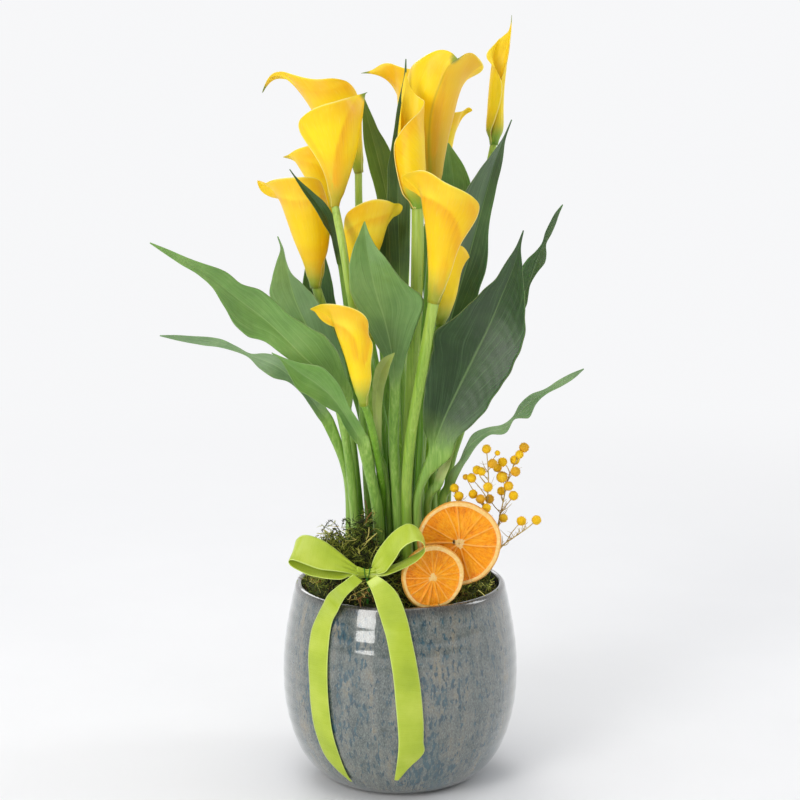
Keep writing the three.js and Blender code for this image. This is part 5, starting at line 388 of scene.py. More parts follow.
FLOWERS = {
    "flower_02": {"r": 2.9, "lip": 1.2, "p": 8,
        "scape": [[-16.0, -9.0, 136.0], [-16.0, -9.0, 162.0], [-14.6, -13.3, 233.5], [-22.5, -28.4, 297.6], [-30.9, -44.5, 349.0], [-36.4, -49.6, 382.8], [-41.4, -48.0, 415.2], [-47.3, -35.2, 443.3]],
        "axis": [[-47.3, -35.2, 443.3], [-46.1, -35.2, 459.2], [-44.9, -35.2, 480.8], [-43.4, -35.2, 503.7]],
        "tube": [4.5, 6.8, 10.8, 14.0, 14.8],
        "rim": [
            [0.052, 4.95, -2.383, 0.0],
            [0.115, 5.09, -2.238, 0.0],
            [0.36, 8.43, -2.507, 0.0],
            [0.518, 12.38, -2.635, 0.21],
            [0.65, 18.35, -2.75, 1.18],
            [0.76, 24.44, -2.808, 1.2],
            [0.839, 28.42, -2.819, 1.2],
            [0.922, 30.7, -2.775, 1.2],
            [1.012, 30.64, -2.63, 1.2],
            [1.106, 29.13, -2.385, 1.2],
            [1.177, 27.89, -2.105, 1.2],
            [1.228, 25.68, -1.802, 1.2],
            [1.278, 19.23, -1.415, 1.2],
            [1.302, 12.28, -0.823, 0.2],
            [1.311, 12.15, -0.249, 0.18],
            [1.345, 18.76, 0.0, 3.0],
            [1.275, 12.18, 0.249, 0.18],
            [1.207, 14.19, 1.008, 0.51],
            [1.119, 20.01, 1.547, 1.2],
            [1.036, 22.72, 1.963, 1.2],
            [0.955, 23.12, 2.436, 1.2],
            [0.898, 23.57, 2.884, 1.2],
            [0.849, 19.5, 3.244, 1.2],
            [0.811, 13.79, 3.674, 0.44],
            [0.733, 11.27, 3.931, 0.03],
            [0.618, 9.28, 3.996, 0.0],
            [0.478, 6.81, 3.966, 0.0],
            [0.283, 4.38, 4.069, 0.0],
            [0.127, 5.67, 4.214, 0.0],
        ]},
    "flower_01": {"r": 2.9, "lip": 1.0, "p": 9,
        "scape": [[-12.0, 14.0, 136.0], [-12.0, 14.0, 162.0], [-11.1, 23.8, 224.8], [-18.8, 37.0, 284.6], [-26.5, 52.5, 344.2], [-30.3, 59.2, 397.4], [-31.4, 62.4, 431.6], [-31.7, 64.0, 458.2]],
        "axis": [[-31.7, 64.0, 458.2], [-34.7, 64.0, 473.5], [-40.7, 62.4, 488.8], [-47.4, 60.8, 505.5]],
        "tube": [4.7, 6.5, 10.6, 15.2, 17.5],
        "rim": [
            [0.159, 4.8, -0.701, 0.0],
            [0.389, 8.33, -0.675, 0.0],
            [0.634, 13.61, -0.56, 0.06],
            [0.855, 18.07, -0.54, 0.57],
            [1.025, 20.63, -0.549, 0.86],
            [1.174, 22.41, -0.625, 1.0],
            [1.314, 23.11, -0.796, 1.0],
            [1.418, 23.74, -1.01, 1.0],
            [1.511, 22.5, -1.315, 1.0],
            [1.569, 20.09, -1.793, 0.8],
            [1.664, 19.78, -2.407, 0.76],
            [1.761, 23.31, -2.887, 1.0],
            [1.851, 29.78, -3.124, 2.0],
            [1.829, 36.84, -3.177, 7.0],
            [1.737, 43.72, -3.184, 12.0],
            [1.627, 48.51, -3.189, 15.0],
            [1.7, 43.04, -3.227, 12.0],
            [1.745, 36.75, -3.305, 7.0],
            [1.669, 31.27, -3.526, 2.0],
            [1.517, 27.58, -3.86, 1.0],
            [1.375, 24.08, -4.259, 1.0],
            [1.27, 21.29, -4.737, 0.93],
            [1.16, 19.53, -5.24, 0.73],
            [1.021, 16.57, -5.761, 0.39],
            [0.918, 12.28, -6.47, 0.0],
            [0.824, 9.73, -7.098, 0.0],
            [0.667, 7.71, -7.421, 0.0],
            [0.476, 5.34, -7.54, 0.0],
            [0.204, 3.17, -7.674, 0.0],
        ]},
    "flower_03": {"r": 2.7, "lip": 1.0, "p": 8,
        "scape": [[-25.0, 18.0, 136.0], [-25.0, 18.0, 162.0], [-21.1, 23.8, 224.8], [-27.9, 34.4, 285.2], [-35.6, 44.2, 337.8], [-41.5, 44.8, 376.3], [-48.9, 44.8, 415.4]],
        "axis": [[-48.9, 44.8, 415.4], [-52.3, 44.8, 431.3], [-56.7, 44.8, 446.5], [-62.3, 44.8, 461.6]],
        "tube": [4.5, 5.7, 7.4, 9.1, 10.6],
        "rim": [
            [0.168, 4.46, -0.737, 0.0],
            [0.402, 6.76, -0.833, 0.0],
            [0.658, 9.25, -0.858, 0.25],
            [0.885, 12.49, -0.804, 0.86],
            [1.083, 16.4, -0.915, 1.0],
            [1.272, 18.78, -1.132, 1.0],
            [1.386, 17.13, -1.449, 1.0],
            [1.402, 12.73, -1.91, 0.9],
            [1.39, 13.12, -2.579, 0.98],
            [1.357, 16.89, -3.023, 1.0],
            [1.348, 21.48, -3.142, 1.0],
            [1.293, 18.25, -3.251, 1.0],
            [1.221, 14.81, -3.486, 1.0],
            [1.146, 13.94, -3.843, 1.0],
            [1.076, 13.85, -4.359, 1.0],
            [1.008, 12.19, -4.889, 0.8],
            [0.917, 7.64, -5.38, 0.0],
            [0.812, 3.17, -6.605, 0.0],
            [0.683, 5.26, -7.538, 0.0],
            [0.507, 4.53, -7.746, 0.0],
            [0.243, 3.01, -7.779, 0.0],
        ]},
    "flower_04": {"r": 3.5, "lip": 1.2, "p": 8,
        "scape": [[-34.0, 12.0, 136.0], [-34.0, 12.0, 162.0], [-36.2, 15.2, 226.8], [-43.6, 19.4, 288.1], [-52.2, 13.4, 339.2], [-62.9, 3.2, 378.6]],
        "axis": [[-62.9, 3.2, 378.6], [-63.1, 3.2, 394.4], [-64.8, 1.6, 411.0], [-69.0, 0.0, 433.5]],
        "tube": [5.1, 7.3, 10.0, 13.0, 14.8],
        "rim": [
            [0.113, 6.04, -0.74, 0.0],
            [0.25, 5.76, -0.796, 0.0],
            [0.461, 10.38, -0.618, 0.0],
            [0.662, 13.98, -0.519, 0.46],
            [0.849, 17.63, -0.464, 1.05],
            [1.027, 19.19, -0.471, 1.2],
            [1.237, 19.19, -0.542, 1.2],
            [1.415, 20.11, -0.719, 1.2],
            [1.501, 21.44, -1.087, 1.2],
            [1.54, 22.01, -1.497, 1.2],
            [1.552, 20.05, -2.024, 1.2],
            [1.537, 22.02, -2.608, 1.2],
            [1.486, 26.64, -2.973, 1.2],
            [1.511, 29.59, -3.128, 1.2],
            [1.53, 31.04, -3.195, 1.0],
            [1.48, 31.78, -3.235, 1.2],
            [1.372, 31.39, -3.336, 1.2],
            [1.277, 28.51, -3.491, 1.2],
            [1.21, 24.96, -3.717, 1.2],
            [1.149, 21.6, -4.083, 1.2],
            [1.075, 17.54, -4.546, 1.04],
            [1.003, 14.57, -5.162, 0.56],
            [0.944, 11.9, -5.761, 0.13],
            [0.872, 9.72, -6.486, 0.0],
            [0.762, 8.83, -7.015, 0.0],
            [0.613, 7.47, -7.195, 0.0],
            [0.381, 5.37, -7.281, 0.0],
            [0.172, 6.57, -7.337, 0.0],
        ]},
    "flower_05": {"r": 2.9, "lip": 1.2, "p": 8,
        "scape": [[-4.0, -1.0, 136.0], [-4.0, -1.0, 162.0], [-5.7, -2.2, 230.9], [-15.4, -1.4, 292.3], [-25.7, -3.1, 330.6], [-32.3, -6.4, 356.1]],
        "axis": [[-32.3, -6.4, 356.1], [-32.2, -8.0, 373.5], [-30.9, -12.8, 395.1], [-26.7, -16.0, 416.2]],
        "tube": [4.6, 6.5, 8.5, 11.1, 13.3],
        "rim": [
            [0.102, 5.36, -2.327, 0.0],
            [0.228, 5.44, -2.279, 0.0],
            [0.435, 7.4, -2.427, 0.0],
            [0.66, 11.53, -2.529, 0.29],
            [0.781, 15.36, -2.628, 0.98],
            [0.879, 17.69, -2.637, 1.2],
            [0.986, 17.47, -2.56, 1.2],
            [1.101, 18.84, -2.54, 1.2],
            [1.222, 21.65, -2.465, 1.2],
            [1.349, 23.52, -2.302, 1.2],
            [1.453, 23.51, -2.058, 1.2],
            [1.537, 21.76, -1.786, 1.2],
            [1.573, 17.4, -1.4, 1.2],
            [1.548, 14.85, -0.702, 0.89],
            [1.496, 17.3, -0.126, 1.2],
            [1.492, 20.28, 0.085, 1.2],
            [1.455, 23.87, 0.138, 1.0],
            [1.363, 23.93, 0.232, 1.2],
            [1.283, 21.04, 0.441, 1.2],
            [1.211, 19.18, 0.867, 1.2],
            [1.166, 18.97, 1.363, 1.2],
            [1.115, 18.95, 1.811, 1.2],
            [1.066, 15.35, 2.334, 0.98],
            [1.015, 11.68, 2.92, 0.31],
            [0.935, 9.38, 3.675, 0.0],
            [0.821, 7.94, 4.03, 0.0],
            [0.665, 6.93, 4.104, 0.0],
            [0.458, 4.93, 4.222, 0.0],
            [0.206, 6.15, 4.27, 0.0],
        ]},
    "flower_06": {"r": 3.1, "lip": 1.2, "p": 8,
        "scape": [[8.0, 12.0, 136.0], [8.0, 12.0, 162.0], [8.8, 13.1, 227.3], [13.3, 16.6, 288.7], [19.2, 17.5, 349.9], [23.5, 16.0, 403.1], [25.6, 16.0, 450.3]],
        "axis": [[25.6, 16.0, 450.3], [26.0, 16.0, 471.8], [26.6, 16.0, 496.9], [27.7, 16.0, 521.9]],
        "tube": [5.0, 6.7, 9.3, 12.6, 14.8],
        "rim": [
            [0.14, 8.55, 1.93, 0.0],
            [0.317, 12.61, 2.081, 0.24],
            [0.514, 16.1, 2.201, 0.81],
            [0.723, 20.34, 2.312, 1.2],
            [0.898, 23.43, 2.501, 1.2],
            [1.041, 23.65, 2.751, 1.2],
            [1.17, 21.27, 3.047, 1.2],
            [1.27, 18.13, 3.479, 1.14],
            [1.338, 16.62, 3.948, 0.89],
            [1.401, 17.58, 4.455, 1.05],
            [1.426, 20.18, 4.846, 1.2],
            [1.403, 22.67, 5.099, 1.2],
            [1.363, 24.86, 5.196, 1.2],
            [1.346, 27.48, 5.221, 1.0],
            [1.37, 26.36, 5.361, 1.2],
            [1.4, 25.93, 5.568, 1.2],
            [1.394, 27.21, 5.867, 1.2],
            [1.327, 30.74, 6.153, 1.2],
            [1.252, 33.69, 6.372, 1.2],
            [1.194, 32.97, 6.591, 1.2],
            [1.134, 30.37, 6.877, 1.2],
            [1.054, 25.97, 7.162, 1.2],
            [0.967, 21.0, 7.544, 1.2],
            [0.886, 16.29, 8.044, 0.84],
            [0.791, 11.6, 8.536, 0.08],
            [0.679, 8.08, 8.907, 0.0],
            [0.546, 6.01, 8.902, 0.0],
            [0.371, 3.93, 8.89, 0.0],
            [0.174, 1.92, 8.878, 0.0],
        ]},
    "flower_07": {"r": 4.6, "lip": 1.2, "p": 4,
        "scape": [[4.0, -9.0, 136.0], [4.0, -9.0, 162.0], [4.9, -11.1, 233.0], [7.8, -14.1, 294.8], [11.4, -16.0, 355.4], [12.8, -16.0, 400.0], [12.8, -16.0, 440.5]],
        "axis": [[12.8, -16.0, 440.5], [10.2, -16.0, 458.7], [7.6, -16.0, 480.6], [7.6, -16.0, 503.7]],
        "tube": [6.2, 7.9, 9.5, 10.2, 10.2],
        "rim": [
            [0.02, 6.04, -2.189, 0.0],
            [0.02, 10.38, -1.765, 0.64],
            [0.005, 9.94, -2.206, 0.54],
            [0.216, 11.71, -2.501, 0.96],
            [0.459, 12.57, -2.644, 1.16],
            [0.662, 12.69, -2.737, 1.19],
            [0.761, 12.79, -2.562, 1.2],
            [0.856, 13.11, -2.146, 1.2],
            [0.952, 13.18, -1.738, 1.2],
            [1.036, 11.56, -1.259, 0.92],
            [1.108, 9.36, -0.563, 0.4],
            [1.181, 10.13, 0.0, 0.58],
            [1.232, 8.36, 0.801, 0.17],
            [1.334, 6.0, 1.571, 0.0],
            [1.517, 4.45, 2.402, 0.0],
            [1.289, 8.23, 2.489, 0.14],
            [1.152, 8.87, 2.398, 0.29],
            [1.013, 9.1, 2.068, 0.34],
            [0.89, 7.06, 2.354, 0.0],
            [0.755, 6.67, 3.446, 0.0],
            [0.577, 8.41, 3.854, 0.18],
            [0.33, 7.82, 3.922, 0.04],
            [0.113, 5.36, 3.984, 0.0],
            [0.051, 6.36, 4.408, 0.0],
        ]},
    "flower_08": {"r": 4.0, "lip": 1.2, "p": 8,
        "scape": [[7.0, -31.0, 136.0], [7.0, -31.0, 162.0], [4.8, -34.3, 223.2], [7.7, -43.5, 270.7], [14.1, -53.4, 313.7], [20.2, -58.9, 351.4], [24.4, -60.8, 377.2]],
        "axis": [[24.4, -60.8, 377.2], [28.3, -60.8, 394.6], [30.7, -60.8, 416.9], [32.4, -60.8, 440.5]],
        "tube": [5.6, 7.0, 9.3, 11.8, 15.0],
        "rim": [
            [0.061, 5.9, -0.745, 0.0],
            [0.252, 7.91, -0.861, 0.0],
            [0.432, 10.34, -0.743, 0.0],
            [0.57, 12.08, -0.724, 0.13],
            [0.711, 14.46, -0.586, 0.51],
            [0.835, 18.83, -0.439, 1.2],
            [0.954, 23.18, -0.352, 1.2],
            [1.065, 24.97, -0.369, 1.2],
            [1.157, 24.77, -0.506, 1.2],
            [1.225, 23.32, -0.756, 1.2],
            [1.287, 23.33, -1.12, 1.2],
            [1.334, 25.16, -1.459, 1.2],
            [1.384, 27.37, -1.735, 1.2],
            [1.451, 28.54, -1.996, 1.2],
            [1.475, 27.75, -2.283, 1.2],
            [1.444, 28.15, -2.661, 1.2],
            [1.4, 30.28, -2.942, 1.2],
            [1.36, 32.68, -3.142, 1.0],
            [1.285, 31.69, -3.205, 1.2],
            [1.211, 28.0, -3.358, 1.2],
            [1.176, 23.46, -3.63, 1.2],
            [1.17, 20.81, -4.097, 1.2],
            [1.132, 20.02, -4.664, 1.2],
            [1.085, 17.62, -5.264, 1.02],
            [1.016, 14.91, -5.869, 0.58],
            [0.915, 12.68, -6.442, 0.23],
            [0.821, 11.65, -6.927, 0.06],
            [0.709, 9.79, -7.239, 0.0],
            [0.572, 8.28, -7.291, 0.0],
            [0.422, 6.48, -7.297, 0.0],
            [0.234, 4.37, -7.44, 0.0],
        ]},
    "flower_09": {"r": 2.7, "lip": 1.0, "p": 6,
        "scape": [[14.0, -12.0, 136.0], [14.0, -12.0, 162.0], [13.9, -13.1, 228.1], [15.3, -13.8, 264.3], [16.7, -13.0, 302.2], [22.6, -10.9, 330.5], [29.7, -5.6, 350.7]],
        "axis": [[29.7, -5.6, 350.7], [32.2, -6.4, 364.3], [34.7, -8.0, 379.5], [36.2, -8.0, 395.9]],
        "tube": [4.4, 6.3, 8.0, 8.5, 8.5],
        "rim": [
            [0.188, 5.65, 2.599, 0.0],
            [0.418, 8.39, 2.665, 0.47],
            [0.694, 9.57, 2.699, 0.75],
            [0.952, 8.52, 2.898, 0.5],
            [1.161, 8.08, 3.656, 0.4],
            [1.297, 9.36, 4.436, 0.7],
            [1.348, 9.56, 5.045, 0.75],
            [1.314, 9.92, 5.749, 0.83],
            [1.24, 12.44, 6.116, 1.0],
            [1.141, 14.6, 6.278, 0.5],
            [1.144, 12.8, 6.514, 1.0],
            [1.185, 10.77, 7.115, 1.0],
            [1.167, 10.01, 7.785, 0.85],
            [1.069, 8.17, 8.393, 0.42],
            [0.894, 6.56, 8.935, 0.04],
            [0.678, 5.29, 9.026, 0.0],
            [0.452, 3.38, 9.131, 0.0],
            [0.219, 1.36, 9.462, 0.0],
        ]},
    "flower_10": {"r": 2.7, "lip": 1.2, "p": 8,
        "scape": [[-19.0, -20.0, 136.0], [-19.0, -20.0, 162.0], [-13.1, -22.4, 214.2], [-15.1, -36.1, 246.5], [-20.0, -55.8, 280.8], [-26.2, -71.9, 304.8]],
        "axis": [[-26.2, -71.9, 304.8], [-27.5, -75.9, 320.2], [-29.2, -78.7, 336.7], [-33.0, -80.6, 355.8]],
        "tube": [4.3, 5.7, 7.6, 9.1, 10.4],
        "rim": [
            [0.124, 4.09, -0.72, 0.0],
            [0.276, 6.6, -0.576, 0.0],
            [0.437, 8.66, -0.557, 0.19],
            [0.587, 9.29, -0.642, 0.34],
            [0.715, 11.44, -0.618, 0.83],
            [0.83, 14.38, -0.553, 1.2],
            [0.91, 14.64, -0.626, 1.2],
            [0.997, 14.44, -0.728, 1.2],
            [1.098, 16.82, -0.722, 1.2],
            [1.208, 18.89, -0.801, 1.2],
            [1.33, 21.32, -1.008, 1.2],
            [1.436, 22.76, -1.262, 1.2],
            [1.518, 22.53, -1.572, 1.2],
            [1.545, 18.73, -2.045, 1.2],
            [1.53, 18.15, -2.687, 1.2],
            [1.487, 22.24, -3.035, 1.2],
            [1.445, 26.43, -3.19, 1.0],
            [1.386, 23.72, -3.273, 1.2],
            [1.274, 22.68, -3.392, 1.2],
            [1.163, 20.46, -3.608, 1.2],
            [1.082, 18.73, -3.908, 1.2],
            [1.024, 17.14, -4.343, 1.2],
            [0.99, 15.07, -4.765, 1.2],
            [0.973, 11.29, -5.34, 0.8],
            [0.914, 7.86, -6.011, 0.01],
            [0.836, 6.5, -6.899, 0.0],
            [0.728, 6.63, -7.331, 0.0],
            [0.55, 4.96, -7.478, 0.0],
            [0.312, 3.35, -7.541, 0.0],
        ]},
    "flower_11": {"r": 2.5, "lip": 0.5, "p": 4,
        "scape": [[28.0, 16.0, 136.0], [28.0, 16.0, 162.0], [29.5, 22.7, 225.1], [39.4, 35.7, 284.9], [49.5, 52.5, 344.2], [58.0, 64.0, 396.8], [64.9, 73.6, 441.9], [72.3, 81.6, 478.0]],
        "axis": [[72.3, 81.6, 478.0], [73.4, 84.8, 493.1], [74.2, 88.0, 512.8], [75.6, 89.6, 535.5]],
        "tube": [4.5, 6.6, 6.1, 6.0, 6.5],
        "rim": [
            [0.023, 4.65, -2.148, 0.0],
            [0.05, 5.26, -2.279, 0.05],
            [0.22, 6.42, -1.919, 0.23],
            [0.403, 7.09, -1.527, 0.33],
            [0.562, 7.65, -1.212, 0.42],
            [0.714, 8.03, -1.08, 0.48],
            [0.828, 7.68, -1.184, 0.43],
            [0.922, 7.08, -1.661, 0.33],
            [0.989, 8.1, -2.202, 0.49],
            [1.067, 10.39, -2.597, 0.5],
            [1.131, 10.87, -2.799, 0.5],
            [1.192, 9.08, -2.934, 0.5],
            [1.255, 5.62, -3.126, 0.11],
            [1.331, 2.61, -3.827, 0.0],
            [1.401, 3.02, -5.594, 0.0],
            [1.463, 5.86, -6.248, 0.15],
            [1.554, 7.07, -6.447, 0.33],
            [1.67, 7.68, -6.631, 0.5],
            [1.476, 8.11, -6.64, 0.49],
            [1.28, 7.92, -6.821, 0.46],
            [1.084, 7.71, -6.871, 0.43],
            [0.905, 6.51, -7.168, 0.25],
            [0.759, 5.03, -7.655, 0.02],
            [0.614, 4.72, -7.858, 0.0],
            [0.461, 4.83, -8.196, 0.0],
            [0.291, 4.86, -8.449, 0.0],
            [0.123, 4.18, -8.615, 0.0],
            [0.055, 4.94, -8.746, 0.0],
        ]},
    "flower_12": {"r": 2.6, "lip": 1.0, "p": 8,
        "scape": [[21.0, 24.0, 136.0], [21.0, 24.0, 162.0], [20.4, 36.4, 221.8], [24.5, 59.6, 280.1], [28.6, 85.6, 338.8], [30.9, 96.0, 392.6], [31.6, 99.2, 434.5]],
        "axis": [[31.6, 99.2, 434.5], [31.6, 100.8, 453.1], [32.7, 100.8, 471.8], [33.4, 100.8, 488.8]],
        "tube": [4.4, 5.8, 7.2, 8.4, 10.1],
        "rim": [
            [0.139, 5.41, 1.99, 0.0],
            [0.377, 7.55, 2.242, 0.0],
            [0.617, 10.0, 2.37, 0.48],
            [0.862, 10.6, 2.653, 0.6],
            [1.049, 9.83, 3.144, 0.44],
            [1.146, 9.94, 3.925, 0.47],
            [1.192, 11.05, 4.619, 0.68],
            [1.211, 12.45, 5.203, 0.96],
            [1.218, 13.84, 5.669, 1.0],
            [1.231, 16.0, 5.968, 1.0],
            [1.265, 17.68, 6.144, 1.0],
            [1.284, 19.85, 6.235, 1.0],
            [1.244, 22.29, 6.286, 1.0],
            [1.214, 20.87, 6.334, 1.0],
            [1.2, 17.54, 6.516, 1.0],
            [1.14, 15.56, 6.902, 1.0],
            [1.073, 13.37, 7.399, 1.0],
            [1.026, 11.05, 7.95, 0.68],
            [0.924, 8.47, 8.455, 0.17],
            [0.702, 5.7, 8.973, 0.0],
            [0.52, 3.84, 9.187, 0.0],
            [0.291, 1.51, 9.476, 0.0],
        ]},
    "flower_13": {"r": 2.0, "lip": 0.3, "p": 2.0,
        "scape": [[-11.0, -4.0, 136.0], [-11.0, -4.0, 162.0], [-10.9, -4.4, 231.4], [-13.0, -13.3, 279.4], [-16.6, -24.2, 319.4], [-20.9, -30.1, 345.8]],
        "axis": [[-20.9, -30.1, 345.8], [-23.8, -31.1, 354.1], [-28.8, -32.0, 364.6], [-33.9, -32.0, 372.8]],
        "tube": [3.9, 4.7, 4.8, 4.2, 3.5],
        "rim": [
            [0.1, 4.24, -3.285, 0.0],
            [0.223, 6.02, -1.499, 0.3],
            [0.457, 5.37, -1.639, 0.3],
            [0.714, 5.02, -1.677, 0.3],
            [0.97, 3.52, -1.643, 0.15],
            [1.229, 0.07, -0.059, 0.0],
            [0.943, 4.26, 1.279, 0.28],
            [0.67, 5.09, 1.446, 0.3],
            [0.411, 4.96, 1.525, 0.3],
            [0.185, 4.49, 3.312, 0.0],
        ]},
    "flower_14": {"r": 2.7, "lip": 1.0, "p": 10,
        "scape": [[0.0, 27.0, 136.0], [0.0, 27.0, 162.0], [0.4, 36.4, 221.8], [1.9, 57.0, 280.7], [3.5, 77.8, 340.1], [5.1, 84.8, 394.0], [5.8, 86.4, 449.9]],
        "axis": [[5.8, 86.4, 449.9], [6.9, 86.4, 467.6], [8.1, 86.4, 488.4], [8.8, 86.4, 507.5]],
        "tube": [4.5, 5.7, 7.1, 8.5, 9.6],
        "rim": [
            [0.158, 4.46, -0.737, 0.0],
            [0.41, 7.42, -0.739, 0.04],
            [0.655, 9.76, -0.662, 0.52],
            [0.895, 12.33, -0.706, 1.0],
            [1.123, 13.35, -0.847, 1.0],
            [1.321, 14.04, -1.184, 1.0],
            [1.45, 15.0, -1.594, 1.0],
            [1.47, 14.52, -2.033, 1.0],
            [1.501, 16.15, -2.55, 1.0],
            [1.52, 18.72, -2.871, 1.0],
            [1.508, 23.52, -3.035, 1.0],
            [1.457, 27.91, -3.099, 1.0],
            [1.411, 31.63, -3.123, 3.0],
            [1.369, 39.6, -3.142, 4.0],
            [1.39, 31.6, -3.161, 3.0],
            [1.429, 26.44, -3.236, 1.0],
            [1.442, 20.69, -3.487, 1.0],
            [1.403, 16.75, -3.94, 1.0],
            [1.339, 15.48, -4.464, 1.0],
            [1.24, 13.43, -4.967, 1.0],
            [1.104, 9.02, -5.555, 0.37],
            [0.965, 5.09, -6.687, 0.0],
            [0.849, 7.32, -7.376, 0.02],
            [0.652, 6.75, -7.378, 0.0],
            [0.431, 5.07, -7.376, 0.0],
            [0.2, 3.41, -7.361, 0.0],
        ]},
}
MOSS_INNER = [34.0, 41.8, 41.8, 41.8, 37.6, 37.6, 39.4, 39.4, 39.4, 39.4, 34.0, 34.7, 34.7, 34.7, 34.0, 34.0, 34.0, 34.7, 35.0, 35.0, 42.1, 42.1, 42.1, 41.7, 44.4, 44.4, 44.4, 44.4, 41.8, 41.8, 34.0, 39.1, 39.1, 39.1, 39.1, 34.0, 38.1, 38.1, 38.1, 38.1, 36.3, 36.3, 34.0, 34.0, 37.0, 37.0, 37.0, 37.0]
TAIL_LEFT = [
    [-33.8, -79.0, 178.9, -27.2, -79.0, 173.6],
    [-40.3, -79.0, 173.6, -34.5, -81.0, 167.4],
    [-46.3, -75.0, 168.0, -39.6, -79.0, 161.6],
    [-52.4, -66.0, 160.1, -43.4, -74.0, 154.1],
    [-55.5, -63.5, 154.1, -45.3, -74.0, 149.5],
    [-60.9, -57.7, 141.7, -49.5, -68.3, 139.5],
    [-65.5, -56.4, 129.0, -51.8, -69.3, 128.3],
    [-67.8, -58.3, 110.7, -53.3, -71.6, 111.4],
    [-67.4, -61.3, 92.7, -53.3, -73.9, 93.7],
    [-66.4, -62.5, 74.1, -51.9, -74.9, 73.3],
    [-63.2, -62.9, 55.2, -49.1, -73.8, 52.8],
    [-56.3, -62.5, 35.5, -43.4, -70.5, 32.2],
    [-47.3, -63.8, 23.8, -39.1, -67.2, 20.8],
    [-38.5, -62.5, 15.1, -35.5, -63.6, 14.3],
]
TAIL_RIGHT = [
    [-24.3, -79.0, 172.9, -17.1, -80.0, 178.4],
    [-21.4, -81.0, 168.2, -9.8, -83.0, 174.0],
    [-19.2, -82.0, 162.5, -3.3, -83.0, 167.3],
    [-16.7, -83.0, 154.5, 1.1, -83.0, 159.0],
    [-13.5, -82.3, 143.7, 5.5, -82.7, 145.3],
    [-9.8, -85.2, 131.7, 8.7, -85.6, 131.0],
    [-6.9, -88.2, 116.7, 12.0, -88.0, 115.1],
    [-4.7, -90.3, 102.2, 14.6, -89.6, 98.9],
    [-3.3, -91.2, 85.8, 16.2, -89.9, 83.4],
    [-1.8, -90.7, 68.0, 17.2, -89.0, 67.4],
    [-1.1, -88.7, 53.5, 17.2, -87.3, 54.5],
    [-1.8, -86.1, 41.0, 17.3, -85.0, 44.0],
    [-3.1, -81.6, 29.2, 6.3, -82.2, 31.4],
    [-4.1, -77.7, 20.8, -1.1, -77.9, 20.8],
]
LOOP_LEFT = [
    [-31.1, -66.0, 180.6, -30.2, -73.0, 176.5],
    [-38.4, -64.0, 186.8, -37.5, -74.0, 178.3],
    [-47.2, -62.0, 193.1, -47.7, -75.0, 180.1],
    [-55.3, -60.0, 198.3, -58.5, -76.0, 181.8],
    [-64.1, -58.0, 201.5, -68.7, -76.0, 185.6],
    [-71.5, -57.0, 202.0, -77.4, -75.0, 188.3],
    [-76.7, -56.0, 197.6, -80.8, -73.0, 187.0],
    [-76.7, -58.0, 192.1, -79.7, -74.0, 184.3],
    [-71.5, -60.0, 187.3, -74.6, -75.0, 181.2],
    [-61.9, -62.0, 183.3, -65.1, -76.0, 176.9],
    [-51.6, -64.0, 180.8, -53.5, -76.0, 174.3],
    [-42.1, -66.0, 179.8, -43.3, -76.0, 173.6],
    [-35.5, -67.0, 179.4, -37.5, -75.0, 175.2],
    [-30.3, -68.0, 178.9, -30.2, -73.0, 176.1],
]
LOOP_RIGHT = [
    [-20.1, -66.0, 180.6, -20.8, -73.0, 176.5],
    [-17.9, -67.0, 189.2, -11.6, -76.0, 178.8],
    [-12.8, -69.0, 198.7, -6.9, -79.0, 184.9],
    [-6.2, -71.0, 207.5, -2.5, -83.0, 192.0],
    [0.4, -72.0, 213.0, 1.1, -85.0, 198.5],
    [6.9, -73.0, 215.2, 6.1, -86.0, 203.2],
    [12.7, -73.0, 211.8, 12.6, -86.0, 205.8],
    [16.3, -73.0, 205.8, 16.9, -86.0, 204.0],
    [17.8, -73.0, 199.1, 18.4, -86.0, 199.5],
    [15.6, -73.0, 195.3, 17.3, -86.0, 195.8],
    [9.1, -72.0, 190.5, 10.8, -84.0, 189.3],
    [-1.1, -70.0, 184.7, -1.1, -80.0, 182.2],
    [-11.3, -68.0, 181.1, -12.0, -76.0, 176.9],
    [-20.1, -68.0, 178.9, -20.4, -73.0, 176.1],
]
KNOT = [-25.3, -70.0, 177.2]
SLICES = {
    "orange_slice_large": {"c": [43.6, -44.0, 192.9], "r": 31.2, "n": [0.05, -0.98, 0.18], "t": 5.0},
    "orange_slice_small": {"c": [23.7, -64.0, 172.5], "r": 24.0, "n": [0.3, -0.95, 0.06], "t": 5.0},
}
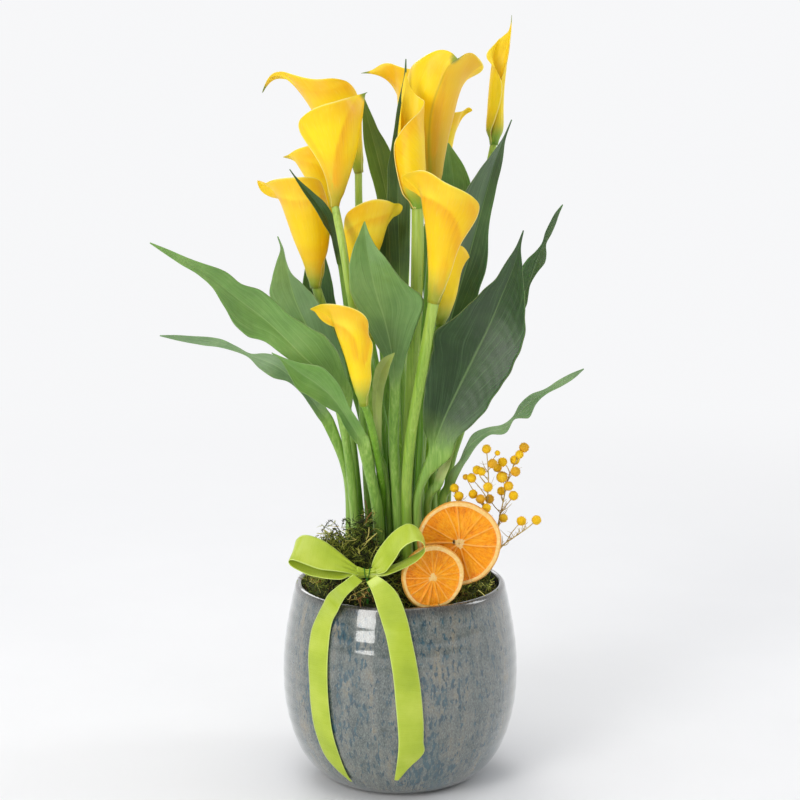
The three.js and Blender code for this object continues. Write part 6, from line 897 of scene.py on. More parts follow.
SPRIGS = {
    "dried_sprig_1": {"main": [[60.5, -22.0, 167.7], [62.5, -24.0, 189.9], [64.5, -25.0, 213.3], [65.8, -26.0, 236.5], [64.2, -26.0, 260.1]],
        "balls": [
            [64.2, -26.0, 260.1, 3.4],
            [68.6, -28.0, 249.5, 3.6],
            [57.4, -22.0, 243.2, 3.4],
            [60.5, -29.0, 243.7, 3.2],
            [53.2, -24.0, 237.6, 3.6],
            [48.9, -20.0, 237.4, 2.2],
            [65.3, -30.0, 232.1, 3.6],
            [54.5, -24.0, 225.3, 3.4],
            [59.9, -28.0, 222.5, 3.5],
            [64.3, -30.0, 216.1, 3.4],
            [72.5, -22.0, 256.2, 2.0],
        ]},
    "dried_sprig_2": {"main": [[66.0, -16.0, 167.6], [71.1, -16.0, 187.8], [76.8, -16.0, 214.9], [81.9, -15.0, 237.8], [92.7, -14.0, 258.6]],
        "balls": [
            [92.7, -14.0, 258.6, 3.7],
            [89.1, -17.0, 253.9, 3.2],
            [86.1, -11.0, 248.4, 3.6],
            [76.5, -18.0, 248.4, 3.5],
            [86.2, -18.0, 241.1, 3.7],
            [73.0, -12.0, 242.5, 3.3],
            [76.2, -17.0, 236.7, 4.3],
            [81.1, -18.0, 230.0, 3.6],
            [76.2, -11.0, 224.5, 3.3],
            [85.0, -16.0, 222.2, 3.6],
            [67.0, -17.0, 219.8, 3.5],
            [77.5, -19.0, 205.6, 3.3],
        ]},
    "dried_sprig_3": {"main": [[68.6, -26.0, 168.8], [75.1, -28.0, 184.8], [85.4, -29.0, 193.6], [95.0, -29.0, 200.5], [101.7, -29.0, 206.6]],
        "balls": [
            [101.7, -29.0, 206.6, 3.6],
            [90.7, -25.0, 204.8, 3.6],
        ]},
    "dried_sprig_4": {"main": [[50.5, -27.0, 170.6], [47.5, -27.0, 186.9], [44.4, -27.0, 206.1], [42.1, -27.0, 221.5], [40.5, -27.0, 230.6]],
        "balls": [
            [40.5, -27.0, 230.6, 3.3],
            [43.8, -30.0, 225.2, 3.5],
        ]},
}

MM = 0.001
EYE = np.array([0.0, -1700.0, 630.0])


# ------------------------------------------------------------------ numbers
def spline(pts, t):
    """Catmull-Rom through rows of numbers at t in 0..n-1."""
    pts = np.asarray(pts, float)
    n = len(pts)
    t = np.atleast_1d(np.asarray(t, float))
    i = np.clip(np.floor(t).astype(int), 0, n - 2)
    f = (t - i)[:, None]

    def g(k):
        out = pts[np.clip(k, 0, n - 1)].copy()
        out[k < 0] = 2 * pts[0] - pts[1]
        out[k > n - 1] = 2 * pts[n - 1] - pts[n - 2]
        return out

    p0, p1, p2, p3 = g(i - 1), g(i), g(i + 1), g(i + 2)
    return 0.5 * (2 * p1 + (p2 - p0) * f + (2 * p0 - 5 * p1 + 4 * p2 - p3) * f**2 + (-p0 + 3 * p1 - 3 * p2 + p3) * f**3)


def unit(v):
    return v / np.maximum(np.linalg.norm(v, axis=-1, keepdims=True), 1e-12)


def tangents(P):
    d = np.empty_like(P)
    d[1:-1] = P[2:] - P[:-2]
    d[0] = P[1] - P[0]
    d[-1] = P[-1] - P[-2]
    return unit(d)


def transported(T, first=(1.0, 0.0, 0.0)):
    N = np.zeros_like(T)
    first = np.asarray(first, float)
    N[0] = unit(first - (first @ T[0]) * T[0])
    for i in range(1, len(T)):
        N[i] = unit(N[i - 1] - (N[i - 1] @ T[i]) * T[i])
    return N, np.cross(T, N)


def smooth(a, b, x):
    t = np.clip((x - a) / (b - a), 0, 1)
    return t * t * (3 - 2 * t)


def waves(seed, x, y, octaves=3, scale=1.0):
    """Smooth repeatable noise in two directions, about -1 to 1."""
    r = np.random.default_rng(seed)
    out = np.zeros(np.broadcast(x, y).shape)
    for o in range(octaves):
        for _ in range(4):
            a, ph = r.uniform(0, 2 * np.pi, 2)
            k = scale * (1.9**o) * r.uniform(0.7, 1.3)
            out = out + np.sin(k * (np.cos(a) * x + np.sin(a) * y) + ph) / (1.8**o)
    return out / 4.5


def blurred(y, sigma):
    """Gaussian average along a row of numbers, with the ends held."""
    h = max(1, int(3 * sigma))
    g = np.exp(-0.5 * (np.arange(-h, h + 1) / sigma) ** 2)
    g /= g.sum()
    pad = np.concatenate([2 * y[0] - y[h:0:-1], y, 2 * y[-1] - y[-2 : -h - 2 : -1]])
    return np.convolve(pad, g, "valid")


# ------------------------------------------------------------------ meshes
def make(name, V, F, mat, attrs=None, smooth_shade=True):
    """V in mm (n,3); F a list of integer arrays (m,3) or (m,4); attrs name -> (n,) or (n,3) values."""
    V = np.asarray(V, np.float64) * MM
    me = bpy.data.meshes.new(name)
    me.vertices.add(len(V))
    me.vertices.foreach_set("co", V.astype(np.float32).ravel())
    F = [np.asarray(f, np.int32) for f in F if len(f)]
    total = sum(f.size for f in F)
    me.loops.add(total)
    me.loops.foreach_set("vertex_index", np.concatenate([f.ravel() for f in F]))
    sizes = np.concatenate([np.full(len(f), f.shape[1], np.int32) for f in F])
    me.polygons.add(len(sizes))
    me.polygons.foreach_set("loop_start", np.concatenate([[0], np.cumsum(sizes)[:-1]]).astype(np.int32))
    me.polygons.foreach_set("loop_total", sizes)
    me.polygons.foreach_set("use_smooth", np.full(len(sizes), bool(smooth_shade)))
    for k, a in (attrs or {}).items():
        a = np.asarray(a, np.float32)
        if a.ndim == 1:
            at = me.attributes.new(k, "FLOAT", "POINT")
            at.data.foreach_set("value", a)
        else:
            at = me.attributes.new(k, "FLOAT_VECTOR", "POINT")
            at.data.foreach_set("vector", a.ravel())
    me.update(calc_edges=True)
    me.validate()
    ob = bpy.data.objects.new(name, me)
    bpy.context.scene.collection.objects.link(ob)
    me.materials.append(mat)
    return ob


def grid_faces(nu, nv, close_u=False, close_v=False, off=0, flip=False):
    i = np.arange(nu if close_u else nu - 1)
    j = np.arange(nv if close_v else nv - 1)
    I, J = np.meshgrid(i, j, indexing="ij")
    a = I * nv + J
    b = ((I + 1) % nu) * nv + J
    c = ((I + 1) % nu) * nv + (J + 1) % nv
    d = I * nv + (J + 1) % nv
    q = np.stack([a, b, c, d], -1).reshape(-1, 4) + off
    return q[:, ::-1] if flip else q


def fan(ring, centre, flip=False):
    ring = np.asarray(ring)
    q = np.stack([ring, np.roll(ring, -1), np.full(len(ring), centre)], -1)
    return q[:, ::-1] if flip else q


def facing_out(V, F):
    """Flip all faces if the closed surface is inside out."""
    vol = 0.0
    for f in F:
        for k in range(1, f.shape[1] - 1):
            a, b, c = V[f[:, 0]], V[f[:, k]], V[f[:, k + 1]]
            vol += (a * np.cross(b, c)).sum()
    return [f[:, ::-1] for f in F] if vol < 0 else F


def rings_mesh(name, rings, mat, attrs=None):
    """rings (n, m, 3) joined into a closed tube; attrs values (n, m)."""
    n, m, _ = rings.shape
    V = np.concatenate([rings.reshape(-1, 3), rings[0].mean(0)[None], rings[-1].mean(0)[None]])
    F = [grid_faces(n, m, close_v=True), fan(np.arange(m), n * m), fan(np.arange((n - 1) * m, n * m), n * m + 1, flip=True)]
    # the fans have to agree with the sides
    F[1] = F[1][:, ::-1]
    F[2] = F[2][:, ::-1]
    F = [F[0], F[1][:, ::-1], F[2][:, ::-1]]
    at = {}
    for k, a in (attrs or {}).items():
        a = np.asarray(a, float)
        tail = np.stack([a[0].mean(0), a[-1].mean(0)])
        at[k] = np.concatenate([a.reshape((-1,) + a.shape[2:]), tail])
    F = facing_out(V, F)
    return make(name, V, F, mat, at)


def tube_rings(P, R, sides, first=(1.0, 0.0, 0.0)):
    T = tangents(P)
    N, B = transported(T, first)
    a = 2 * np.pi * np.arange(sides) / sides
    R = np.asarray(R, float)
    R = R[:, None] if R.ndim == 1 else R
    return P[:, None] + R[..., None] * (np.cos(a)[None, :, None] * N[:, None] + np.sin(a)[None, :, None] * B[:, None])


def tubes_object(name, paths, mat, sides=4, attr=None):
    """Many thin tubes in one mesh. paths: list of (P (n,3), R (n,), value)."""
    Vs, Fq, Ft, A = [], [], [], []
    off = 0
    for P, R, val in paths:
        r = tube_rings(np.asarray(P, float), R, sides)
        n = len(r)
        Vs.append(r.reshape(-1, 3))
        Vs.append(np.stack([P[0], P[-1]]))
        q = grid_faces(n, sides, close_v=True) + off
        Fq.append(q[:, ::-1])
        Ft.append(fan(np.arange(sides) + off, off + n * sides))
        Ft.append(fan(np.arange((n - 1) * sides, n * sides) + off, off + n * sides + 1, flip=True))
        A.append(np.full(n * sides + 2, val) if np.ndim(val) == 0 else np.concatenate([np.repeat(val, sides), [val[0], val[-1]]]))
        off += n * sides + 2
    V = np.concatenate(Vs)
    F = facing_out(V, [np.concatenate(Fq), np.concatenate(Ft)])
    return make(name, V, F, mat, {attr: np.concatenate(A)} if attr else None)


# ------------------------------------------------------------------ materials
class Nodes:
    def __init__(self, name):
        self.mat = bpy.data.materials.new(name)
        self.mat.use_nodes = True
        self.t = self.mat.node_tree
        self.b = self.t.nodes["Principled BSDF"]
        self.out = self.t.nodes["Material Output"]

    def new(self, kind, **kw):
        n = self.t.nodes.new(kind)
        for k, v in kw.items():
            setattr(n, k, v)
        return n

    def link(self, a, b):
        self.t.links.new(a, b)

    def put(self, sock, v):
        if hasattr(v, "is_output") or isinstance(v, bpy.types.NodeSocket):
            self.link(v, sock)
        else:
            sock.default_value = v

    def attr(self, name):
        return self.new("ShaderNodeAttribute", attribute_name=name).outputs

    def pos(self):
        return self.new("ShaderNodeTexCoord").outputs["Object"]

    def math(self, op, a, b=0.0, c=None, clamp=False):
        n = self.new("ShaderNodeMath", operation=op, use_clamp=clamp)
        self.put(n.inputs[0], a)
        self.put(n.inputs[1], b)
        if c is not None:
            self.put(n.inputs[2], c)
        return n.outputs[0]

    def ramp(self, fac, stops, interp="LINEAR"):
        n = self.new("ShaderNodeValToRGB")
        n.color_ramp.interpolation = interp
        e = n.color_ramp.elements
        while len(e) < len(stops):
            e.new(0.5)
        for s, (p, c) in zip(e, stops):
            s.position = p
            s.color = (*c, 1.0) if len(c) == 3 else c
        self.put(n.inputs[0], fac)
        return n.outputs[0]

    def map(self, v, a, b, c, d, clamp=True):
        n = self.new("ShaderNodeMapRange", clamp=clamp)
        for i, x in enumerate((v, a, b, c, d)):
            self.put(n.inputs[i], x)
        return n.outputs[0]

    def noise(self, vec=None, scale=50.0, detail=4.0, rough=0.55, dist=0.0):
        n = self.new("ShaderNodeTexNoise")
        if vec is not None:
            self.link(vec, n.inputs["Vector"])
        n.inputs["Scale"].default_value = scale
        n.inputs["Detail"].default_value = detail
        n.inputs["Roughness"].default_value = rough
        n.inputs["Distortion"].default_value = dist
        return n.outputs["Fac"]

    def stretch(self, vec, s):
        n = self.new("ShaderNodeMapping")
        self.link(vec, n.inputs["Vector"])
        n.inputs["Scale"].default_value = s
        return n.outputs[0]

    def mix(self, f, a, b, mode="MIX"):
        n = self.new("ShaderNodeMix", data_type="RGBA", blend_type=mode)
        self.put(n.inputs[0], f)
        self.put(n.inputs[6], (*a, 1.0) if isinstance(a, tuple) and len(a) == 3 else a)
        self.put(n.inputs[7], (*b, 1.0) if isinstance(b, tuple) and len(b) == 3 else b)
        return n.outputs[2]

    def bump(self, height, strength=0.3, distance=0.0005, normal=None):
        n = self.new("ShaderNodeBump")
        n.inputs["Strength"].default_value = strength
        n.inputs["Distance"].default_value = distance
        self.link(height, n.inputs["Height"])
        if normal is not None:
            self.link(normal, n.inputs["Normal"])
        return n.outputs[0]

    def vec(self, x, y, z=0.0):
        n = self.new("ShaderNodeCombineXYZ")
        for i, v in enumerate((x, y, z)):
            self.put(n.inputs[i], v)
        return n.outputs[0]

    def sep(self, v):
        n = self.new("ShaderNodeSeparateXYZ")
        self.link(v, n.inputs[0])
        return n.outputs


def srgb(h):
    h = h.lstrip("#")
    c = [int(h[i : i + 2], 16) / 255 for i in (0, 2, 4)]
    return tuple(v / 12.92 if v <= 0.04045 else ((v + 0.055) / 1.055) ** 2.4 for v in c)


def spathe_material(name, base="#fad506", deep="#f7ca04", shade="#efac02", foot="#6f9a2c"):
    """Waxy petal: fine lengthwise veins, green foot and tip, a deeper gold inside that darkens down the throat as
    painted shade, painted shade under the flared lip and along the folds, a painted pale highlight along the thin edge.
    """
    m = Nodes(name)
    a = m.attr("sp")["Vector"]  # across -0.5..0.5, along 0..1, inner 0 or 1
    x, v, inner = m.sep(a)[0], m.sep(a)[1], m.sep(a)[2]
    tip = m.attr("tip")["Fac"]
    edge = m.attr("edge")["Fac"]
    pos = m.pos()
    big = m.noise(pos, 30, 3, 0.5)
    veins = m.noise(m.vec(m.math("MULTIPLY", x, 1.0), m.math("MULTIPLY", v, 0.03), m.math("MULTIPLY", inner, 3.1)), 80, 3, 0.6)
    fine = m.noise(m.vec(m.math("MULTIPLY", x, 1.0), m.math("MULTIPLY", v, 0.04), 5.0), 260, 2, 0.5)
    low = m.attr("low")["Fac"]  # height against the length of the green foot
    up = m.math("ADD", low, m.math("MULTIPLY", m.math("SUBTRACT", veins, 0.5), 0.12))
    col = m.ramp(up, [(0.0, srgb(foot)), (0.08, srgb("#86a834")), (0.17, srgb("#b0b838")), (0.27, srgb("#dcc82c")), (0.40, srgb(base)), (0.85, srgb(base)), (1.0, srgb("#fade34"))])
    # inner face: a deeper gold, darkened down towards the throat as painted shade
    inn = m.ramp(v, [(0.0, srgb("#b48c0e")), (0.25, srgb("#e6b008")), (0.50, srgb(deep)), (0.88, srgb(deep)), (1.0, srgb("#fad92a"))])
    # painted shade: a deeper gold on the outer face of the flared lip, which faces down away from the light
    flare_shade = m.math("MULTIPLY", m.attr("flare_shade")["Fac"], m.math("SUBTRACT", 1.0, inner))
    col = m.mix(m.math("MULTIPLY", flare_shade, m.map(big, 0.30, 0.65, 0.30, 0.75)), col, srgb("#f3b206") + (1.0,))
    # painted shade: deeper gold along the folds drawn in for this flower
    col = m.mix(m.attr("fold")["Fac"], col, m.mix(m.map(veins, 0.35, 0.65, 0.0, 1.0), srgb("#f5b400") + (1.0,), srgb("#e9a200") + (1.0,)))
    # painted shade: a tan gold over the half of flower_06 that lies in shade
    col = m.mix(m.math("MULTIPLY", m.attr("tan")["Fac"], 0.55), col, srgb("#d9a52a") + (1.0,))
    col = m.mix(m.math("MULTIPLY", m.attr("keel")["Fac"], 0.55), col, srgb("#9c9a30") + (1.0,))
    col = m.mix(inner, col, inn)
    col = m.mix(m.map(big, 0.38, 0.72, 0.0, 0.42), col, srgb(shade) + (1.0,))
    col = m.mix(m.map(veins, 0.50, 0.72, 0.0, 0.30), col, m.mix(1.0, col, (0.90, 0.78, 0.45, 1.0), "MULTIPLY"))
    col = m.mix(m.map(fine, 0.55, 0.75, 0.0, 0.12), col, srgb("#fdf0a0") + (1.0,))
    # painted highlight: a pale line along the free edge; and the green tip
    col = m.mix(m.map(edge, 0.25, 0.85, 0.0, 0.75), col, srgb("#fdf096") + (1.0,))
    col = m.mix(m.map(tip, 0.35, 0.95, 0.0, 1.0), col, srgb("#6d8a34") + (1.0,))
    m.link(col, m.b.inputs["Base Color"])
    m.link(m.map(fine, 0.3, 0.7, 0.36, 0.48), m.b.inputs["Roughness"])
    m.b.inputs["Subsurface Weight"].default_value = 0.16
    m.b.inputs["Subsurface Radius"].default_value = (1.0, 0.8, 0.2)
    m.b.inputs["Subsurface Scale"].default_value = 0.003
    m.b.inputs["Specular IOR Level"].default_value = 0.34
    h = m.math("ADD", m.math("MULTIPLY", veins, 0.8), m.math("MULTIPLY", fine, 0.25))
    m.link(m.bump(h, 0.16, 0.0005), m.b.inputs["Normal"])
    return m.mat


def scape_material(name, tones=("#689222", "#8aae38", "#a2be4e", "#b6cc66")):
    m = Nodes(name)
    a = m.attr("sc")["Vector"]  # angle 0..1, along 0..1, 1 on the spadix
    ang, v, spad = m.sep(a)[0], m.sep(a)[1], m.sep(a)[2]
    pos = m.pos()
    streak = m.noise(m.stretch(pos, (1.0, 1.0, 0.025)), 700, 3, 0.6)
    big = m.noise(m.stretch(pos, (1.0, 1.0, 0.3)), 60, 3, 0.55)
    col = m.ramp(m.math("ADD", m.math("MULTIPLY", big, 0.7), m.math("MULTIPLY", v, 0.35)),
                 [(0.25, srgb(tones[0])), (0.5, srgb(tones[1])), (0.7, srgb(tones[2])), (0.95, srgb(tones[3]))])
    col = m.mix(m.map(streak, 0.48, 0.72, 0.0, 0.45), col, srgb("#4b7a1c") + (1.0,))
    col = m.mix(m.map(streak, 0.28, 0.42, 0.40, 0.0), col, srgb("#c6dc80") + (1.0,))
    specks = m.noise(m.stretch(pos, (1.0, 1.0, 0.4)), 420, 2, 0.5)
    col = m.mix(m.map(specks, 0.70, 0.78, 0.0, 0.45), col, srgb("#4a5a22") + (1.0,))
    col = m.mix(m.map(v, 0.0, 0.12, 0.30, 0.0), col, srgb("#8a8f3e") + (1.0,))
    grains = m.noise(pos, 1500, 2, 0.5)
    spadix = m.ramp(grains, [(0.3, srgb("#d09a10")), (0.55, srgb("#f2bd22")), (0.75, srgb("#ffdb5c"))])
    col = m.mix(m.map(spad, 0.45, 0.55, 0.0, 1.0), col, spadix)
    m.link(col, m.b.inputs["Base Color"])
    m.link(m.map(streak, 0.3, 0.7, 0.34, 0.50), m.b.inputs["Roughness"])
    m.b.inputs["Subsurface Weight"].default_value = 0.12
    m.b.inputs["Subsurface Radius"].default_value = (0.5, 1.0, 0.15)
    m.b.inputs["Subsurface Scale"].default_value = 0.003
    m.link(m.bump(streak, 0.20, 0.0004), m.b.inputs["Normal"])
    return m.mat


def leaf_material(name, dark, mid, light, young=False, vein="#8fb070", rib_tone="#9cbc70"):
    """Blade with a light midrib and fine side veins that run almost along it; soft grey-green sheen, and a painted
    paler sheen over one half of some blades.
    """
    m = Nodes(name)
    a = m.attr("lf")["Vector"]  # lateral -1..1, along 0..1, 1 on the blade
    q, s, blade = m.sep(a)[0], m.sep(a)[1], m.sep(a)[2]
    back = m.attr("back")["Fac"]
    pale = m.attr("pale")["Fac"]
    aq = m.math("ABSOLUTE", q)
    pos = m.pos()
    # side veins leave the midrib at a slant and arch towards the tip
    arch = m.math("SUBTRACT", s, m.math("MULTIPLY", m.math("POWER", aq, 0.8), 0.40))
    warp = m.math("MULTIPLY", m.math("SUBTRACT", m.noise(pos, 45, 2, 0.5), 0.5), 0.02)
    arch = m.math("ADD", arch, warp)
    side = m.noise(m.vec(m.math("MULTIPLY", arch, 1.0), m.math("MULTIPLY", q, 0.03), 0.0), 62, 3, 0.65)
    side2 = m.noise(m.vec(m.math("MULTIPLY", arch, 1.0), m.math("MULTIPLY", q, 0.015), 3.0), 210, 2, 0.6)
    big = m.noise(pos, 24, 4, 0.6)
    patch = m.noise(pos, 9, 2, 0.5)
    col = m.ramp(m.math("ADD", m.math("MULTIPLY", big, 0.75), m.math("MULTIPLY", patch, 0.3)),
                 [(0.32, srgb(dark)), (0.54, srgb(mid)), (0.78, srgb(light))])
    col = m.mix(m.map(side, 0.50, 0.66, 0.0, 0.38), col, m.mix(0.5, srgb(light) + (1.0,), srgb(vein) + (1.0,)))
    col = m.mix(m.map(side, 0.32, 0.45, 0.42, 0.0), col, srgb(dark) + (1.0,))
    col = m.mix(m.map(side2, 0.52, 0.70, 0.0, 0.26), col, srgb(light) + (1.0,))
    # painted sheen: a paler grey-green over one half of the blade
    col = m.mix(m.math("MULTIPLY", pale, 0.75), col, srgb("#8fa48c") + (1.0,))
    # midrib, a pale margin line and yellower foot
    rib = m.map(m.math("ADD", aq, m.math("MULTIPLY", s, 0.03)), 0.012, 0.060, 1.0, 0.0)
    col = m.mix(m.math("MULTIPLY", rib, m.map(s, 0.55, 1.0, 0.85, 0.40)), col, srgb(rib_tone if not young else "#c9d692") + (1.0,))
    col = m.mix(m.map(aq, 0.955, 0.99, 0.0, 0.60), col, srgb("#a3bb7c") + (1.0,))
    col = m.mix(m.math("MULTIPLY", back, 0.55), col, srgb("#86a676" if not young else "#b3c47c") + (1.0,))
    pet_streak = m.noise(m.stretch(pos, (1.0, 1.0, 0.03)), 700, 3, 0.6)
    pet = m.ramp(m.math("ADD", m.math("MULTIPLY", pet_streak, 0.6), m.math("MULTIPLY", m.noise(m.stretch(pos, (1, 1, 0.3)), 45, 3), 0.5)),
                 [(0.32, srgb("#527f24")), (0.52, srgb("#7aa43a")), (0.68, srgb("#98bb58")), (0.85, srgb("#b7cf80"))])
    col = m.mix(m.map(blade, 0.15, 0.85, 1.0, 0.0), col, pet)
    m.link(col, m.b.inputs["Base Color"])
    m.link(m.map(m.math("ADD", m.math("MULTIPLY", side, 0.5), m.math("MULTIPLY", big, 0.5)), 0.3, 0.7, 0.36, 0.50), m.b.inputs["Roughness"])
    m.b.inputs["Specular IOR Level"].default_value = 0.5
    m.b.inputs["Sheen Weight"].default_value = 0.08
    m.b.inputs["Sheen Roughness"].default_value = 0.45
    m.b.inputs["Sheen Tint"].default_value = (0.86, 0.95, 0.84, 1.0)
    m.b.inputs["Subsurface Weight"].default_value = 0.06
    m.b.inputs["Subsurface Radius"].default_value = (0.3, 1.0, 0.1)
    m.b.inputs["Subsurface Scale"].default_value = 0.002
    h = m.math("ADD", m.math("MULTIPLY", side, 1.0), m.math("MULTIPLY", side2, 0.3))
    m.link(m.bump(h, 0.35, 0.0006), m.b.inputs["Normal"])
    return m.mat


def glaze_material(name):
    """Reactive stoneware glaze: grey-green and taupe ground, teal flecks drawn out downwards, dark where it thins at the rim."""
    m = Nodes(name)
    pos = m.pos()
    xyz = m.sep(pos)
    z = xyz[2]
    ang = m.math("ARCTAN2", xyz[1], xyz[0])
    # wrap the pattern round the wall: radius times angle, and height
    arc = m.math("MULTIPLY", m.math("SINE", ang), 0.085)
    arc2 = m.math("MULTIPLY", m.math("COSINE", ang), 0.085)
    wall = m.vec(arc2, arc, z)
    wob = m.noise(pos, 30, 3, 0.6)
    run = m.noise(m.stretch(wall, (1.0, 1.0, 0.10)), 120, 4, 0.6, 0.3)
    drips = m.noise(m.stretch(wall, (1.0, 1.0, 0.42)), 400, 3, 0.60, 0.25)
    drips2 = m.noise(m.stretch(wall, (1.0, 1.0, 0.34)), 640, 3, 0.6, 0.2)
    cloud = m.noise(m.stretch(wall, (1.0, 1.0, 0.6)), 34, 4, 0.62)
    mottled = m.noise(pos, 85, 5, 0.65)
    fine = m.noise(m.stretch(wall, (1.0, 1.0, 0.5)), 1300, 3, 0.6)
    base = m.ramp(m.math("ADD", m.math("MULTIPLY", run, 0.55), m.math("MULTIPLY", mottled, 0.45)),
                  [(0.36, srgb("#3d4745")), (0.46, srgb("#545c59")), (0.54, srgb("#6a6c66")), (0.62, srgb("#7b7360")), (0.72, srgb("#8c8573"))])
    base = m.mix(m.map(fine, 0.45, 0.70, 0.0, 0.40), base, srgb("#a6b0ac") + (1.0,))
    teal = m.ramp(drips2, [(0.35, srgb("#16303e")), (0.55, srgb("#264c5c")), (0.75, srgb("#466f72"))])
    dense = m.map(cloud, 0.40, 0.62, 0.60, 0.47)
    flecks = m.map(m.math("SUBTRACT", drips, dense), 0.0, 0.07, 0.0, 0.88)
    col = m.mix(flecks, base, teal)
    col = m.mix(m.map(cloud, 0.50, 0.70, 0.0, 0.30), col, srgb("#3f6670") + (1.0,))
    col = m.mix(m.map(drips2, 0.66, 0.74, 0.0, 0.75), col, srgb("#16303c") + (1.0,))
    edge = m.map(m.math("ADD", z, m.math("MULTIPLY", m.math("SUBTRACT", wob, 0.5), 0.010)), 0.1440, 0.1505, 0.0, 1.0)
    col = m.mix(m.math("MULTIPLY", edge, 0.80), col, m.ramp(fine, [(0.3, srgb("#26221f")), (0.55, srgb("#45403a")), (0.75, srgb("#6b6259"))]))
    foot = m.map(z, 0.0, 0.004, 1.0, 0.0)
    col = m.mix(m.math("MULTIPLY", foot, 0.7), col, srgb("#4b463f") + (1.0,))
    m.link(col, m.b.inputs["Base Color"])
    m.link(m.map(mottled, 0.3, 0.7, 0.10, 0.22), m.b.inputs["Roughness"])
    m.b.inputs["Specular IOR Level"].default_value = 0.5
    m.b.inputs["Coat Weight"].default_value = 0.9
    m.b.inputs["Coat Roughness"].default_value = 0.03
    m.b.inputs["Coat IOR"].default_value = 1.62
    h = m.math("ADD", m.math("MULTIPLY", drips, 0.4), m.math("ADD", m.math("MULTIPLY", mottled, 0.4), m.math("MULTIPLY", fine, 0.06)))
    m.link(m.bump(h, 0.24, 0.0009), m.b.inputs["Normal"])
    return m.mat


def satin_material(name):
    """Lime satin with fine cross threads and a lighter woven edge."""
    m = Nodes(name)
    a = m.attr("rb")["Vector"]  # along mm, across -1..1
    s, t = m.sep(a)[0], m.sep(a)[1]
    pos = m.pos()
    thread = m.noise(m.vec(m.math("MULTIPLY", s, 1.0), m.math("MULTIPLY", t, 0.02), 0.0), 5.5, 2, 0.6)
    weft = m.noise(m.vec(m.math("MULTIPLY", s, 0.05), m.math("MULTIPLY", t, 1.0), 2.0), 60, 2, 0.6)
    big = m.noise(pos, 40, 3, 0.5)
    col = m.ramp(big, [(0.3, srgb("#98ae18")), (0.5, srgb("#abbf2a")), (0.72, srgb("#becd46"))])
    col = m.mix(m.map(thread, 0.4, 0.65, 0.0, 0.22), col, srgb("#c6e066") + (1.0,))
    col = m.mix(m.map(weft, 0.5, 0.7, 0.0, 0.16), col, srgb("#7e9216") + (1.0,))
    edge = m.map(m.math("ABSOLUTE", t), 0.90, 0.97, 0.0, 0.70)
    col = m.mix(edge, col, srgb("#d4e882") + (1.0,))
    m.link(col, m.b.inputs["Base Color"])
    m.link(m.map(thread, 0.3, 0.7, 0.24, 0.36), m.b.inputs["Roughness"])
    m.b.inputs["Specular IOR Level"].default_value = 0.75
    m.b.inputs["Specular Tint"].default_value = (0.97, 1.0, 0.72, 1.0)
    m.b.inputs["Sheen Weight"].default_value = 0.20
    m.b.inputs["Sheen Roughness"].default_value = 0.35
    m.b.inputs["Sheen Tint"].default_value = (0.95, 1.0, 0.75, 1.0)
    m.b.inputs["Anisotropic"].default_value = 0.5
    h = m.math("ADD", m.math("MULTIPLY", thread, 0.7), m.math("MULTIPLY", weft, 0.5))
    m.link(m.bump(h, 0.20, 0.0002), m.b.inputs["Normal"])
    return m.mat


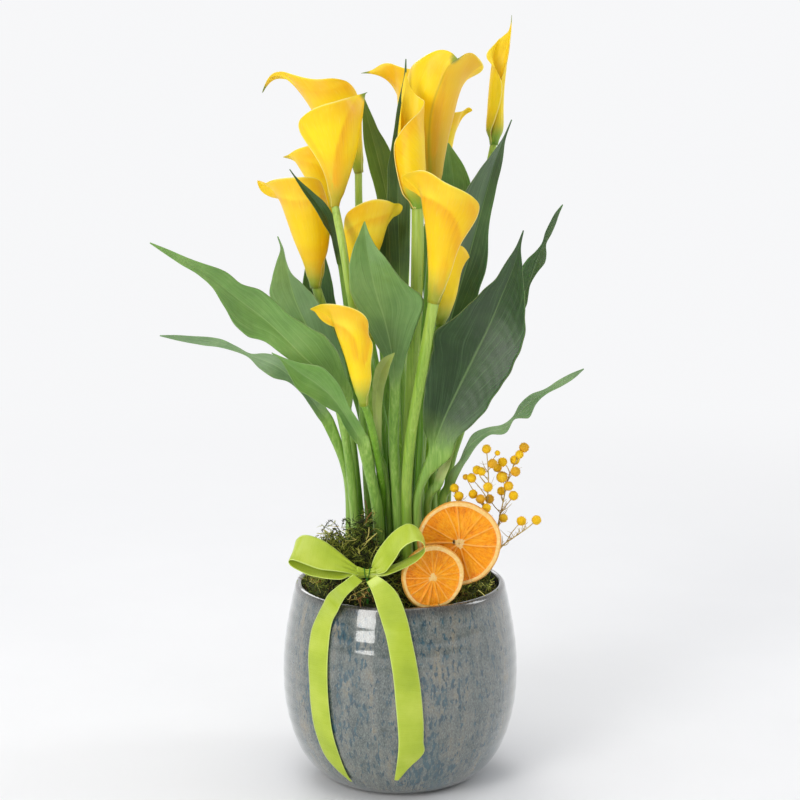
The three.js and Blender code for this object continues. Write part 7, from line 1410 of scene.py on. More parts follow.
def orange_material(name, line=0.5):
    """Dried orange slice: thin skin, cream pith, translucent segments with radial pulp and painted glints, faint
    membranes, cream core, a seed hole painted dark as shade where one is given.
    """
    m = Nodes(name)
    a = m.attr("os")["Vector"]  # face x, y as a share of the radius, 1 on the skin
    x, y, skin = m.sep(a)[0], m.sep(a)[1], m.sep(a)[2]
    seg = m.attr("seg")["Fac"]  # 0 on the membranes, 1 inside a segment
    pith_at = m.attr("pith")["Fac"]  # 1 on the pith ring and the core
    r = m.math("SQRT", m.math("ADD", m.math("MULTIPLY", x, x), m.math("MULTIPLY", y, y)))
    ang = m.math("ARCTAN2", y, x)
    pos = m.pos()
    pulp = m.noise(m.vec(m.math("MULTIPLY", ang, 2.6), m.math("MULTIPLY", r, 1.0), 0.0), 6.0, 4, 0.62, 0.8)
    pulp2 = m.noise(m.vec(m.math("MULTIPLY", ang, 5.5), m.math("MULTIPLY", r, 2.6), 4.0), 5.0, 3, 0.6, 0.6)
    cells = m.new("ShaderNodeTexVoronoi", feature="DISTANCE_TO_EDGE")
    m.link(m.vec(m.math("MULTIPLY", ang, 9.0), m.math("MULTIPLY", r, 6.5), 0.0), cells.inputs["Vector"])
    cells.inputs["Scale"].default_value = 1.0
    blot = m.noise(pos, 90, 3, 0.6)
    flesh = m.ramp(m.math("ADD", m.math("MULTIPLY", pulp, 0.55), m.math("MULTIPLY", blot, 0.45)),
                   [(0.32, srgb("#cf6602")), (0.43, srgb("#f08a00")), (0.55, srgb("#ffa300")), (0.70, srgb("#ffbe26"))])
    flesh = m.mix(m.map(cells.outputs[0], 0.0, 0.10, 0.30, 0.0), flesh, srgb("#ffbe40") + (1.0,))
    # painted highlight: lighter flecks as glints on the pulp
    flesh = m.mix(m.map(pulp2, 0.56, 0.72, 0.0, 0.38), flesh, srgb("#ffc950") + (1.0,))
    flesh = m.mix(m.map(pulp2, 0.28, 0.42, 0.34, 0.0), flesh, srgb("#cf6808") + (1.0,))
    flesh = m.mix(m.map(r, 0.72, 0.92, 0.0, 0.18), flesh, srgb("#e67c08") + (1.0,))
    flesh = m.mix(m.map(seg, 0.15, 0.75, line, 0.0), flesh, srgb("#fdbb5e") + (1.0,))
    pith = m.ramp(m.noise(pos, 420, 3, 0.6), [(0.3, srgb("#f4c470")), (0.55, srgb("#fcd284")), (0.8, srgb("#fee6b4"))])
    col = m.mix(m.map(pith_at, 0.30, 0.70, 0.0, 1.0), flesh, pith)
    peel = m.ramp(m.noise(pos, 600, 3, 0.6), [(0.3, srgb("#de9434")), (0.6, srgb("#f2b254")), (0.8, srgb("#f9cb80"))])
    col = m.mix(skin, col, peel)
    # painted shade: the seed hole darkened
    col = m.mix(m.attr("hole")["Fac"], col, srgb("#2a1608") + (1.0,))
    m.link(col, m.b.inputs["Base Color"])
    m.link(m.map(pulp, 0.3, 0.7, 0.24, 0.50), m.b.inputs["Roughness"])
    m.b.inputs["Specular IOR Level"].default_value = 0.28
    m.b.inputs["Subsurface Weight"].default_value = 0.08
    m.b.inputs["Subsurface Radius"].default_value = (1.0, 0.5, 0.1)
    m.b.inputs["Subsurface Scale"].default_value = 0.003
    h = m.math("ADD", m.math("MULTIPLY", pulp, 0.8), m.math("ADD", m.math("MULTIPLY", pulp2, 0.5), m.math("MULTIPLY", cells.outputs[0], 0.5)))
    m.link(m.bump(h, 0.55, 0.0008), m.b.inputs["Normal"])
    return m.mat


def strand_material(name):
    m = Nodes(name)
    v = m.attr("tone")["Fac"]
    pos = m.pos()
    n = m.noise(pos, 700, 3, 0.6)
    col = m.ramp(m.math("ADD", v, m.math("MULTIPLY", m.math("SUBTRACT", n, 0.5), 0.15)),
                 [(0.0, srgb("#191a0d")), (0.15, srgb("#2c3216")), (0.35, srgb("#4f5c20")), (0.55, srgb("#7d8a30")), (0.70, srgb("#a9ad4a")), (0.82, srgb("#c9bd6a")), (0.90, srgb("#8a6430")), (1.0, srgb("#5c3c20"))])
    m.link(col, m.b.inputs["Base Color"])
    m.link(m.map(n, 0.3, 0.7, 0.65, 0.9), m.b.inputs["Roughness"])
    m.b.inputs["Specular IOR Level"].default_value = 0.25
    m.link(m.bump(n, 0.4, 0.0003), m.b.inputs["Normal"])
    return m.mat


def dry_material(name, stops, scale=700, rough=(0.7, 0.92), aged=None):
    m = Nodes(name)
    pos = m.pos()
    n = m.noise(pos, scale, 4, 0.65)
    big = m.noise(pos, scale * 0.12, 3, 0.6)
    col = m.ramp(m.math("ADD", m.math("MULTIPLY", n, 0.55), m.math("MULTIPLY", big, 0.45)), stops)
    if aged:
        col = m.mix(m.math("MULTIPLY", m.attr("age")["Fac"], 0.9), col, m.mix(n, srgb(aged) + (1.0,), srgb("#e9b040") + (1.0,)))
    m.link(col, m.b.inputs["Base Color"])
    m.link(m.map(n, 0.3, 0.7, *rough), m.b.inputs["Roughness"])
    m.b.inputs["Specular IOR Level"].default_value = 0.25
    m.link(m.bump(n, 0.5, 0.0006), m.b.inputs["Normal"])
    return m.mat


MAT_SPATHE = spathe_material("petal_yellow")
# a slightly deeper gold for flower_04, flower_05 and flower_08
MAT_SPATHE_GOLD = spathe_material("petal_gold", base="#fad004", deep="#f8c302", shade="#f0a200")
# a brighter copy for flower_07 and flower_11, whose insides show: painted light that offsets the shade in their throats
MAT_SPATHE_LIT = spathe_material("petal_light", base="#fbda10", deep="#ffe23c", shade="#f4bc10")
MAT_SPATHE_PALE = spathe_material("petal_pale", base="#f9da22", deep="#f2c912", shade="#e8b01a")
MAT_SCAPE = scape_material("stem_green")
MAT_SCAPE_DARK = scape_material("stem_deep", ("#42700c", "#5f9016", "#76a42a", "#8cb43e"))
MAT_LEAF = leaf_material("leaf_green", "#507836", "#6c9646", "#8eb264", vein="#a3c27c")
MAT_LEAF_SOFT = leaf_material("leaf_soft", "#4a6c30", "#628a42", "#84a85c", vein="#8fae70")
MAT_LEAF_OLIVE = leaf_material("leaf_olive", "#3c5610", "#567616", "#789630", vein="#98b04c", rib_tone="#b6c468")
MAT_LEAF_DARK = leaf_material("leaf_dark", "#233f18", "#385a26", "#55783c", vein="#86a66c", rib_tone="#86a862")
MAT_LEAF_GREY = leaf_material("leaf_greygreen", "#4a6840", "#688858", "#8da876", vein="#a8bd9e", rib_tone="#a3bb88")
MAT_LEAF_DEEP = leaf_material("leaf_deep", "#1a3212", "#2b4a1c", "#42662c", vein="#74936a", rib_tone="#7a9a5c")
MAT_YOUNG = leaf_material("leaf_young", "#8ca046", "#aaba62", "#c6d288", young=True)
MAT_GLAZE = glaze_material("reactive_glaze")
MAT_SATIN = satin_material("lime_satin")
MAT_ORANGE = orange_material("dried_orange", 0.85)
MAT_ORANGE_SMALL = orange_material("dried_orange_small", 0.55)
MAT_MOSS = strand_material("moss_strands")
MAT_SOIL = dry_material("potting_soil_mix", [(0.25, srgb("#15100b")), (0.5, srgb("#2c2118")), (0.75, srgb("#4a3a2a"))], 420)
MAT_BALL = dry_material("dried_balls", [(0.25, srgb("#cc980a")), (0.42, srgb("#f2bc0a")), (0.58, srgb("#fdd428")), (0.8, srgb("#fee974"))], 900, aged="#d08a10")
MAT_FUZZ = dry_material("dried_fuzz", [(0.25, srgb("#dca808")), (0.5, srgb("#f3c624")), (0.8, srgb("#fbe47c"))], 900)
MAT_TWIG = dry_material("dried_twigs", [(0.25, srgb("#6b5220")), (0.45, srgb("#a88c48")), (0.6, srgb("#d2bc7c")), (0.8, srgb("#ece0b0"))], 700)
MAT_WIRE = dry_material("green_wire", [(0.25, srgb("#245a1c")), (0.5, srgb("#347a28")), (0.8, srgb("#52963c"))], 1200, (0.3, 0.5))


# ------------------------------------------------------------------ leaves
def leaf_object(name, rows, wave, mat, ns=150, half_q=13, seed=0, pale=0.0):
    rows = np.asarray(rows, float)
    n = len(rows) - 1
    t = np.linspace(0, n, 400)
    P = spline(rows[:, :3], t)
    s = np.r_[0, np.cumsum(np.linalg.norm(np.diff(P, axis=0), axis=1))]
    S = np.linspace(0, 1, ns) ** 0.8
    # extra rows close to the tip
    S = np.unique(np.concatenate([S, 1 - np.geomspace(0.0015, 0.03, 6)]))
    ns = len(S)
    W = spline(rows, np.interp(S * s[-1], s, t))
    M = W[:, :3]
    T = tangents(M)
    view = unit(EYE - M)
    n0 = unit(view - (view * T).sum(1, keepdims=True) * T)
    s0 = np.cross(T, n0)
    roll = np.radians(W[:, 6])[:, None]
    fold = np.radians(W[:, 7])
    side = np.cos(roll) * s0 + np.sin(roll) * n0
    nor = np.cos(roll) * n0 - np.sin(roll) * s0
    r0 = rows[0, 3]
    th = np.clip(W[:, 5], 0, None)
    blade = np.clip(1 - th / r0 * 1.6, 0, 1)
    wl, wr = np.maximum(W[:, 3], 0.35), np.maximum(W[:, 4], 0.35)
    # outline: slight unevenness and a drawn-out tip
    edge = 1 + 0.012 * blade * np.sin(S * 61 + seed) + 0.010 * blade * np.sin(S * 117 + 2 * seed)
    q = np.linspace(-1, 1, 2 * half_q + 1)
    q = np.sign(q) * np.abs(q) ** 0.92
    tops, bots = [], []
    tipthin = np.clip((1 - S) / 0.02, 0.25, 1)
    for qq in q:
        a = abs(qq)
        w = np.where(qq < 0, wl, wr) * edge
        lat = qq * w * np.cos(fold * np.sqrt(a))
        ripple = wave[0] * np.sin(2 * np.pi * (wave[1] * S * 1.6 + wave[2] + (0.37 if qq > 0 else 0))) * a * a * blade * np.clip(w / 12, 0, 1)
        # shallow furrows between the side veins and a soft groove along the midrib
        arch = S - 0.40 * a**0.8
        furrow = 0.11 * blade * np.sin(2 * np.pi * arch * 30 + seed) * smooth(0.02, 0.25, np.array(a)) * (1 - smooth(0.8, 1.0, np.array(a))) * np.clip(w / 12, 0, 1)
        groove = -0.45 * blade * np.exp(-((a * w / 1.3) ** 2)) * np.clip(w / 9, 0, 1)
        lift = a**1.4 * w * np.sin(fold) + ripple + furrow + groove
        full = th * np.sqrt(max(1 - a * a, 0.0))
        flat = (0.26 * (1 - a**6) + 0.05) * tipthin
        under = 0.95 * np.exp(-((a * w / 1.5) ** 2)) * blade * np.clip(w / 9, 0, 1) * (1 - 0.75 * S)
        up_t = np.maximum(full, flat * np.clip(blade * 3, 0, 1)) if a < 1 else np.zeros(ns) + 0.02
        dn_t = up_t + under * (1 if a < 1 else 0)
        c = M + side * lat[:, None]
        tops.append(c + nor * (lift + up_t)[:, None])
        bots.append(c + nor * (lift - dn_t)[:, None])
    tops, bots = np.stack(tops, 1), np.stack(bots, 1)
    ring = np.concatenate([tops, bots[:, -2:0:-1]], 1)
    m = ring.shape[1]
    Q = np.concatenate([q, q[-2:0:-1]])
    back = np.concatenate([np.zeros(len(q)), np.ones(len(q) - 2)])
    # pale: painted sheen over one half of the blade, on the side given by its sign
    at = {"lf": np.stack([np.broadcast_to(Q, (ns, m)), np.broadcast_to(S[:, None], (ns, m)), np.broadcast_to(blade[:, None], (ns, m))], -1),
          "back": np.broadcast_to(back, (ns, m)).copy(),
          "pale": np.broadcast_to(abs(pale) * smooth(0.0, 0.10, np.sign(pale) * Q), (ns, m)).copy() if pale else np.zeros((ns, m))}
    ob = rings_mesh(name, ring, mat, at)
    return ob


# ------------------------------------------------------------------ flowers
def spathe_grid(f, nu, nv, margin=1.1, seed=0):
    """A sheet stretched between its two margins and the lip; the body follows the tube radii."""
    ax = np.asarray(f["axis"], float)
    n = len(ax) - 1
    A = spline(ax, np.linspace(0, n, 121))
    T = tangents(A)
    N, _ = transported(T)
    L = np.linalg.norm(np.diff(A, axis=0), axis=1).sum()
    tube = np.asarray(f["tube"], float)
    last = len(tube) - 1
    rim = np.asarray(f["rim"], float)
    m = len(rim)

    def radius(w):
        w = np.asarray(w, float)
        inside = spline(tube[:, None], np.clip(w, 0, 1).ravel() * last)[:, 0].reshape(w.shape)
        return np.where(w > 1, tube[-1] + (tube[-1] - tube[-2]) * (w - 1) * last * 0.5, inside)

    def upright(i, k):
        return max(rim[i][0], rim[k][0]) < 0.12 or abs(rim[k][0] - rim[i][0]) * L > 0.4 * (rim[i][1] + rim[k][1]) * abs(rim[k][2] - rim[i][2])

    ia, ib = 0, m - 1
    while ia + 1 < m / 3 and rim[ia + 1][0] > rim[ia][0] - 0.01 and upright(ia, ia + 1):
        ia += 1
    while ib - 1 > 2 * m / 3 and rim[ib - 1][0] > rim[ib][0] - 0.01 and upright(ib, ib - 1):
        ib -= 1
    ia, ib = max(ia, 1), min(ib, m - 2)

    def side(i0, i1):
        R = spline(rim, np.linspace(i0, i1, 90))
        ww = np.maximum.accumulate(R[:, 0] + np.arange(90) * 1e-6)
        for c in (1, 2):
            R[:, c] = blurred(R[:, c], 4.0)
        return ww, R[:, 1] - radius(ww), R[:, 2]

    SA, SB = side(0, ia), side(m - 1, ib)
    wa, wb = SA[0][-1], SB[0][-1]

    def margin_at(S_, w):
        w = np.minimum(w, S_[0][-1])
        d = np.interp(w, S_[0], S_[1])
        low = np.clip(w / S_[0][0], 0, 1) ** 1.5
        return d * low * smooth(0.0, 0.14, w), np.interp(w, S_[0], S_[2])

    tests = np.arange(0.2, max(min(wa, wb), 0.21), 0.05)
    lead = (margin_at(SB, tests)[0] - margin_at(SA, tests)[0]).sum()
    sign = -1.0 if lead < 0 else 1.0

    def pair(w):
        a, pa = margin_at(SA, np.minimum(w, wa))
        b, pb = margin_at(SB, np.minimum(w, wb))
        a, b = a - 0.5 * margin * sign, b + 0.5 * margin * sign
        short = np.clip(margin * 0.9 - (b - a) * sign, 0, None) * smooth(2 * np.pi - 0.6, 2 * np.pi - 0.25, np.abs(pb - pa))
        return a - 0.5 * short * sign, pa, b + 0.5 * short * sign, pb

    # the lip, evened out along its length but kept sharp at the drawn-out tip
    D = spline(rim, np.linspace(ia, ib, 900))
    step = np.abs(np.diff(D[:, 2])) * 0.5 * (D[1:, 1] + D[:-1, 1]) + 0.3 * (np.abs(np.diff(D[:, 0])) * L + np.abs(np.diff(D[:, 1])))
    run = np.r_[0, np.cumsum(step)]
    s = np.linspace(0, 1, nu)
    at = np.interp(s, run / run[-1], np.arange(900))
    R = np.stack([np.interp(at, np.arange(900), D[:, c]) for c in range(4)], 1)
    sharpness = rim_sharpness(R)
    tip_i = int(np.argmax(sharpness))
    keep = np.exp(-(((np.arange(nu) - tip_i) / (nu * 0.035)) ** 2))
    ends = smooth(0, nu * 0.03, np.minimum(np.arange(nu), np.arange(nu)[::-1]))
    for c in range(4):
        soft = blurred(R[:, c], nu * 0.016)
        k_ = np.clip((1 - keep) * ends, 0, 1)
        R[:, c] = R[:, c] * (1 - k_) + soft * k_
    j = np.linspace(0, 1, nv)
    t = (1 - (1 - j) ** 1.7)[None, :]
    w = R[:, :1] * t
    wc = np.clip(w, 0, 1) * 120
    k = np.clip(np.floor(wc).astype(int), 0, 119)
    fr = (wc - k)[..., None]
    Tg = unit(T[k] * (1 - fr) + T[k + 1] * fr)
    Ng = unit(N[k] * (1 - fr) + N[k + 1] * fr)
    Bg = np.cross(Tg, Ng)
    base = A[k] * (1 - fr) + A[k + 1] * fr + Tg * (np.maximum(w - 1, 0) * L)[..., None]
    a, pa, _, _ = pair(t[0] * wa)
    _, _, b, pb = pair(t[0] * wb)
    sc = s[:, None]
    fa, fb = (1 - sc) ** 4, sc**4
    bend = (R[:, 2] - (1 - s) * R[0, 2] - s * R[-1, 2])[:, None]
    ph = (1 - sc) * pa[None] + sc * pb[None] + t**2 * bend
    d1 = (R[:, 1] - radius(R[:, 0]))[:, None]
    steep = f["p"] + f.get("needle", 0.0) * np.exp(-(((np.arange(nu) - tip_i) / (nu * 0.045)) ** 2))[:, None]
    d = fa * a[None] + fb * b[None] + t**steep * (d1 - fa * a[-1] - fb * b[-1])
    r = np.maximum(radius(w) + d, 0.6 * tube[0])
    rs = f["r"] + 0.15
    r = rs + (r - rs) * smooth(-0.05, 0.20, w)
    lipw = np.clip((R[:, 1:2] / tube[-1] - 0.75) * 2, 0, 1)
    up = R[:, 3:4] * t**9 * (1 - t) / 0.0387
    # faint lengthwise pleats and a soft ruffle at the lip
    r = r + 0.08 * np.sin(ph * 13 + seed) * t * (1 - 0.5 * t) + 0.22 * t**6 * np.sin(ph * 4 + 1.3 * seed) * lipw
    X = base + r[..., None] * (np.cos(ph)[..., None] * Ng + np.sin(ph)[..., None] * Bg) + Tg * up[..., None]
    # keep the two flanks of the drawn-out tip apart
    step_ = np.arange(nu) - tip_i
    apart = f.get("split", 0.0) * np.clip(step_ / 3.0, -1, 1) * np.exp(-((step_ / (nu * 0.07)) ** 2))
    X[..., 1] = X[..., 1] + apart[:, None] * smooth(0.70, 0.92, t)
    X = X - Tg * (2.2 * (1 - smooth(0.0, 0.08, w)))[..., None]
    sharp = np.exp(-(((np.arange(nu) - tip_i) / (nu * 0.028)) ** 2))
    return X, s - 0.5, t, w, sharp


def rim_sharpness(R):
    """Where the rim turns hardest: the drawn-out tip."""
    p = np.stack([R[:, 1] * np.cos(R[:, 2]), R[:, 1] * np.sin(R[:, 2]), R[:, 0] * 55], 1)
    d = np.linalg.norm(p - np.array([0, 0, 0.6 * 55]), axis=1)
    c = np.zeros(len(p))
    h = max(2, len(p) // 60)
    a, b = p[h:-h] - p[: -2 * h], p[2 * h :] - p[h:-h]
    turn = 1 - (unit(a) * unit(b)).sum(1)
    c[h:-h] = turn * d[h:-h]
    lo, hi = int(len(p) * 0.12), int(len(p) * 0.88)
    c[:lo] = 0
    c[hi:] = 0
    return c


def ray(px, py, y):
    """The point at depth y (mm) that the camera sees at a place in its frame, given from the frame's middle in pixels."""
    eye = np.array([0.0, -1700.0, 630.0])
    fwd = unit(np.array([0.0, 0.0, 292.0]) - eye)
    right = np.array([1.0, 0.0, 0.0])
    upv = np.cross(right, fwd)
    dr = fwd * 2311.0 + right * (px - 400) + upv * (400 - py)
    return eye + dr * ((y - eye[1]) / dr[1])


# painted shade, soft gold along the folds in the petals, and green strokes under the keys ending in _green: points
# along the stroke, half width in mm, strength
SHADE_AND_GREEN_STROKES = {
    "flower_02": [(((334, 180), (337, 152), (343, 129), (350, 111), (357, 99)), 3.6, 0.85), (((304, 126), (317, 147), (327, 168), (332, 190)), 2.4, 0.35)],
    "flower_08": [(((404, 189), (414, 194), (426, 197), (438, 202), (450, 212), (458, 228), (460, 250)), 4.2, 0.90), (((472, 204), (475, 216), (467, 236), (458, 252)), 3.4, 0.60), (((447, 262), (443, 285)), 3.0, 0.4)],
    "flower_10": [(((321, 321), (334, 322), (345, 326), (354, 336), (358, 352)), 3.4, 0.75), (((365, 322), (369, 338), (366, 358)), 3.0, 0.75)],
    "flower_05": [(((349, 228), (362, 219), (378, 215), (392, 212)), 3.0, 0.55)],
    "flower_04": [(((263, 191), (280, 197), (302, 199), (322, 194)), 3.4, 0.60), (((318, 206), (325, 235), (322, 265)), 4.0, 0.45)],
    "flower_01": [(((282, 80), (302, 88), (322, 90), (342, 86), (352, 84)), 4.0, 0.50), (((350, 84), (357, 96)), 3.0, 0.35)],
    "flower_06": [(((414, 96), (424, 128), (429, 166)), 3.4, 0.50), (((446, 74), (441, 110), (436, 150)), 2.8, 0.50), (((478, 62), (481, 74)), 3.0, 0.4)],
    "flower_14": [(((384, 76), (398, 84), (404, 96)), 2.6, 0.45)],
    "flower_08_green": [(((434, 304), (434, 286)), 4.0, 0.45)],
    "flower_03": [(((304, 160), (318, 164), (324, 172)), 2.6, 0.40)],
    "flower_07": [(((418, 118), (408, 134), (403, 152)), 2.8, 0.35)],
}


def shade_and_green_stroke_mask(name, X):
    """How much each point of the sheet lies in one of the painted strokes seen from the front: painted shade along the
    folds, and the green strokes.
    """
    out = np.zeros(X.shape[:2])
    y0 = float(X[..., 1].mean())
    front = smooth(3.0, -1.0, X[..., 1] - X[..., 1].mean(0)[None, :])
    for pts, width, strength in SHADE_AND_GREEN_STROKES.get(name, ()):
        line = spline(np.array([ray(px, py, y0) for px, py in pts])[:, [0, 2]], np.linspace(0, len(pts) - 1, 40))
        dx, dz = X[..., None, 0] - line[:, 0], X[..., None, 2] - line[:, 1]
        gaps = np.hypot(dx, dz)
        at_ = gaps.argmin(-1)[..., None]
        along = unit(np.gradient(line, axis=0))[at_[..., 0]]
        turn = along[..., 0] * np.take_along_axis(dz, at_, -1)[..., 0] - along[..., 1] * np.take_along_axis(dx, at_, -1)[..., 0]
        near = np.take_along_axis(gaps, at_, -1)[..., 0]
        # a crisp edge on one side, running out softly on the other
        out = np.maximum(out, strength * np.exp(-((near / (width * np.where(turn < 0, 1.7, 0.35))) ** 2)))
    return out * front


def spathe_object(name, f, mat, nu=190, nv=52, seed=0, thick=0.62, green_tip=1.0, foot=1.0, tan=0.0):
    X, un, v, w, sharp = spathe_grid(f, nu, nv, seed=seed)
    a = np.gradient(X, axis=0)
    b = np.gradient(X, axis=1)
    nrm = unit(np.cross(a, b))
    # which side is the inside: towards the axis
    ax = np.asarray(f["axis"], float)
    centre = spline(ax, np.linspace(0, len(ax) - 1, 60))
    mid = X[nu // 2, nv // 3]
    near = centre[np.argmin(np.linalg.norm(centre - mid, axis=1))]
    sign = np.sign(((near - mid) * nrm[nu // 2, nv // 3]).sum())
    nrm = nrm * sign
    vv = np.broadcast_to(v, (nu, nv))
    half = 0.5 * thick * (1 - 0.55 * vv**6)
    edge_u = np.clip(np.minimum(np.arange(nu), np.arange(nu)[::-1]) / 5.0, 0.15, 1)[:, None]
    half = half * edge_u
    inner, outer = X + nrm * half[..., None], X - nrm * half[..., None]
    V = np.concatenate([inner.reshape(-1, 3), outer.reshape(-1, 3)])
    o = nu * nv
    F = [grid_faces(nu, nv), grid_faces(nu, nv, off=o, flip=True)]
    idn = lambda i, jj: i * nv + jj
    border = [idn(i, 0) for i in range(nu - 1)] + [idn(nu - 1, jj) for jj in range(nv - 1)] + [idn(i, nv - 1) for i in range(nu - 1, 0, -1)] + [idn(0, jj) for jj in range(nv - 1, 0, -1)]
    border = np.array(border)
    nx = np.roll(border, -1)
    F.append(np.stack([border, border + o, nx + o, nx], -1))
    F = facing_out(V, F)
    height = np.clip(w / 1.25, 0, 1.2)
    sp_in = np.stack([np.broadcast_to(un[:, None], (nu, nv)), height, np.ones((nu, nv))], -1)
    sp_out = sp_in.copy()
    sp_out[..., 2] = 0
    ti = int(np.argmax(sharp))
    gap = np.linalg.norm(X - X[ti, -1], axis=2)
    tip = green_tip * smooth(11.0, 3.0, gap)
    sp_in[..., 2] = 1 - 0.5 * smooth(22.0, 8.0, gap)
    sp_out[..., 2] = 0.5 * smooth(22.0, 8.0, gap)
    # painted shade along the folds; the green strokes join the green tip
    fold = shade_and_green_stroke_mask(name[: -len("_petal")], X)
    tip = np.maximum(tip, shade_and_green_stroke_mask(name[: -len("_petal")] + "_green", X))
    # the flared band of the lip, which carries painted shade on its outer face
    flare_shade = smooth(0.76, 0.90, vv) * smooth(1.0, 0.96, vv) * (1 - np.clip(sharp * 1.2, 0, 1)[:, None])
    low = height / foot
    dx = X[..., 0] - X[ti, :, 0][None, :]
    front = (X[..., 1] < X[..., 1].mean(0)[None, :] + 2.0).astype(float)
    # painted shade on the half of flower_06 beside its keel; the same switch draws the green keel line
    shade_half_mask = tan * smooth(0.3, 3.0, dx) * front
    keel = tan * np.exp(-((dx / 0.8) ** 2)) * front
    # how far each point is from the free edge, in mm, for the painted pale highlight along it
    lv = np.linalg.norm(np.diff(X, axis=1), axis=2)
    from_lip = np.concatenate([np.cumsum(lv[:, ::-1], axis=1)[:, ::-1], np.zeros((nu, 1))], 1)
    lu = np.linalg.norm(np.diff(X, axis=0), axis=2)
    from_a = np.concatenate([np.zeros((1, nv)), np.cumsum(lu, axis=0)])
    from_b = np.concatenate([np.cumsum(lu[::-1], axis=0)[::-1], np.zeros((1, nv))])
    edge = np.exp(-np.minimum(np.minimum(from_a, from_b), from_lip) / 0.9)
    edge = edge * smooth(10.0, 24.0, np.linalg.norm(X - X[int(np.argmax(sharp)), -1], axis=2))
    at = {"sp": np.concatenate([sp_in.reshape(-1, 3), sp_out.reshape(-1, 3)])}
    for key, val in (("tip", tip), ("edge", edge), ("flare_shade", flare_shade), ("low", low), ("tan", shade_half_mask), ("keel", keel), ("fold", fold)):
        at[key] = np.concatenate([val.ravel(), val.ravel()])
    return make(name, V, F, mat, at)


def scape_object(name, f, mat, sides=20, seed=0):
    sc = np.asarray(f["scape"], float)
    ax = np.asarray(f["axis"], float)
    P1 = spline(sc, np.linspace(0, len(sc) - 1, 90))
    r = f["r"]
    v1 = np.linspace(0, 1, 90)
    R1 = r * (1 + 0.03 * np.sin(v1 * 23 + seed) + 0.10 * (1 - smooth(0, 0.12, v1)))
    ws = np.concatenate([np.linspace(0.015, 0.66, 60), [0.675, 0.685, 0.69]])
    P2 = spline(ax, ws * (len(ax) - 1))
    top = min(2.5, f["tube"][0] - 1.7, r * 0.95)
    R2 = np.interp(ws, [0.0, 0.06, 0.12, 0.2, 0.45, 0.62, 0.675, 0.69], [r * 0.98, r * 0.9, top * 0.95, top, top * 0.95, top * 0.8, top * 0.45, top * 0.12])
    P = np.concatenate([P1, P2])
    R = np.concatenate([R1, R2])
    a = np.arange(sides) / sides
    full = R[:, None] * np.ones(sides)
    spad = np.concatenate([np.zeros(len(P1)), (ws > 0.09).astype(float)])
    bumps = 0.10 * np.cos(2 * np.pi * (a[None, :] * 10 + (np.arange(len(P)) % 2)[:, None] * 0.5)) * spad[:, None]
    ribs = 0.03 * r * np.cos(2 * np.pi * a[None, :] * 5 + seed) * (1 - spad[:, None])
    rings = tube_rings(P, full + bumps + ribs, sides)
    v = np.concatenate([v1, np.ones(len(P2))])
    at = {"sc": np.stack([np.broadcast_to(a, rings.shape[:2]), np.broadcast_to(v[:, None], rings.shape[:2]), np.broadcast_to(spad[:, None], rings.shape[:2])], -1)}
    return rings_mesh(name, rings, mat, at)


pieces = []


def done(ob, slot, *nodes):
    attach(ob, "root")
    if nodes:
        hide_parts(*nodes)
    pieces.append(ob)
    return ob


PETAL = {"flower_07": MAT_SPATHE_LIT, "flower_11": MAT_SPATHE_LIT, "flower_01": MAT_SPATHE, "flower_03": MAT_SPATHE_PALE, "flower_14": MAT_SPATHE_PALE, "flower_12": MAT_SPATHE_PALE, "flower_10": MAT_SPATHE, "flower_08": MAT_SPATHE_GOLD, "flower_04": MAT_SPATHE_GOLD, "flower_05": MAT_SPATHE_GOLD}
GREEN_TIP = {"flower_01": 1.0, "flower_02": 1.0, "flower_14": 1.0, "flower_03": 0.6, "flower_11": 0.9, "flower_06": 0.9, "flower_13": 0.5}
FOOT = {"flower_06": 1.7, "flower_02": 1.25, "flower_01": 1.1, "flower_09": 1.2}
NEEDLE = {"flower_02": 25.0, "flower_11": 8.0, "flower_03": 6.0}
SPLIT = {"flower_01": 0.6, "flower_04": 0.45}
STEM_DARK = ("flower_05", "flower_06", "flower_09", "flower_10", "flower_13")
for i, (name, f) in enumerate(FLOWERS.items()):
    f = dict(f, needle=NEEDLE.get(name, 0.0), split=SPLIT.get(name, 0.0))
    petal = spathe_object(name + "_petal", f, PETAL.get(name, MAT_SPATHE), seed=i * 1.7, green_tip=GREEN_TIP.get(name, 0.22), foot=FOOT.get(name, 0.95), tan=1.0 if name == "flower_06" else 0.0)
    done(petal, "spathe", name + "_spathe")
    done(scape_object(name + "_stem", f, MAT_SCAPE_DARK if name in STEM_DARK else MAT_SCAPE, seed=i * 2.3), "scape", name + "_scape")

LEAF_MAT = {"leaf_02": MAT_LEAF_GREY, "leaf_03": MAT_LEAF, "leaf_04": MAT_LEAF_SOFT, "leaf_05": MAT_LEAF_SOFT, "leaf_06": MAT_LEAF_OLIVE, "leaf_01": MAT_LEAF, "leaf_10": MAT_LEAF, "leaf_11": MAT_LEAF_DEEP, "leaf_13": MAT_LEAF_GREY, "leaf_14": MAT_YOUNG, "leaf_16": MAT_YOUNG}
# painted sheen over one half of these blades
SHEEN_HALF = {"leaf_09": -0.32, "leaf_11": -0.06, "leaf_04": 0.25}
for i, (name, l) in enumerate(LEAVES.items()):
    done(leaf_object(name + "_blade", l["rows"], l["wave"], LEAF_MAT.get(name, MAT_LEAF_DARK), seed=i * 1.9, pale=SHEEN_HALF.get(name, 0.0)), "young_leaf" if name == "leaf_16" else "leaf", name)


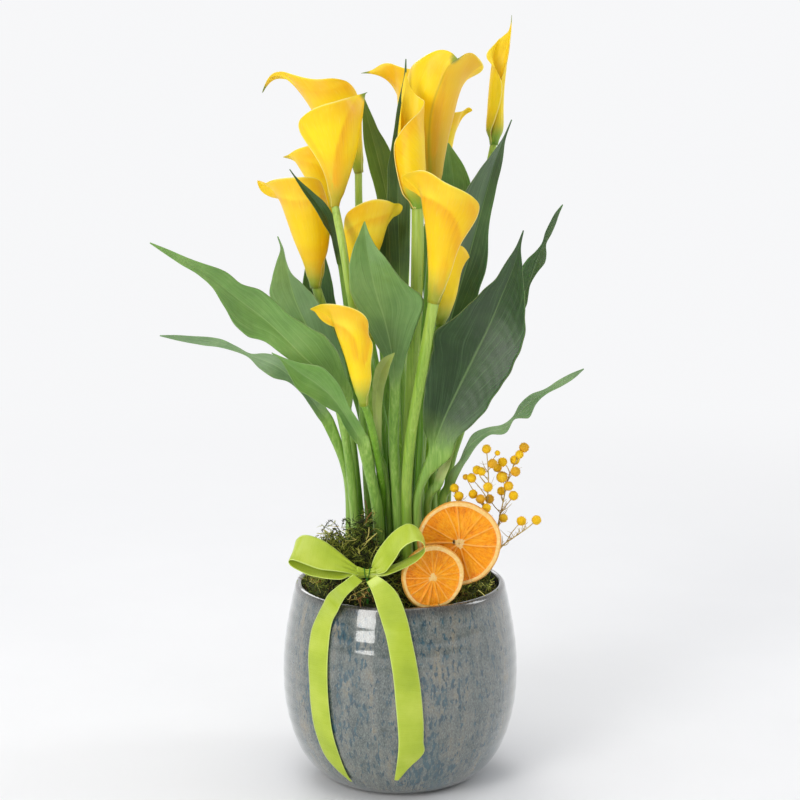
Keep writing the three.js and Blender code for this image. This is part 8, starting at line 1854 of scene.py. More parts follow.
# ------------------------------------------------------------------ pot
POT_OUTER = [(0, 0), (0, 46), (0.2, 49), (1.0, 51.6), (3, 58.4), (10, 67.6), (22, 76.8), (40, 84), (60, 88.3), (80, 89.6), (100, 88.9), (120, 86.2), (135, 83.3), (146, 80.9), (150, 79.9), (151.4, 79.2), (152.3, 78.2), (152.6, 77.0), (152.4, 76.0), (151.4, 75.1), (149, 74.8)]
POT_INNER = [(145, 75.0), (120, 80), (95, 82.8), (60, 82), (35, 76), (18, 66.5), (9, 50), (9, 0)]


def dense_profile(pts, step=1.6):
    pts = np.array([(r, z) for z, r in pts], float)
    d = np.r_[0, np.cumsum(np.linalg.norm(np.diff(pts, axis=0), axis=1))]
    n = int(d[-1] / step)
    t = np.interp(np.linspace(0, d[-1], n), d, np.arange(len(pts)))
    return t, pts


def pot_object():
    # belly from a spline, straight runs at the foot
    foot = np.array([(0, 0), (20, 0), (40, 0), (48.5, 0.0)], float)
    belly = np.array([(z, r) for z, r in POT_OUTER[3:]], float)
    t = np.linspace(0, len(belly) - 1, 210)
    b = spline(belly, t)[:, ::-1]
    inner = np.array([(z, r) for z, r in POT_INNER[:-1]], float)
    inn = spline(inner, np.linspace(0, len(inner) - 1, 60))[:, ::-1]
    prof = np.concatenate([foot[1:], [[50.6, 0.35]], b, inn, [[0.0 + 20, 9.0]]])
    seg = 220
    a = 2 * np.pi * np.arange(seg) / seg
    n = len(prof)
    rr = prof[:, 0][:, None] * np.ones(seg)
    z = prof[:, 1][:, None] * np.ones(seg)
    # hand-thrown wall: very slight unevenness, none on the flat foot
    k = smooth(2.0, 20.0, z) * (rr > 60)
    rr = rr + k * (0.22 * np.sin(2 * a + 0.4) + 0.16 * np.sin(3 * a + 1.0) + 0.07 * np.sin(z * 0.55)) - 0.25 * k
    z = z - smooth(148, 152, z) * (0.25 + 0.25 * np.sin(2 * a + 1.2))
    V = np.stack([rr * np.cos(a), rr * np.sin(a), z], -1).reshape(-1, 3)
    c0, c1 = n * seg, n * seg + 1
    V = np.concatenate([V, [[0, 0, 0.0], [0, 0, 9.0]]])
    F = [grid_faces(n, seg, close_v=True), fan(np.arange(seg), c0, flip=True), fan(np.arange((n - 1) * seg, n * seg), c1)]
    F = facing_out(V, F)
    return make("glazed_pot", V, F, MAT_GLAZE)


done(pot_object(), "glaze", "pot")


# ------------------------------------------------------------------ soil and moss
def soil_object():
    seg, nr = 120, 46
    a = 2 * np.pi * np.arange(seg) / seg
    rad = np.linspace(0.02, 1, nr) * 75.6
    R_, A_ = np.meshgrid(rad, a, indexing="ij")
    x, y = R_ * np.cos(A_), R_ * np.sin(A_)
    z = 142.2 + 0.8 * waves(5, x * 0.5, y * 0.5, 4)
    top = np.stack([x, y, z], -1)
    low = top[-1].copy()
    low[:, :2] *= 0.995
    low[:, 2] = 125
    V = np.concatenate([top.reshape(-1, 3), low, [[0, 0, 142.5], [0, 0, 125]]])
    n = nr * seg
    F = [grid_faces(nr + 1, seg, close_v=True), fan(np.arange(seg), n + seg), fan(np.arange(n, n + seg), n + seg + 1, flip=True)]
    F = [F[0], F[1][:, ::-1], F[2][:, ::-1]]
    F = facing_out(V, F)
    return make("soil_bed", V, F, MAT_SOIL)


done(soil_object(), "soil", "potting_soil")

STEMS = [(np.asarray(l["rows"], float)[:6, :3], l["rows"][0][3]) for l in LEAVES.values()] + [(np.asarray(f["scape"], float)[:5], f["r"]) for f in FLOWERS.values()]


def moss_height(a, s):
    """Height of the mound above the level beside the wall; a angle, s 0 at the stems to 1 at the wall."""
    low = np.clip((np.cos(a + 0.75) - 0.35) / 0.4, 0, 1)
    high = (15 + 27 * np.maximum(0, np.cos(a + 2.15))) * (1 - 0.85 * low)
    return high * np.clip(1 - s, 0, 1) ** 0.8 - 1.2 * (low > 0.5)


def moss_bed():
    seg, nr = 180, 44
    a = 2 * np.pi * np.arange(seg) / seg
    S_, A_ = np.meshgrid(np.linspace(-0.9, 1, nr), a, indexing="ij")
    ri = np.interp(A_ / (2 * np.pi) * len(MOSS_INNER), np.arange(len(MOSS_INNER) + 1), list(MOSS_INNER) + [MOSS_INNER[0]])
    R_ = ri + (74.0 - ri) * S_
    R_ = np.maximum(R_, 4 + 30 * (S_ + 0.9))
    x, y = R_ * np.cos(A_), R_ * np.sin(A_)
    h = moss_height(A_, np.clip(S_, 0, 1)) * (1 - 0.30 * smooth(0.0, 0.9, -S_))
    z = 145.4 + h * 0.92 + (1.5 * waves(9, x * 0.28, y * 0.28, 4) + 0.6 * waves(10, x * 1.1, y * 1.1, 3)) * smooth(1.02, 0.8, S_)
    top = np.stack([x, y, z], -1)
    low = top[-1].copy()
    low[:, 2] = 141
    V = np.concatenate([top.reshape(-1, 3), low, [[0, 0, float(z[0].mean())], [0, 0, 141]]])
    n = nr * seg
    F = [grid_faces(nr + 1, seg, close_v=True), fan(np.arange(seg), n + seg, flip=True), fan(np.arange(n, n + seg), n + seg + 1)]
    F = facing_out(V, F)
    return make("moss_bed", V, F, MAT_MOSS, {"tone": np.clip(0.13 + 0.15 * waves(3, V[:, 0] * 0.3, V[:, 1] * 0.3), 0.02, 0.45)})


def strand(r, p, d, length, curl, drop=0.10, limit=73.6, nseg=7, wander=0.16):
    pts = [p]
    for _k in range(nseg):
        d = d + curl * 0.35 + r.normal(0, wander, 3)
        d[2] -= drop
        d = d / np.linalg.norm(d)
        p = p + d * length / nseg
        rr_ = math.hypot(p[0], p[1])
        if limit and rr_ > limit and p[2] < 153.5:
            p = p * np.array([limit / rr_, limit / rr_, 1])
        p[2] = max(p[2], 143.2)
        pts.append(p)
    return np.array(pts)


def moss_strands(index, count, seed):
    r = np.random.default_rng(seed)
    shape = np.array([1, 1.1, 1.1, 1.05, 0.95, 0.8, 0.55, 0.12])
    paths = []
    for _ in range(count):
        ang = r.uniform(0, 2 * np.pi)
        s = r.uniform(-0.6, 1.0)
        ri_ = np.interp(ang / (2 * np.pi) * len(MOSS_INNER), np.arange(len(MOSS_INNER) + 1), list(MOSS_INNER) + [MOSS_INNER[0]])
        rad_ = max(ri_ + (73.5 - ri_) * s, 8 + 30 * (s + 0.6))
        z0 = 145.6 + float(moss_height(np.array(ang), np.array(max(s, 0.0)))) * 0.93 * (1 - 0.25 * max(-s, 0)) + r.uniform(-2.0, 1.6)
        p = np.array([rad_ * math.cos(ang), rad_ * math.sin(ang), z0])
        d = r.normal(0, 1, 3)
        d[2] = abs(d[2]) * 0.55 + 0.05
        d = d / np.linalg.norm(d)
        length = r.uniform(4, 15) * (1.25 if s < 0.4 else 0.75)
        P = strand(r, p, d, length, r.normal(0, 0.42, 3))
        w = r.uniform(0.16, 0.40)
        # green-yellow tufts in patches, dark between them, a few straw and brown ones
        field = float(waves(31, np.array(p[0] * 0.16), np.array(p[1] * 0.16), 2))
        tone = r.choice([0.05, 0.2, 0.36, 0.52, 0.66, 0.80, 0.97], p=[0.10, 0.22, 0.22, 0.19, 0.12, 0.07, 0.08]) + r.normal(0, 0.04)
        if tone < 0.75:
            tone = tone + 0.14 * field
        paths.append((P, w * shape, float(np.clip(tone, 0, 1))))
    return tubes_object("moss_strand_mat_%d" % index, paths, MAT_MOSS, 3, "tone")


def moss_tufts():
    """Curled tufts that stand up between and in front of the stems, and the stray ends along the edge."""
    r = np.random.default_rng(404)
    shape = np.array([1, 1.1, 1.1, 1.05, 0.95, 0.8, 0.55, 0.12])
    paths = []

    def cloud(n, px, py, y, spread, lengths, tones, width=(0.16, 0.36), up=0.2):
        for _ in range(n):
            p = ray(px + r.normal(0, spread[0]), py + r.normal(0, spread[1]), y + r.uniform(-6, 6))
            d = r.normal(0, 1, 3)
            d[2] = d[2] * 0.7 + up
            P = strand(r, p, unit(d), r.uniform(*lengths), r.normal(0, 0.6, 3), 0.06, None, wander=0.22)
            paths.append((P, r.uniform(*width) * shape, float(np.clip(r.choice(tones) + r.normal(0, 0.05), 0, 1))))

    olive, bright, dark = [0.2, 0.4, 0.55, 0.68], [0.5, 0.62, 0.72, 0.8], [0.02, 0.1, 0.22, 0.4]
    cloud(340, 338, 549, -46, (9, 6), (4, 11), olive)
    cloud(170, 333, 541, -44, (7, 6), (3, 9), olive + bright)
    cloud(120, 352, 541, -50, (6, 9), (4, 11), bright + dark)
    cloud(360, 362, 545, -47, (7, 12), (4, 12), dark + olive)
    cloud(150, 366, 530, -42, (4, 10), (4, 10), dark + [0.95])
    cloud(240, 365, 560, -53, (9, 6), (4, 11), dark + dark + olive)
    cloud(160, 378, 556, -52, (6, 8), (4, 9), olive + dark)
    cloud(90, 316, 579, -60, (6, 3), (3, 7), olive + bright + [0.95], up=0.05)
    cloud(120, 360, 594, -73, (6, 3), (3, 8), dark + [0.88, 0.93, 0.97, 0.8], up=0.05)
    cloud(70, 359, 585, -69, (4, 3), (3, 9), olive + bright, up=0.05)
    cloud(60, 486, 585, -56, (5, 2), (2, 5), olive + dark + [0.75], up=0.0)
    # stray ends with tiny leaflets
    for pts in (((345, 545), (338, 528), (331, 521), (326, 525), (322, 531)), ((341, 543), (337, 532), (334, 529), (331, 536)), ((336, 550), (328, 541), (323, 540)),
                ((352, 532), (348, 522), (344, 519), (343, 524)), ((312, 583), (305, 581), (302, 582)), ((470, 594), (477, 591), (481, 593))):
        y0 = -46 if pts[0][1] < 560 else (-70 if pts[0][0] < 400 else -56)
        P = spline(np.array([ray(px, py, y0 - 1.0 * i) for i, (px, py) in enumerate(pts)]), np.linspace(0, len(pts) - 1, 26))
        paths.append((P, np.linspace(0.34, 0.14, 26), 0.12))
        for q in P[4:]:
            for _k in range(3):
                d = unit(r.normal(0, 1, 3))
                paths.append((np.array([q, q + d * 0.8, q + d * 1.5 + [0, 0, 0.2]]), np.array([0.20, 0.22, 0.05]), 0.10 + r.uniform(0, 0.25)))
    # a few dry stalks across the tuft
    for (ax, ay), (bx, by), y0, w, tone in (((362, 545), (377, 533), -53, 0.55, 0.80), ((366, 540), (369, 527), -52, 0.5, 0.83), ((372, 512), (366, 523), -48, 0.5, 0.93), ((365, 500), (368, 513), -46, 0.42, 0.97),
                                            ((372, 538), (362, 549), -55, 0.42, 0.78), ((378, 545), (370, 560), -55, 0.4, 0.74), ((346, 552), (357, 541), -52, 0.42, 0.66), ((358, 553), (367, 546), -55, 0.4, 0.72),
                                            ((352, 595), (371, 586), -76, 0.42, 0.86), ((356, 600), (366, 592), -77, 0.4, 0.92), ((478, 590), (485, 596), -68, 0.4, 0.8)):
        a_, b_ = ray(ax, ay, y0), ray(bx, by, y0 - 2)
        mid = (a_ + b_) / 2 + r.normal(0, 0.7, 3)
        paths.append((spline(np.array([a_, mid, b_]), np.linspace(0, 2, 12)), np.linspace(w, w * 0.6, 12), tone))
    return tubes_object("moss_tufts", paths, MAT_MOSS, 4, "tone")


done(moss_bed(), "moss", "moss")
for k in range(4):
    done(moss_strands(k + 1, 3000, 770 + k), "moss")
done(moss_tufts(), "moss")


# ------------------------------------------------------------------ ribbon
def strip_grid(stations, steps, across, crown=0.0, ends=None):
    st = np.asarray(stations, float)
    t = np.linspace(0, len(st) - 1, steps)
    E = spline(st, t)
    L, R = E[:, :3], E[:, 3:]
    mid = (L + R) / 2
    T = tangents(mid)
    nrm = unit(np.cross(R - L, T))
    f = np.linspace(0, 1, across)[None, :, None]
    X = L[:, None] * (1 - f) + R[:, None] * f
    X = X + nrm[:, None] * (crown * (1 - (2 * f - 1) ** 2))
    return X, nrm, mid


def sheet_object(name, X, mat, half=0.15, close=False):
    nu, nv, _ = X.shape
    a, b = np.gradient(X, axis=0), np.gradient(X, axis=1)
    nrm = unit(np.cross(a, b))
    V = np.concatenate([(X + nrm * half).reshape(-1, 3), (X - nrm * half).reshape(-1, 3)])
    o = nu * nv
    F = [grid_faces(nu, nv), grid_faces(nu, nv, off=o, flip=True)]
    idn = lambda i, jj: i * nv + jj
    border = np.array([idn(i, 0) for i in range(nu - 1)] + [idn(nu - 1, jj) for jj in range(nv - 1)] + [idn(i, nv - 1) for i in range(nu - 1, 0, -1)] + [idn(0, jj) for jj in range(nv - 1, 0, -1)])
    nx = np.roll(border, -1)
    F.append(np.stack([border, border + o, nx + o, nx], -1))
    F = facing_out(V, F)
    mid = X[:, nv // 2]
    s = np.r_[0, np.cumsum(np.linalg.norm(np.diff(mid, axis=0), axis=1))]
    rb = np.stack([np.broadcast_to(s[:, None], (nu, nv)), np.broadcast_to(np.linspace(-1, 1, nv)[None, :], (nu, nv)), np.zeros((nu, nv))], -1).reshape(-1, 3)
    ob = make(name, V, F, mat, {"rb": np.concatenate([rb, rb])})
    area = np.linalg.norm(np.cross(a, b), axis=2)[:-1, :-1].sum()
    return ob, float(s[-1]), float(area)


def ribbon_tail(name, stations, node, crown):
    X, nrm, mid = strip_grid(stations, 150, 15, 0.0)
    # lie on the pot: crown the middle outwards so that the strip follows the round wall
    f = np.linspace(-1, 1, X.shape[1])[None, :]
    out = X.copy()
    axis_d = np.hypot(X[..., 0], X[..., 1])
    u = np.stack([X[..., 0] / axis_d, X[..., 1] / axis_d, np.zeros_like(axis_d)], -1)
    on = smooth(156, 150, X[..., 2])
    out = out + u * (crown * (1 - f**2) * on)[..., None]
    s = np.linspace(0, 1, X.shape[0])[:, None]
    out = out + u * (0.35 * np.sin(s * 19 + f * 1.2) * on * (1 - on * 0.35))[..., None]
    return sheet_object(name, out, MAT_SATIN)


def ribbon_loop(name, stations):
    X, nrm, mid = strip_grid(stations, 170, 17, 0.0)
    nu, nv, _ = X.shape
    a, b = np.gradient(X, axis=0), np.gradient(X, axis=1)
    nm = unit(np.cross(a, b))
    s = np.linspace(0, 1, nu)[:, None]
    f = np.linspace(-1, 1, nv)[None, :]
    pinch = np.exp(-((np.minimum(s, 1 - s)) / 0.10) ** 2)
    pleat = pinch * 0.9 * np.cos(f * 3.0 * np.pi)
    soft = 0.5 * np.sin(s * 11 + f * 1.7) * (1 - pinch)
    X = X + nm * (pleat + soft)[..., None]
    return sheet_object(name, X, MAT_SATIN)


def flat_of(length, area):
    return (0.020, round(length * MM, 4))


for name, st, node in (("ribbon_tail_l", TAIL_LEFT, "ribbon_tail_left"), ("ribbon_tail_r", TAIL_RIGHT, "ribbon_tail_right")):
    ob, length, area = ribbon_tail(name, st, node, 0.75)
    done(ob, "ribbon", node)
    print("ribbon", name, round(length, 1), round(area, 1))
for name, st in (("ribbon_loop_l", LOOP_LEFT), ("ribbon_loop_r", LOOP_RIGHT)):
    ob, length, area = ribbon_loop(name, st)
    done(ob, "ribbon")
    print("ribbon", name, round(length, 1), round(area, 1))


def knot_object():
    """The gathered middle of the bow: the cloth pinched to a pleated neck where the wire goes round it."""
    nu, nv = 96, 40
    u = np.linspace(0, 2 * np.pi, nu, endpoint=False)
    v = np.linspace(-1, 1, nv)
    U, Vv = np.meshgrid(u, v, indexing="ij")
    w = 7.6 * Vv
    rad = 2.7 + 2.5 * np.abs(Vv) ** 1.6
    pleat = 0.16 * rad * np.cos(U * 7 + 1.2 * Vv) + 0.08 * rad * np.cos(U * 12 + 2 - Vv * 2)
    close = np.sqrt(np.clip(1 - np.abs(Vv) ** 8, 0.0, 1))
    ry, rz = (rad * 0.72 + pleat) * close, (rad + pleat) * close
    x, y, z = w, ry * np.cos(U), rz * np.sin(U)
    c, s = np.cos(0.10), np.sin(0.10)
    X = np.stack([KNOT[0] + x * c + 0.6, KNOT[1] + y - 0.4, KNOT[2] + z - x * s * 0.8], -1)
    ends = [X[:, 0].mean(0), X[:, -1].mean(0)]
    V = np.concatenate([X.reshape(-1, 3), ends])
    n = nu * nv
    F = [grid_faces(nu, nv, close_u=True), fan(np.arange(nu) * nv, n, flip=True), fan(np.arange(nu) * nv + nv - 1, n + 1)]
    F = facing_out(V, F)
    rb = np.stack([w * 1.5, 0.8 * np.sin(U * 3.5), np.zeros_like(U)], -1).reshape(-1, 3)
    return make("ribbon_knot", V, F, MAT_SATIN, {"rb": np.concatenate([rb, [[0, 0, 0], [0, 0, 0]]])})


done(knot_object(), "ribbon", "ribbon_bow")


def wire_paths():
    """A thin green wire round the neck of the bow, twisted below it, on a stake that stands in the moss."""
    kx, ky, kz = KNOT[0] + 1.0, KNOT[1] - 0.4, KNOT[2]
    out = []
    for dx, lean in ((-1.3, -0.25), (1.7, 0.30)):
        t = np.linspace(-0.30 * np.pi, 1.42 * np.pi, 60)
        ring = np.stack([kx + dx + lean * np.sin(t) * 2.2, ky - 3.0 * np.cos(t) * 1.0, kz + 3.9 * np.sin(t)], 1)
        out.append((ring, np.full(60, 0.34), 0.5))
    for ph in (0, np.pi):
        t = np.linspace(0, 1, 70)
        core = spline(np.array([[kx + 0.2, ky - 2.9, kz - 2.6], [kx + 0.6, ky - 3.6, kz - 6.0], [kx + 1.6, ky - 3.2, kz - 9.0], [kx + 0.6, -63.5, 150.0]]), t * 3)
        k = 0.45 * np.clip(t * 4, 0, 1)
        out.append((core + np.stack([k * np.cos(t * 42 + ph), k * np.sin(t * 42 + ph), np.zeros(70)], 1), np.full(70, 0.34), 0.5))
    tail = spline(np.array([[kx + 1.2, ky - 3.4, kz - 6.4], [kx + 3.4, ky - 4.6, kz - 7.6], [kx + 5.0, ky - 4.2, kz - 10.6]]), np.linspace(0, 2, 24))
    out.append((tail, np.full(24, 0.32), 0.5))
    stake = spline(np.array([[kx, -63.8, 148.6], [kx + 0.2, -64.6, 160], [kx, KNOT[1] + 5.2, kz - 4], [kx + 0.6, KNOT[1] + 5.2, kz + 1.5]]), np.linspace(0, 3, 50))
    out.append((stake, np.full(50, 0.5), 0.5))
    return out


done(tubes_object("twisted_wire", wire_paths(), MAT_WIRE, 8), "wire", "bow_wire")


# ------------------------------------------------------------------ orange slices
def slice_object(name, c, r, n, t, segments, turn, seed, rind, mat, seed_hole=None):
    w = unit(np.asarray(n, float))
    u = unit(np.cross([0, 0, 1.0], w))
    v = np.cross(w, u)
    na, nr = 300, 74
    a = 2 * np.pi * np.arange(na) / na
    k = np.linspace(0, 1, nr)[1:]
    K, A = np.meshgrid(k, a, indexing="ij")
    rg = np.random.default_rng(seed)
    # membranes at uneven angles, curved a little
    cuts = np.sort((np.arange(segments) + rg.uniform(-0.26, 0.26, segments)) / segments * 2 * np.pi + turn)
    lean = rg.uniform(-0.16, 0.16, segments)
    dd = np.abs((A[..., None] - cuts - lean * (K[..., None] - 0.5) + np.pi) % (2 * np.pi) - np.pi)
    d = dd.min(-1)
    strength = rg.uniform(0.35, 1.0, segments)[dd.argmin(-1)]
    arc = d * K * r  # mm to the nearest membrane
    width = rind * (1 + 0.18 * np.sin(A + 0.8) + 0.07 * np.sin(3 * A + seed))
    to_pith = (1 - K) * r - width
    # star-shaped core: longer along the membranes
    core_r = 0.070 * r + 0.085 * r * np.exp(-((arc / 1.3) ** 2)) * strength + 0.02 * r * np.cos(A * 3 + seed)
    core = K * r - core_r
    line = (arc - 0.28 - 0.25 * strength) / 0.5
    seg = np.clip(0.5 + line, 1 - strength, 1)
    pith = np.clip(np.maximum(0.5 - to_pith / 0.5, 0.5 - core / 0.7), 0, 1)
    inside = np.minimum(np.minimum(arc - 0.3, to_pith), core)
    wob = 1 + 0.010 * np.sin(3 * A + 0.6) + 0.007 * np.sin(5 * A) + 0.003 * np.sin(11 * A)
    hole = np.zeros_like(K)
    if seed_hole:
        hx, hy = seed_hole
        hole = np.exp(-(((K * np.cos(A) * r - hx) / 0.75) ** 2 + ((K * np.sin(A) * r - hy) / 1.5) ** 2))
    faces = []
    for sgn in (1, -1):
        cell = waves(seed, A * 9, K * 8, 3) * (1 - pith)
        sunk = -0.75 * smooth(0.0, 1.3, inside) + 0.28 * cell + 0.20 * waves(seed + 2, A * 3, K * 4, 2)
        sunk = sunk + 0.22 * (1 - np.clip(seg, 0, 1)) * (1 - pith) - 1.3 * hole
        sunk = sunk - 0.7 * smooth(0.975, 1.0, K)
        hgt = (t / 2 - 0.35) + sunk
        warp = 0.9 * np.cos(A * 2 + 0.5) * K**2
        rr = K * r * wob * 0.985
        X = np.asarray(c) + (rr * np.cos(A))[..., None] * u + (rr * np.sin(A))[..., None] * v + (sgn * hgt + warp * 0.6)[..., None] * w
        faces.append(X)
    # skin between the two faces
    ns = 9
    sk = []
    for i in range(1, ns - 1):
        f = i / (ns - 1)
        bulge = 0.50 * math.sin(math.pi * f) * np.ones(na) + 0.08 * np.sin(a * 70 + i * 2.2)
        X = faces[0][-1] * (1 - f) + faces[1][-1] * f + bulge[:, None] * (np.cos(a)[:, None] * u + np.sin(a)[:, None] * v)
        sk.append(X)
    top, bot = faces
    nr = len(k)
    V = np.concatenate([top.reshape(-1, 3), np.array(sk).reshape(-1, 3), bot[::-1].reshape(-1, 3), [top[0].mean(0)], [bot[0].mean(0)]])
    rows = nr + len(sk) + nr
    F = [grid_faces(rows, na, close_v=True), fan(np.arange(na), rows * na, flip=True), fan(np.arange((rows - 1) * na, rows * na), rows * na + 1)]
    F = facing_out(V, F)
    xy = np.stack([K * np.cos(A), K * np.sin(A), smooth(0.972, 0.990, K)], -1)
    skin = np.stack([np.cos(np.broadcast_to(a, (len(sk), na))), np.sin(np.broadcast_to(a, (len(sk), na))), np.ones((len(sk), na))], -1)
    os_ = np.concatenate([xy.reshape(-1, 3), skin.reshape(-1, 3), xy[::-1].reshape(-1, 3), [[0, 0, 0]], [[0, 0, 0]]])
    sg = np.concatenate([seg.ravel(), np.zeros(len(sk) * na), seg[::-1].ravel(), [0, 0]])
    # the seed hole, painted dark as shade
    dark = np.clip(hole * 1.6, 0, 1)
    pt = np.concatenate([pith.ravel(), np.ones(len(sk) * na), pith[::-1].ravel(), [1, 1]])
    dk = np.concatenate([dark.ravel(), np.zeros(len(sk) * na), dark[::-1].ravel(), [0, 0]])
    return make(name, V, F, mat, {"os": os_, "seg": sg, "pith": pt, "hole": dk})


SLICE_LOOK = ((11, 0.30, 4, 2.9, MAT_ORANGE, (-3.9, 0.9)), (17, 0.9, 8, 3.0, MAT_ORANGE_SMALL, None))
for (name, s), (segs, turn, seed, rind, mat, pip) in zip(SLICES.items(), SLICE_LOOK):
    done(slice_object(name + "_fruit", s["c"], s["r"], s["n"], s["t"], segs, turn, seed, rind, mat, pip), "orange_fruit", name)


# ------------------------------------------------------------------ dried sprigs
def ball_mesh(c, r, seed):
    """Head of tiny florets: bumps on a spiral lattice."""
    nu, nv = 30, 20
    u = 2 * np.pi * np.arange(nu) / nu
    v = np.pi * (np.arange(1, nv)) / nv
    Vv, U = np.meshgrid(v, u, indexing="ij")
    d = np.stack([np.sin(Vv) * np.cos(U), np.sin(Vv) * np.sin(U), np.cos(Vv)], -1)
    k = np.arange(64) + 0.5
    phi = np.arccos(1 - 2 * k / 64)
    th = np.pi * (1 + 5**0.5) * k + seed
    pts = np.stack([np.cos(th) * np.sin(phi), np.sin(th) * np.sin(phi), np.cos(phi)], -1)
    near = (d.reshape(-1, 3) @ pts.T).max(1).reshape(Vv.shape)
    rr = r * (0.86 + 0.15 * smooth(0.955, 1.0, near))
    V = np.asarray(c) + d * rr[..., None]
    return V, np.asarray(c) + [0, 0, r * 0.9], np.asarray(c) - [0, 0, r * 0.9], nu, nv - 1


def fuzz(c, r, rg, count):
    """Short soft hairs that stand out of a flower head."""
    out = []
    for _ in range(count):
        d = unit(rg.normal(0, 1, 3))
        out.append((np.array([c + d * r * 0.80, c + d * r * 1.00, c + d * r * 1.12]), np.array([0.16, 0.17, 0.09]), 0.5))
    return out


for si, (name, sp) in enumerate(SPRIGS.items()):
    main = np.asarray(sp["main"], float)
    r = np.random.default_rng(50 + si)
    P = spline(main, np.linspace(0, len(main) - 1, 60))
    paths = [(P, np.linspace(0.62, 0.34, 60), 0.5)]
    Vs, Fq, Ft, off, tones, hairs = [], [], [], 0, [], []
    for bi, b in enumerate(sp["balls"]):
        bp, br = np.array(b[:3]), b[3]
        V, top, bot, nu, nr = ball_mesh(bp, br, si * 10 + bi)
        Vs += [V.reshape(-1, 3), top[None], bot[None]]
        Fq.append(grid_faces(nr, nu, close_v=True) + off)
        Ft.append(fan(np.arange(nu) + off, off + nr * nu, flip=True))
        Ft.append(fan(np.arange((nr - 1) * nu, nr * nu) + off, off + nr * nu + 1))
        off += nr * nu + 2
        tones.append(np.full(nr * nu + 2, r.choice([0.0, 0.15, 0.3, 0.75], p=[0.35, 0.3, 0.2, 0.15])))
        hairs += fuzz(bp, br, r, 70)
        dz = bp[2] - P[:, 2]
        k = int(np.argmin(np.abs(dz - np.hypot(P[:, 0] - bp[0], P[:, 1] - bp[1]) * 1.3)))
        if np.linalg.norm(P[k] - bp) > br * 0.8:
            q = P[k]
            side = unit(r.normal(0, 1, 3)) * np.linalg.norm(bp - q) * 0.10
            pts = spline(np.array([q, q * 0.5 + bp * 0.5 + side, q * 0.05 + bp * 0.95]), np.linspace(0, 2, 18))
            paths.append((pts, np.linspace(0.42, 0.26, 18), 0.5))
    # dry side twigs, bracts and broken ends
    low = P[int(len(P) * 0.25) :]
    for _ in range(26):
        q = low[r.integers(0, len(low) - 4)]
        d = unit(np.array([r.normal(0, 0.8), r.normal(0, 0.8), r.uniform(0.5, 1.6)]))
        n_ = r.uniform(3, 13)
        if q[2] + n_ > main[-1][2]:
            continue
        bend = r.normal(0, 0.12, 3) * n_
        paths.append((spline(np.array([q, q + d * n_ * 0.5 + bend, q + d * n_ + bend * 0.5]), np.linspace(0, 2, 9)), np.linspace(0.30, 0.10, 9) * r.uniform(0.7, 1.4), 0.5))
    V = np.concatenate(Vs)
    F = facing_out(V, [np.concatenate(Fq), np.concatenate(Ft)])
    done(make(name + "_heads", V, F, MAT_BALL, {"age": np.concatenate(tones)}), "dried_flower", name)
    done(tubes_object(name + "_fuzz", hairs, MAT_FUZZ, 3), "dried_flower")
    done(tubes_object(name + "_twigs", paths, MAT_TWIG, 6), "dried_flower")


# ------------------------------------------------------------------ floor, light, camera
BACK = (0.93, 0.933, 0.945)


def floor_material():
    """Matt white near the object, running out into an evenly lit white surround."""
    m = Nodes("pale_floor")
    pos = m.pos()
    n = m.noise(pos, 6, 3, 0.5)
    col = m.ramp(n, [(0.3, (0.84, 0.842, 0.855)), (0.7, (0.86, 0.862, 0.875))])
    m.link(col, m.b.inputs["Base Color"])
    m.b.inputs["Roughness"].default_value = 0.7
    m.b.inputs["Specular IOR Level"].default_value = 0.1
    xyz = m.sep(pos)
    r = m.math("SQRT", m.math("ADD", m.math("MULTIPLY", xyz[0], xyz[0]), m.math("MULTIPLY", xyz[1], xyz[1])))
    far = m.new("ShaderNodeMapRange", interpolation_type="SMOOTHSTEP")
    m.put(far.inputs[0], r)
    far.inputs[1].default_value, far.inputs[2].default_value = 0.28, 1.5
    glow = m.new("ShaderNodeEmission")
    glow.inputs[0].default_value = (*BACK, 1)
    both = m.new("ShaderNodeMixShader")
    m.link(far.outputs[0], both.inputs[0])
    m.link(m.b.outputs[0], both.inputs[1])
    m.link(glow.outputs[0], both.inputs[2])
    m.link(both.outputs[0], m.out.inputs["Surface"])
    return m.mat


def floor_disc():
    rings = [0.0, 0.3, 0.8, 1.6, 2.6, 5, 12, 40]
    seg = 64
    a = 2 * np.pi * np.arange(seg) / seg
    V = [[0, 0, 0]] + [[r * 1000 * math.cos(t), r * 1000 * math.sin(t), 0] for r in rings[1:] for t in a]
    F = [fan(np.arange(1, seg + 1), 0)]
    n = len(rings) - 1
    F.append(grid_faces(n, seg, close_v=True, off=1, flip=False))
    ob = make("studio_floor", V, F, floor_material())
    # all faces look up
    me = ob.data
    flip = [p for p in me.polygons if p.normal.z < 0]
    for p in flip:
        p.flip()
    me.update()
    return ob


floor_disc()


def area(name, loc, target, size, power, color=(1, 1, 1), size_y=None):
    L = bpy.data.lights.new(name, "AREA")
    L.energy = power
    L.color = color
    L.shape = "RECTANGLE"
    L.size = size
    L.size_y = size_y or size
    o = bpy.data.objects.new(name, L)
    bpy.context.scene.collection.objects.link(o)
    from mathutils import Vector

    d = Vector(target) - Vector(loc)
    o.rotation_euler = d.to_track_quat("-Z", "Y").to_euler()
    o.location = loc
    return o


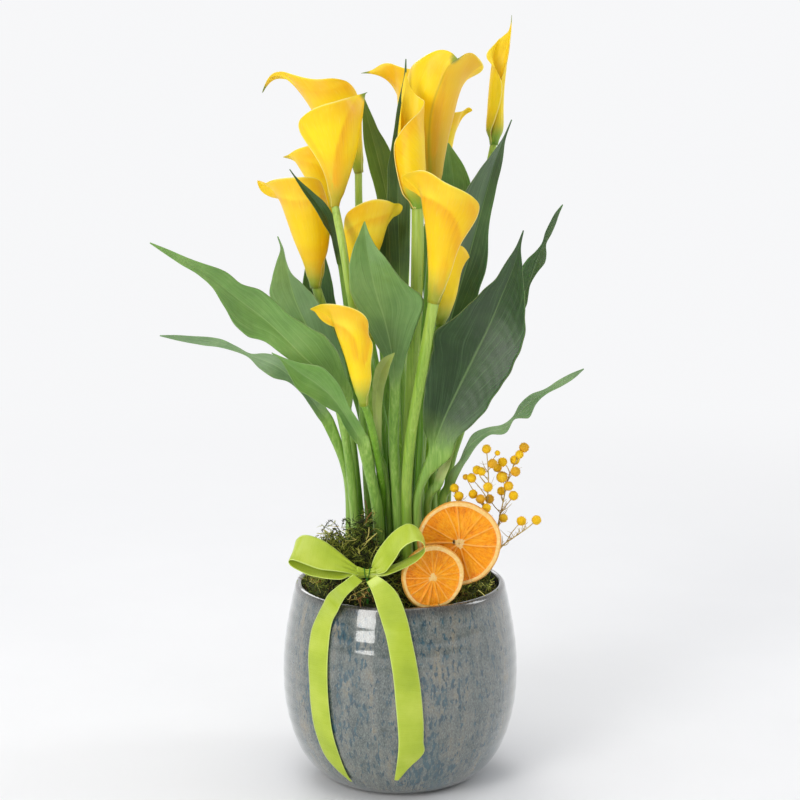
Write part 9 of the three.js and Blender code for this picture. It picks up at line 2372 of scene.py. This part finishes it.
area("key_soft", (-0.92, -1.36, 0.78), (0.0, 0.0, 0.25), 0.62, 15.5, (1.0, 0.99, 0.97), 1.20)
area("side_right", (1.55, 0.15, 0.85), (0.0, 0.0, 0.25), 0.5, 6, (0.97, 0.985, 1.0), 0.9)
area("top_soft", (-0.2, -0.2, 2.1), (0.0, 0.0, 0.2), 1.3, 13, (1, 1, 1), 1.3)
area("back_rim", (-0.5, 1.4, 1.2), (0.0, 0.0, 0.3), 0.9, 7, (1, 1, 1), 0.9)


def surround():
    """White walls at the sides and behind, a dimmer ceiling and the darker room in front."""
    world = bpy.data.worlds.new("studio")
    bpy.context.scene.world = world
    world.use_nodes = True
    t = world.node_tree
    bg = t.nodes["Background"]

    def math_(op, a, b):
        n = t.nodes.new("ShaderNodeMath")
        n.operation = op
        for i, v in enumerate((a, b)):
            if isinstance(v, (int, float)):
                n.inputs[i].default_value = v
            else:
                t.links.new(v, n.inputs[i])
        return n.outputs[0]

    def step(v, a, b, c, d):
        n = t.nodes.new("ShaderNodeMapRange")
        n.interpolation_type = "SMOOTHSTEP"
        t.links.new(v, n.inputs[0])
        for i, x in enumerate((a, b, c, d)):
            n.inputs[i + 1].default_value = x
        return n.outputs[0]

    tc = t.nodes.new("ShaderNodeTexCoord")
    sp = t.nodes.new("ShaderNodeSeparateXYZ")
    t.links.new(tc.outputs["Generated"], sp.inputs[0])
    x, y, z = sp.outputs[0], sp.outputs[1], sp.outputs[2]
    wall = step(y, -0.35, 0.25, 0.34, 1.0)  # front to back
    high = step(z, 0.25, 0.75, 0.0, 1.0)
    level = math_("ADD", math_("MULTIPLY", wall, math_("SUBTRACT", 1.0, high)), math_("MULTIPLY", high, 0.50))
    below = step(z, -0.02, 0.03, 1.0, 0.0)
    level = math_("ADD", math_("MULTIPLY", level, math_("SUBTRACT", 1.0, below)), below)
    t.links.new(level, bg.inputs[1])
    bg.inputs[0].default_value = (*BACK, 1)
    return world


surround()

cam = bpy.data.cameras.new("photo_camera")
cam.sensor_width = 36
cam.lens = 2311.0 * 36 / 800
cam.clip_start = 0.05
co = bpy.data.objects.new("photo_camera", cam)
bpy.context.scene.collection.objects.link(co)
from mathutils import Vector

co.location = (0, -1.7, 0.63)
co.rotation_euler = (Vector((0, 0, 0.292)) - Vector(co.location)).to_track_quat("-Z", "Y").to_euler()
bpy.context.scene.camera = co

try:
    bpy.context.scene.view_settings.view_transform = "Standard"
except TypeError:
    pass
bpy.context.scene.view_settings.exposure = 0.0
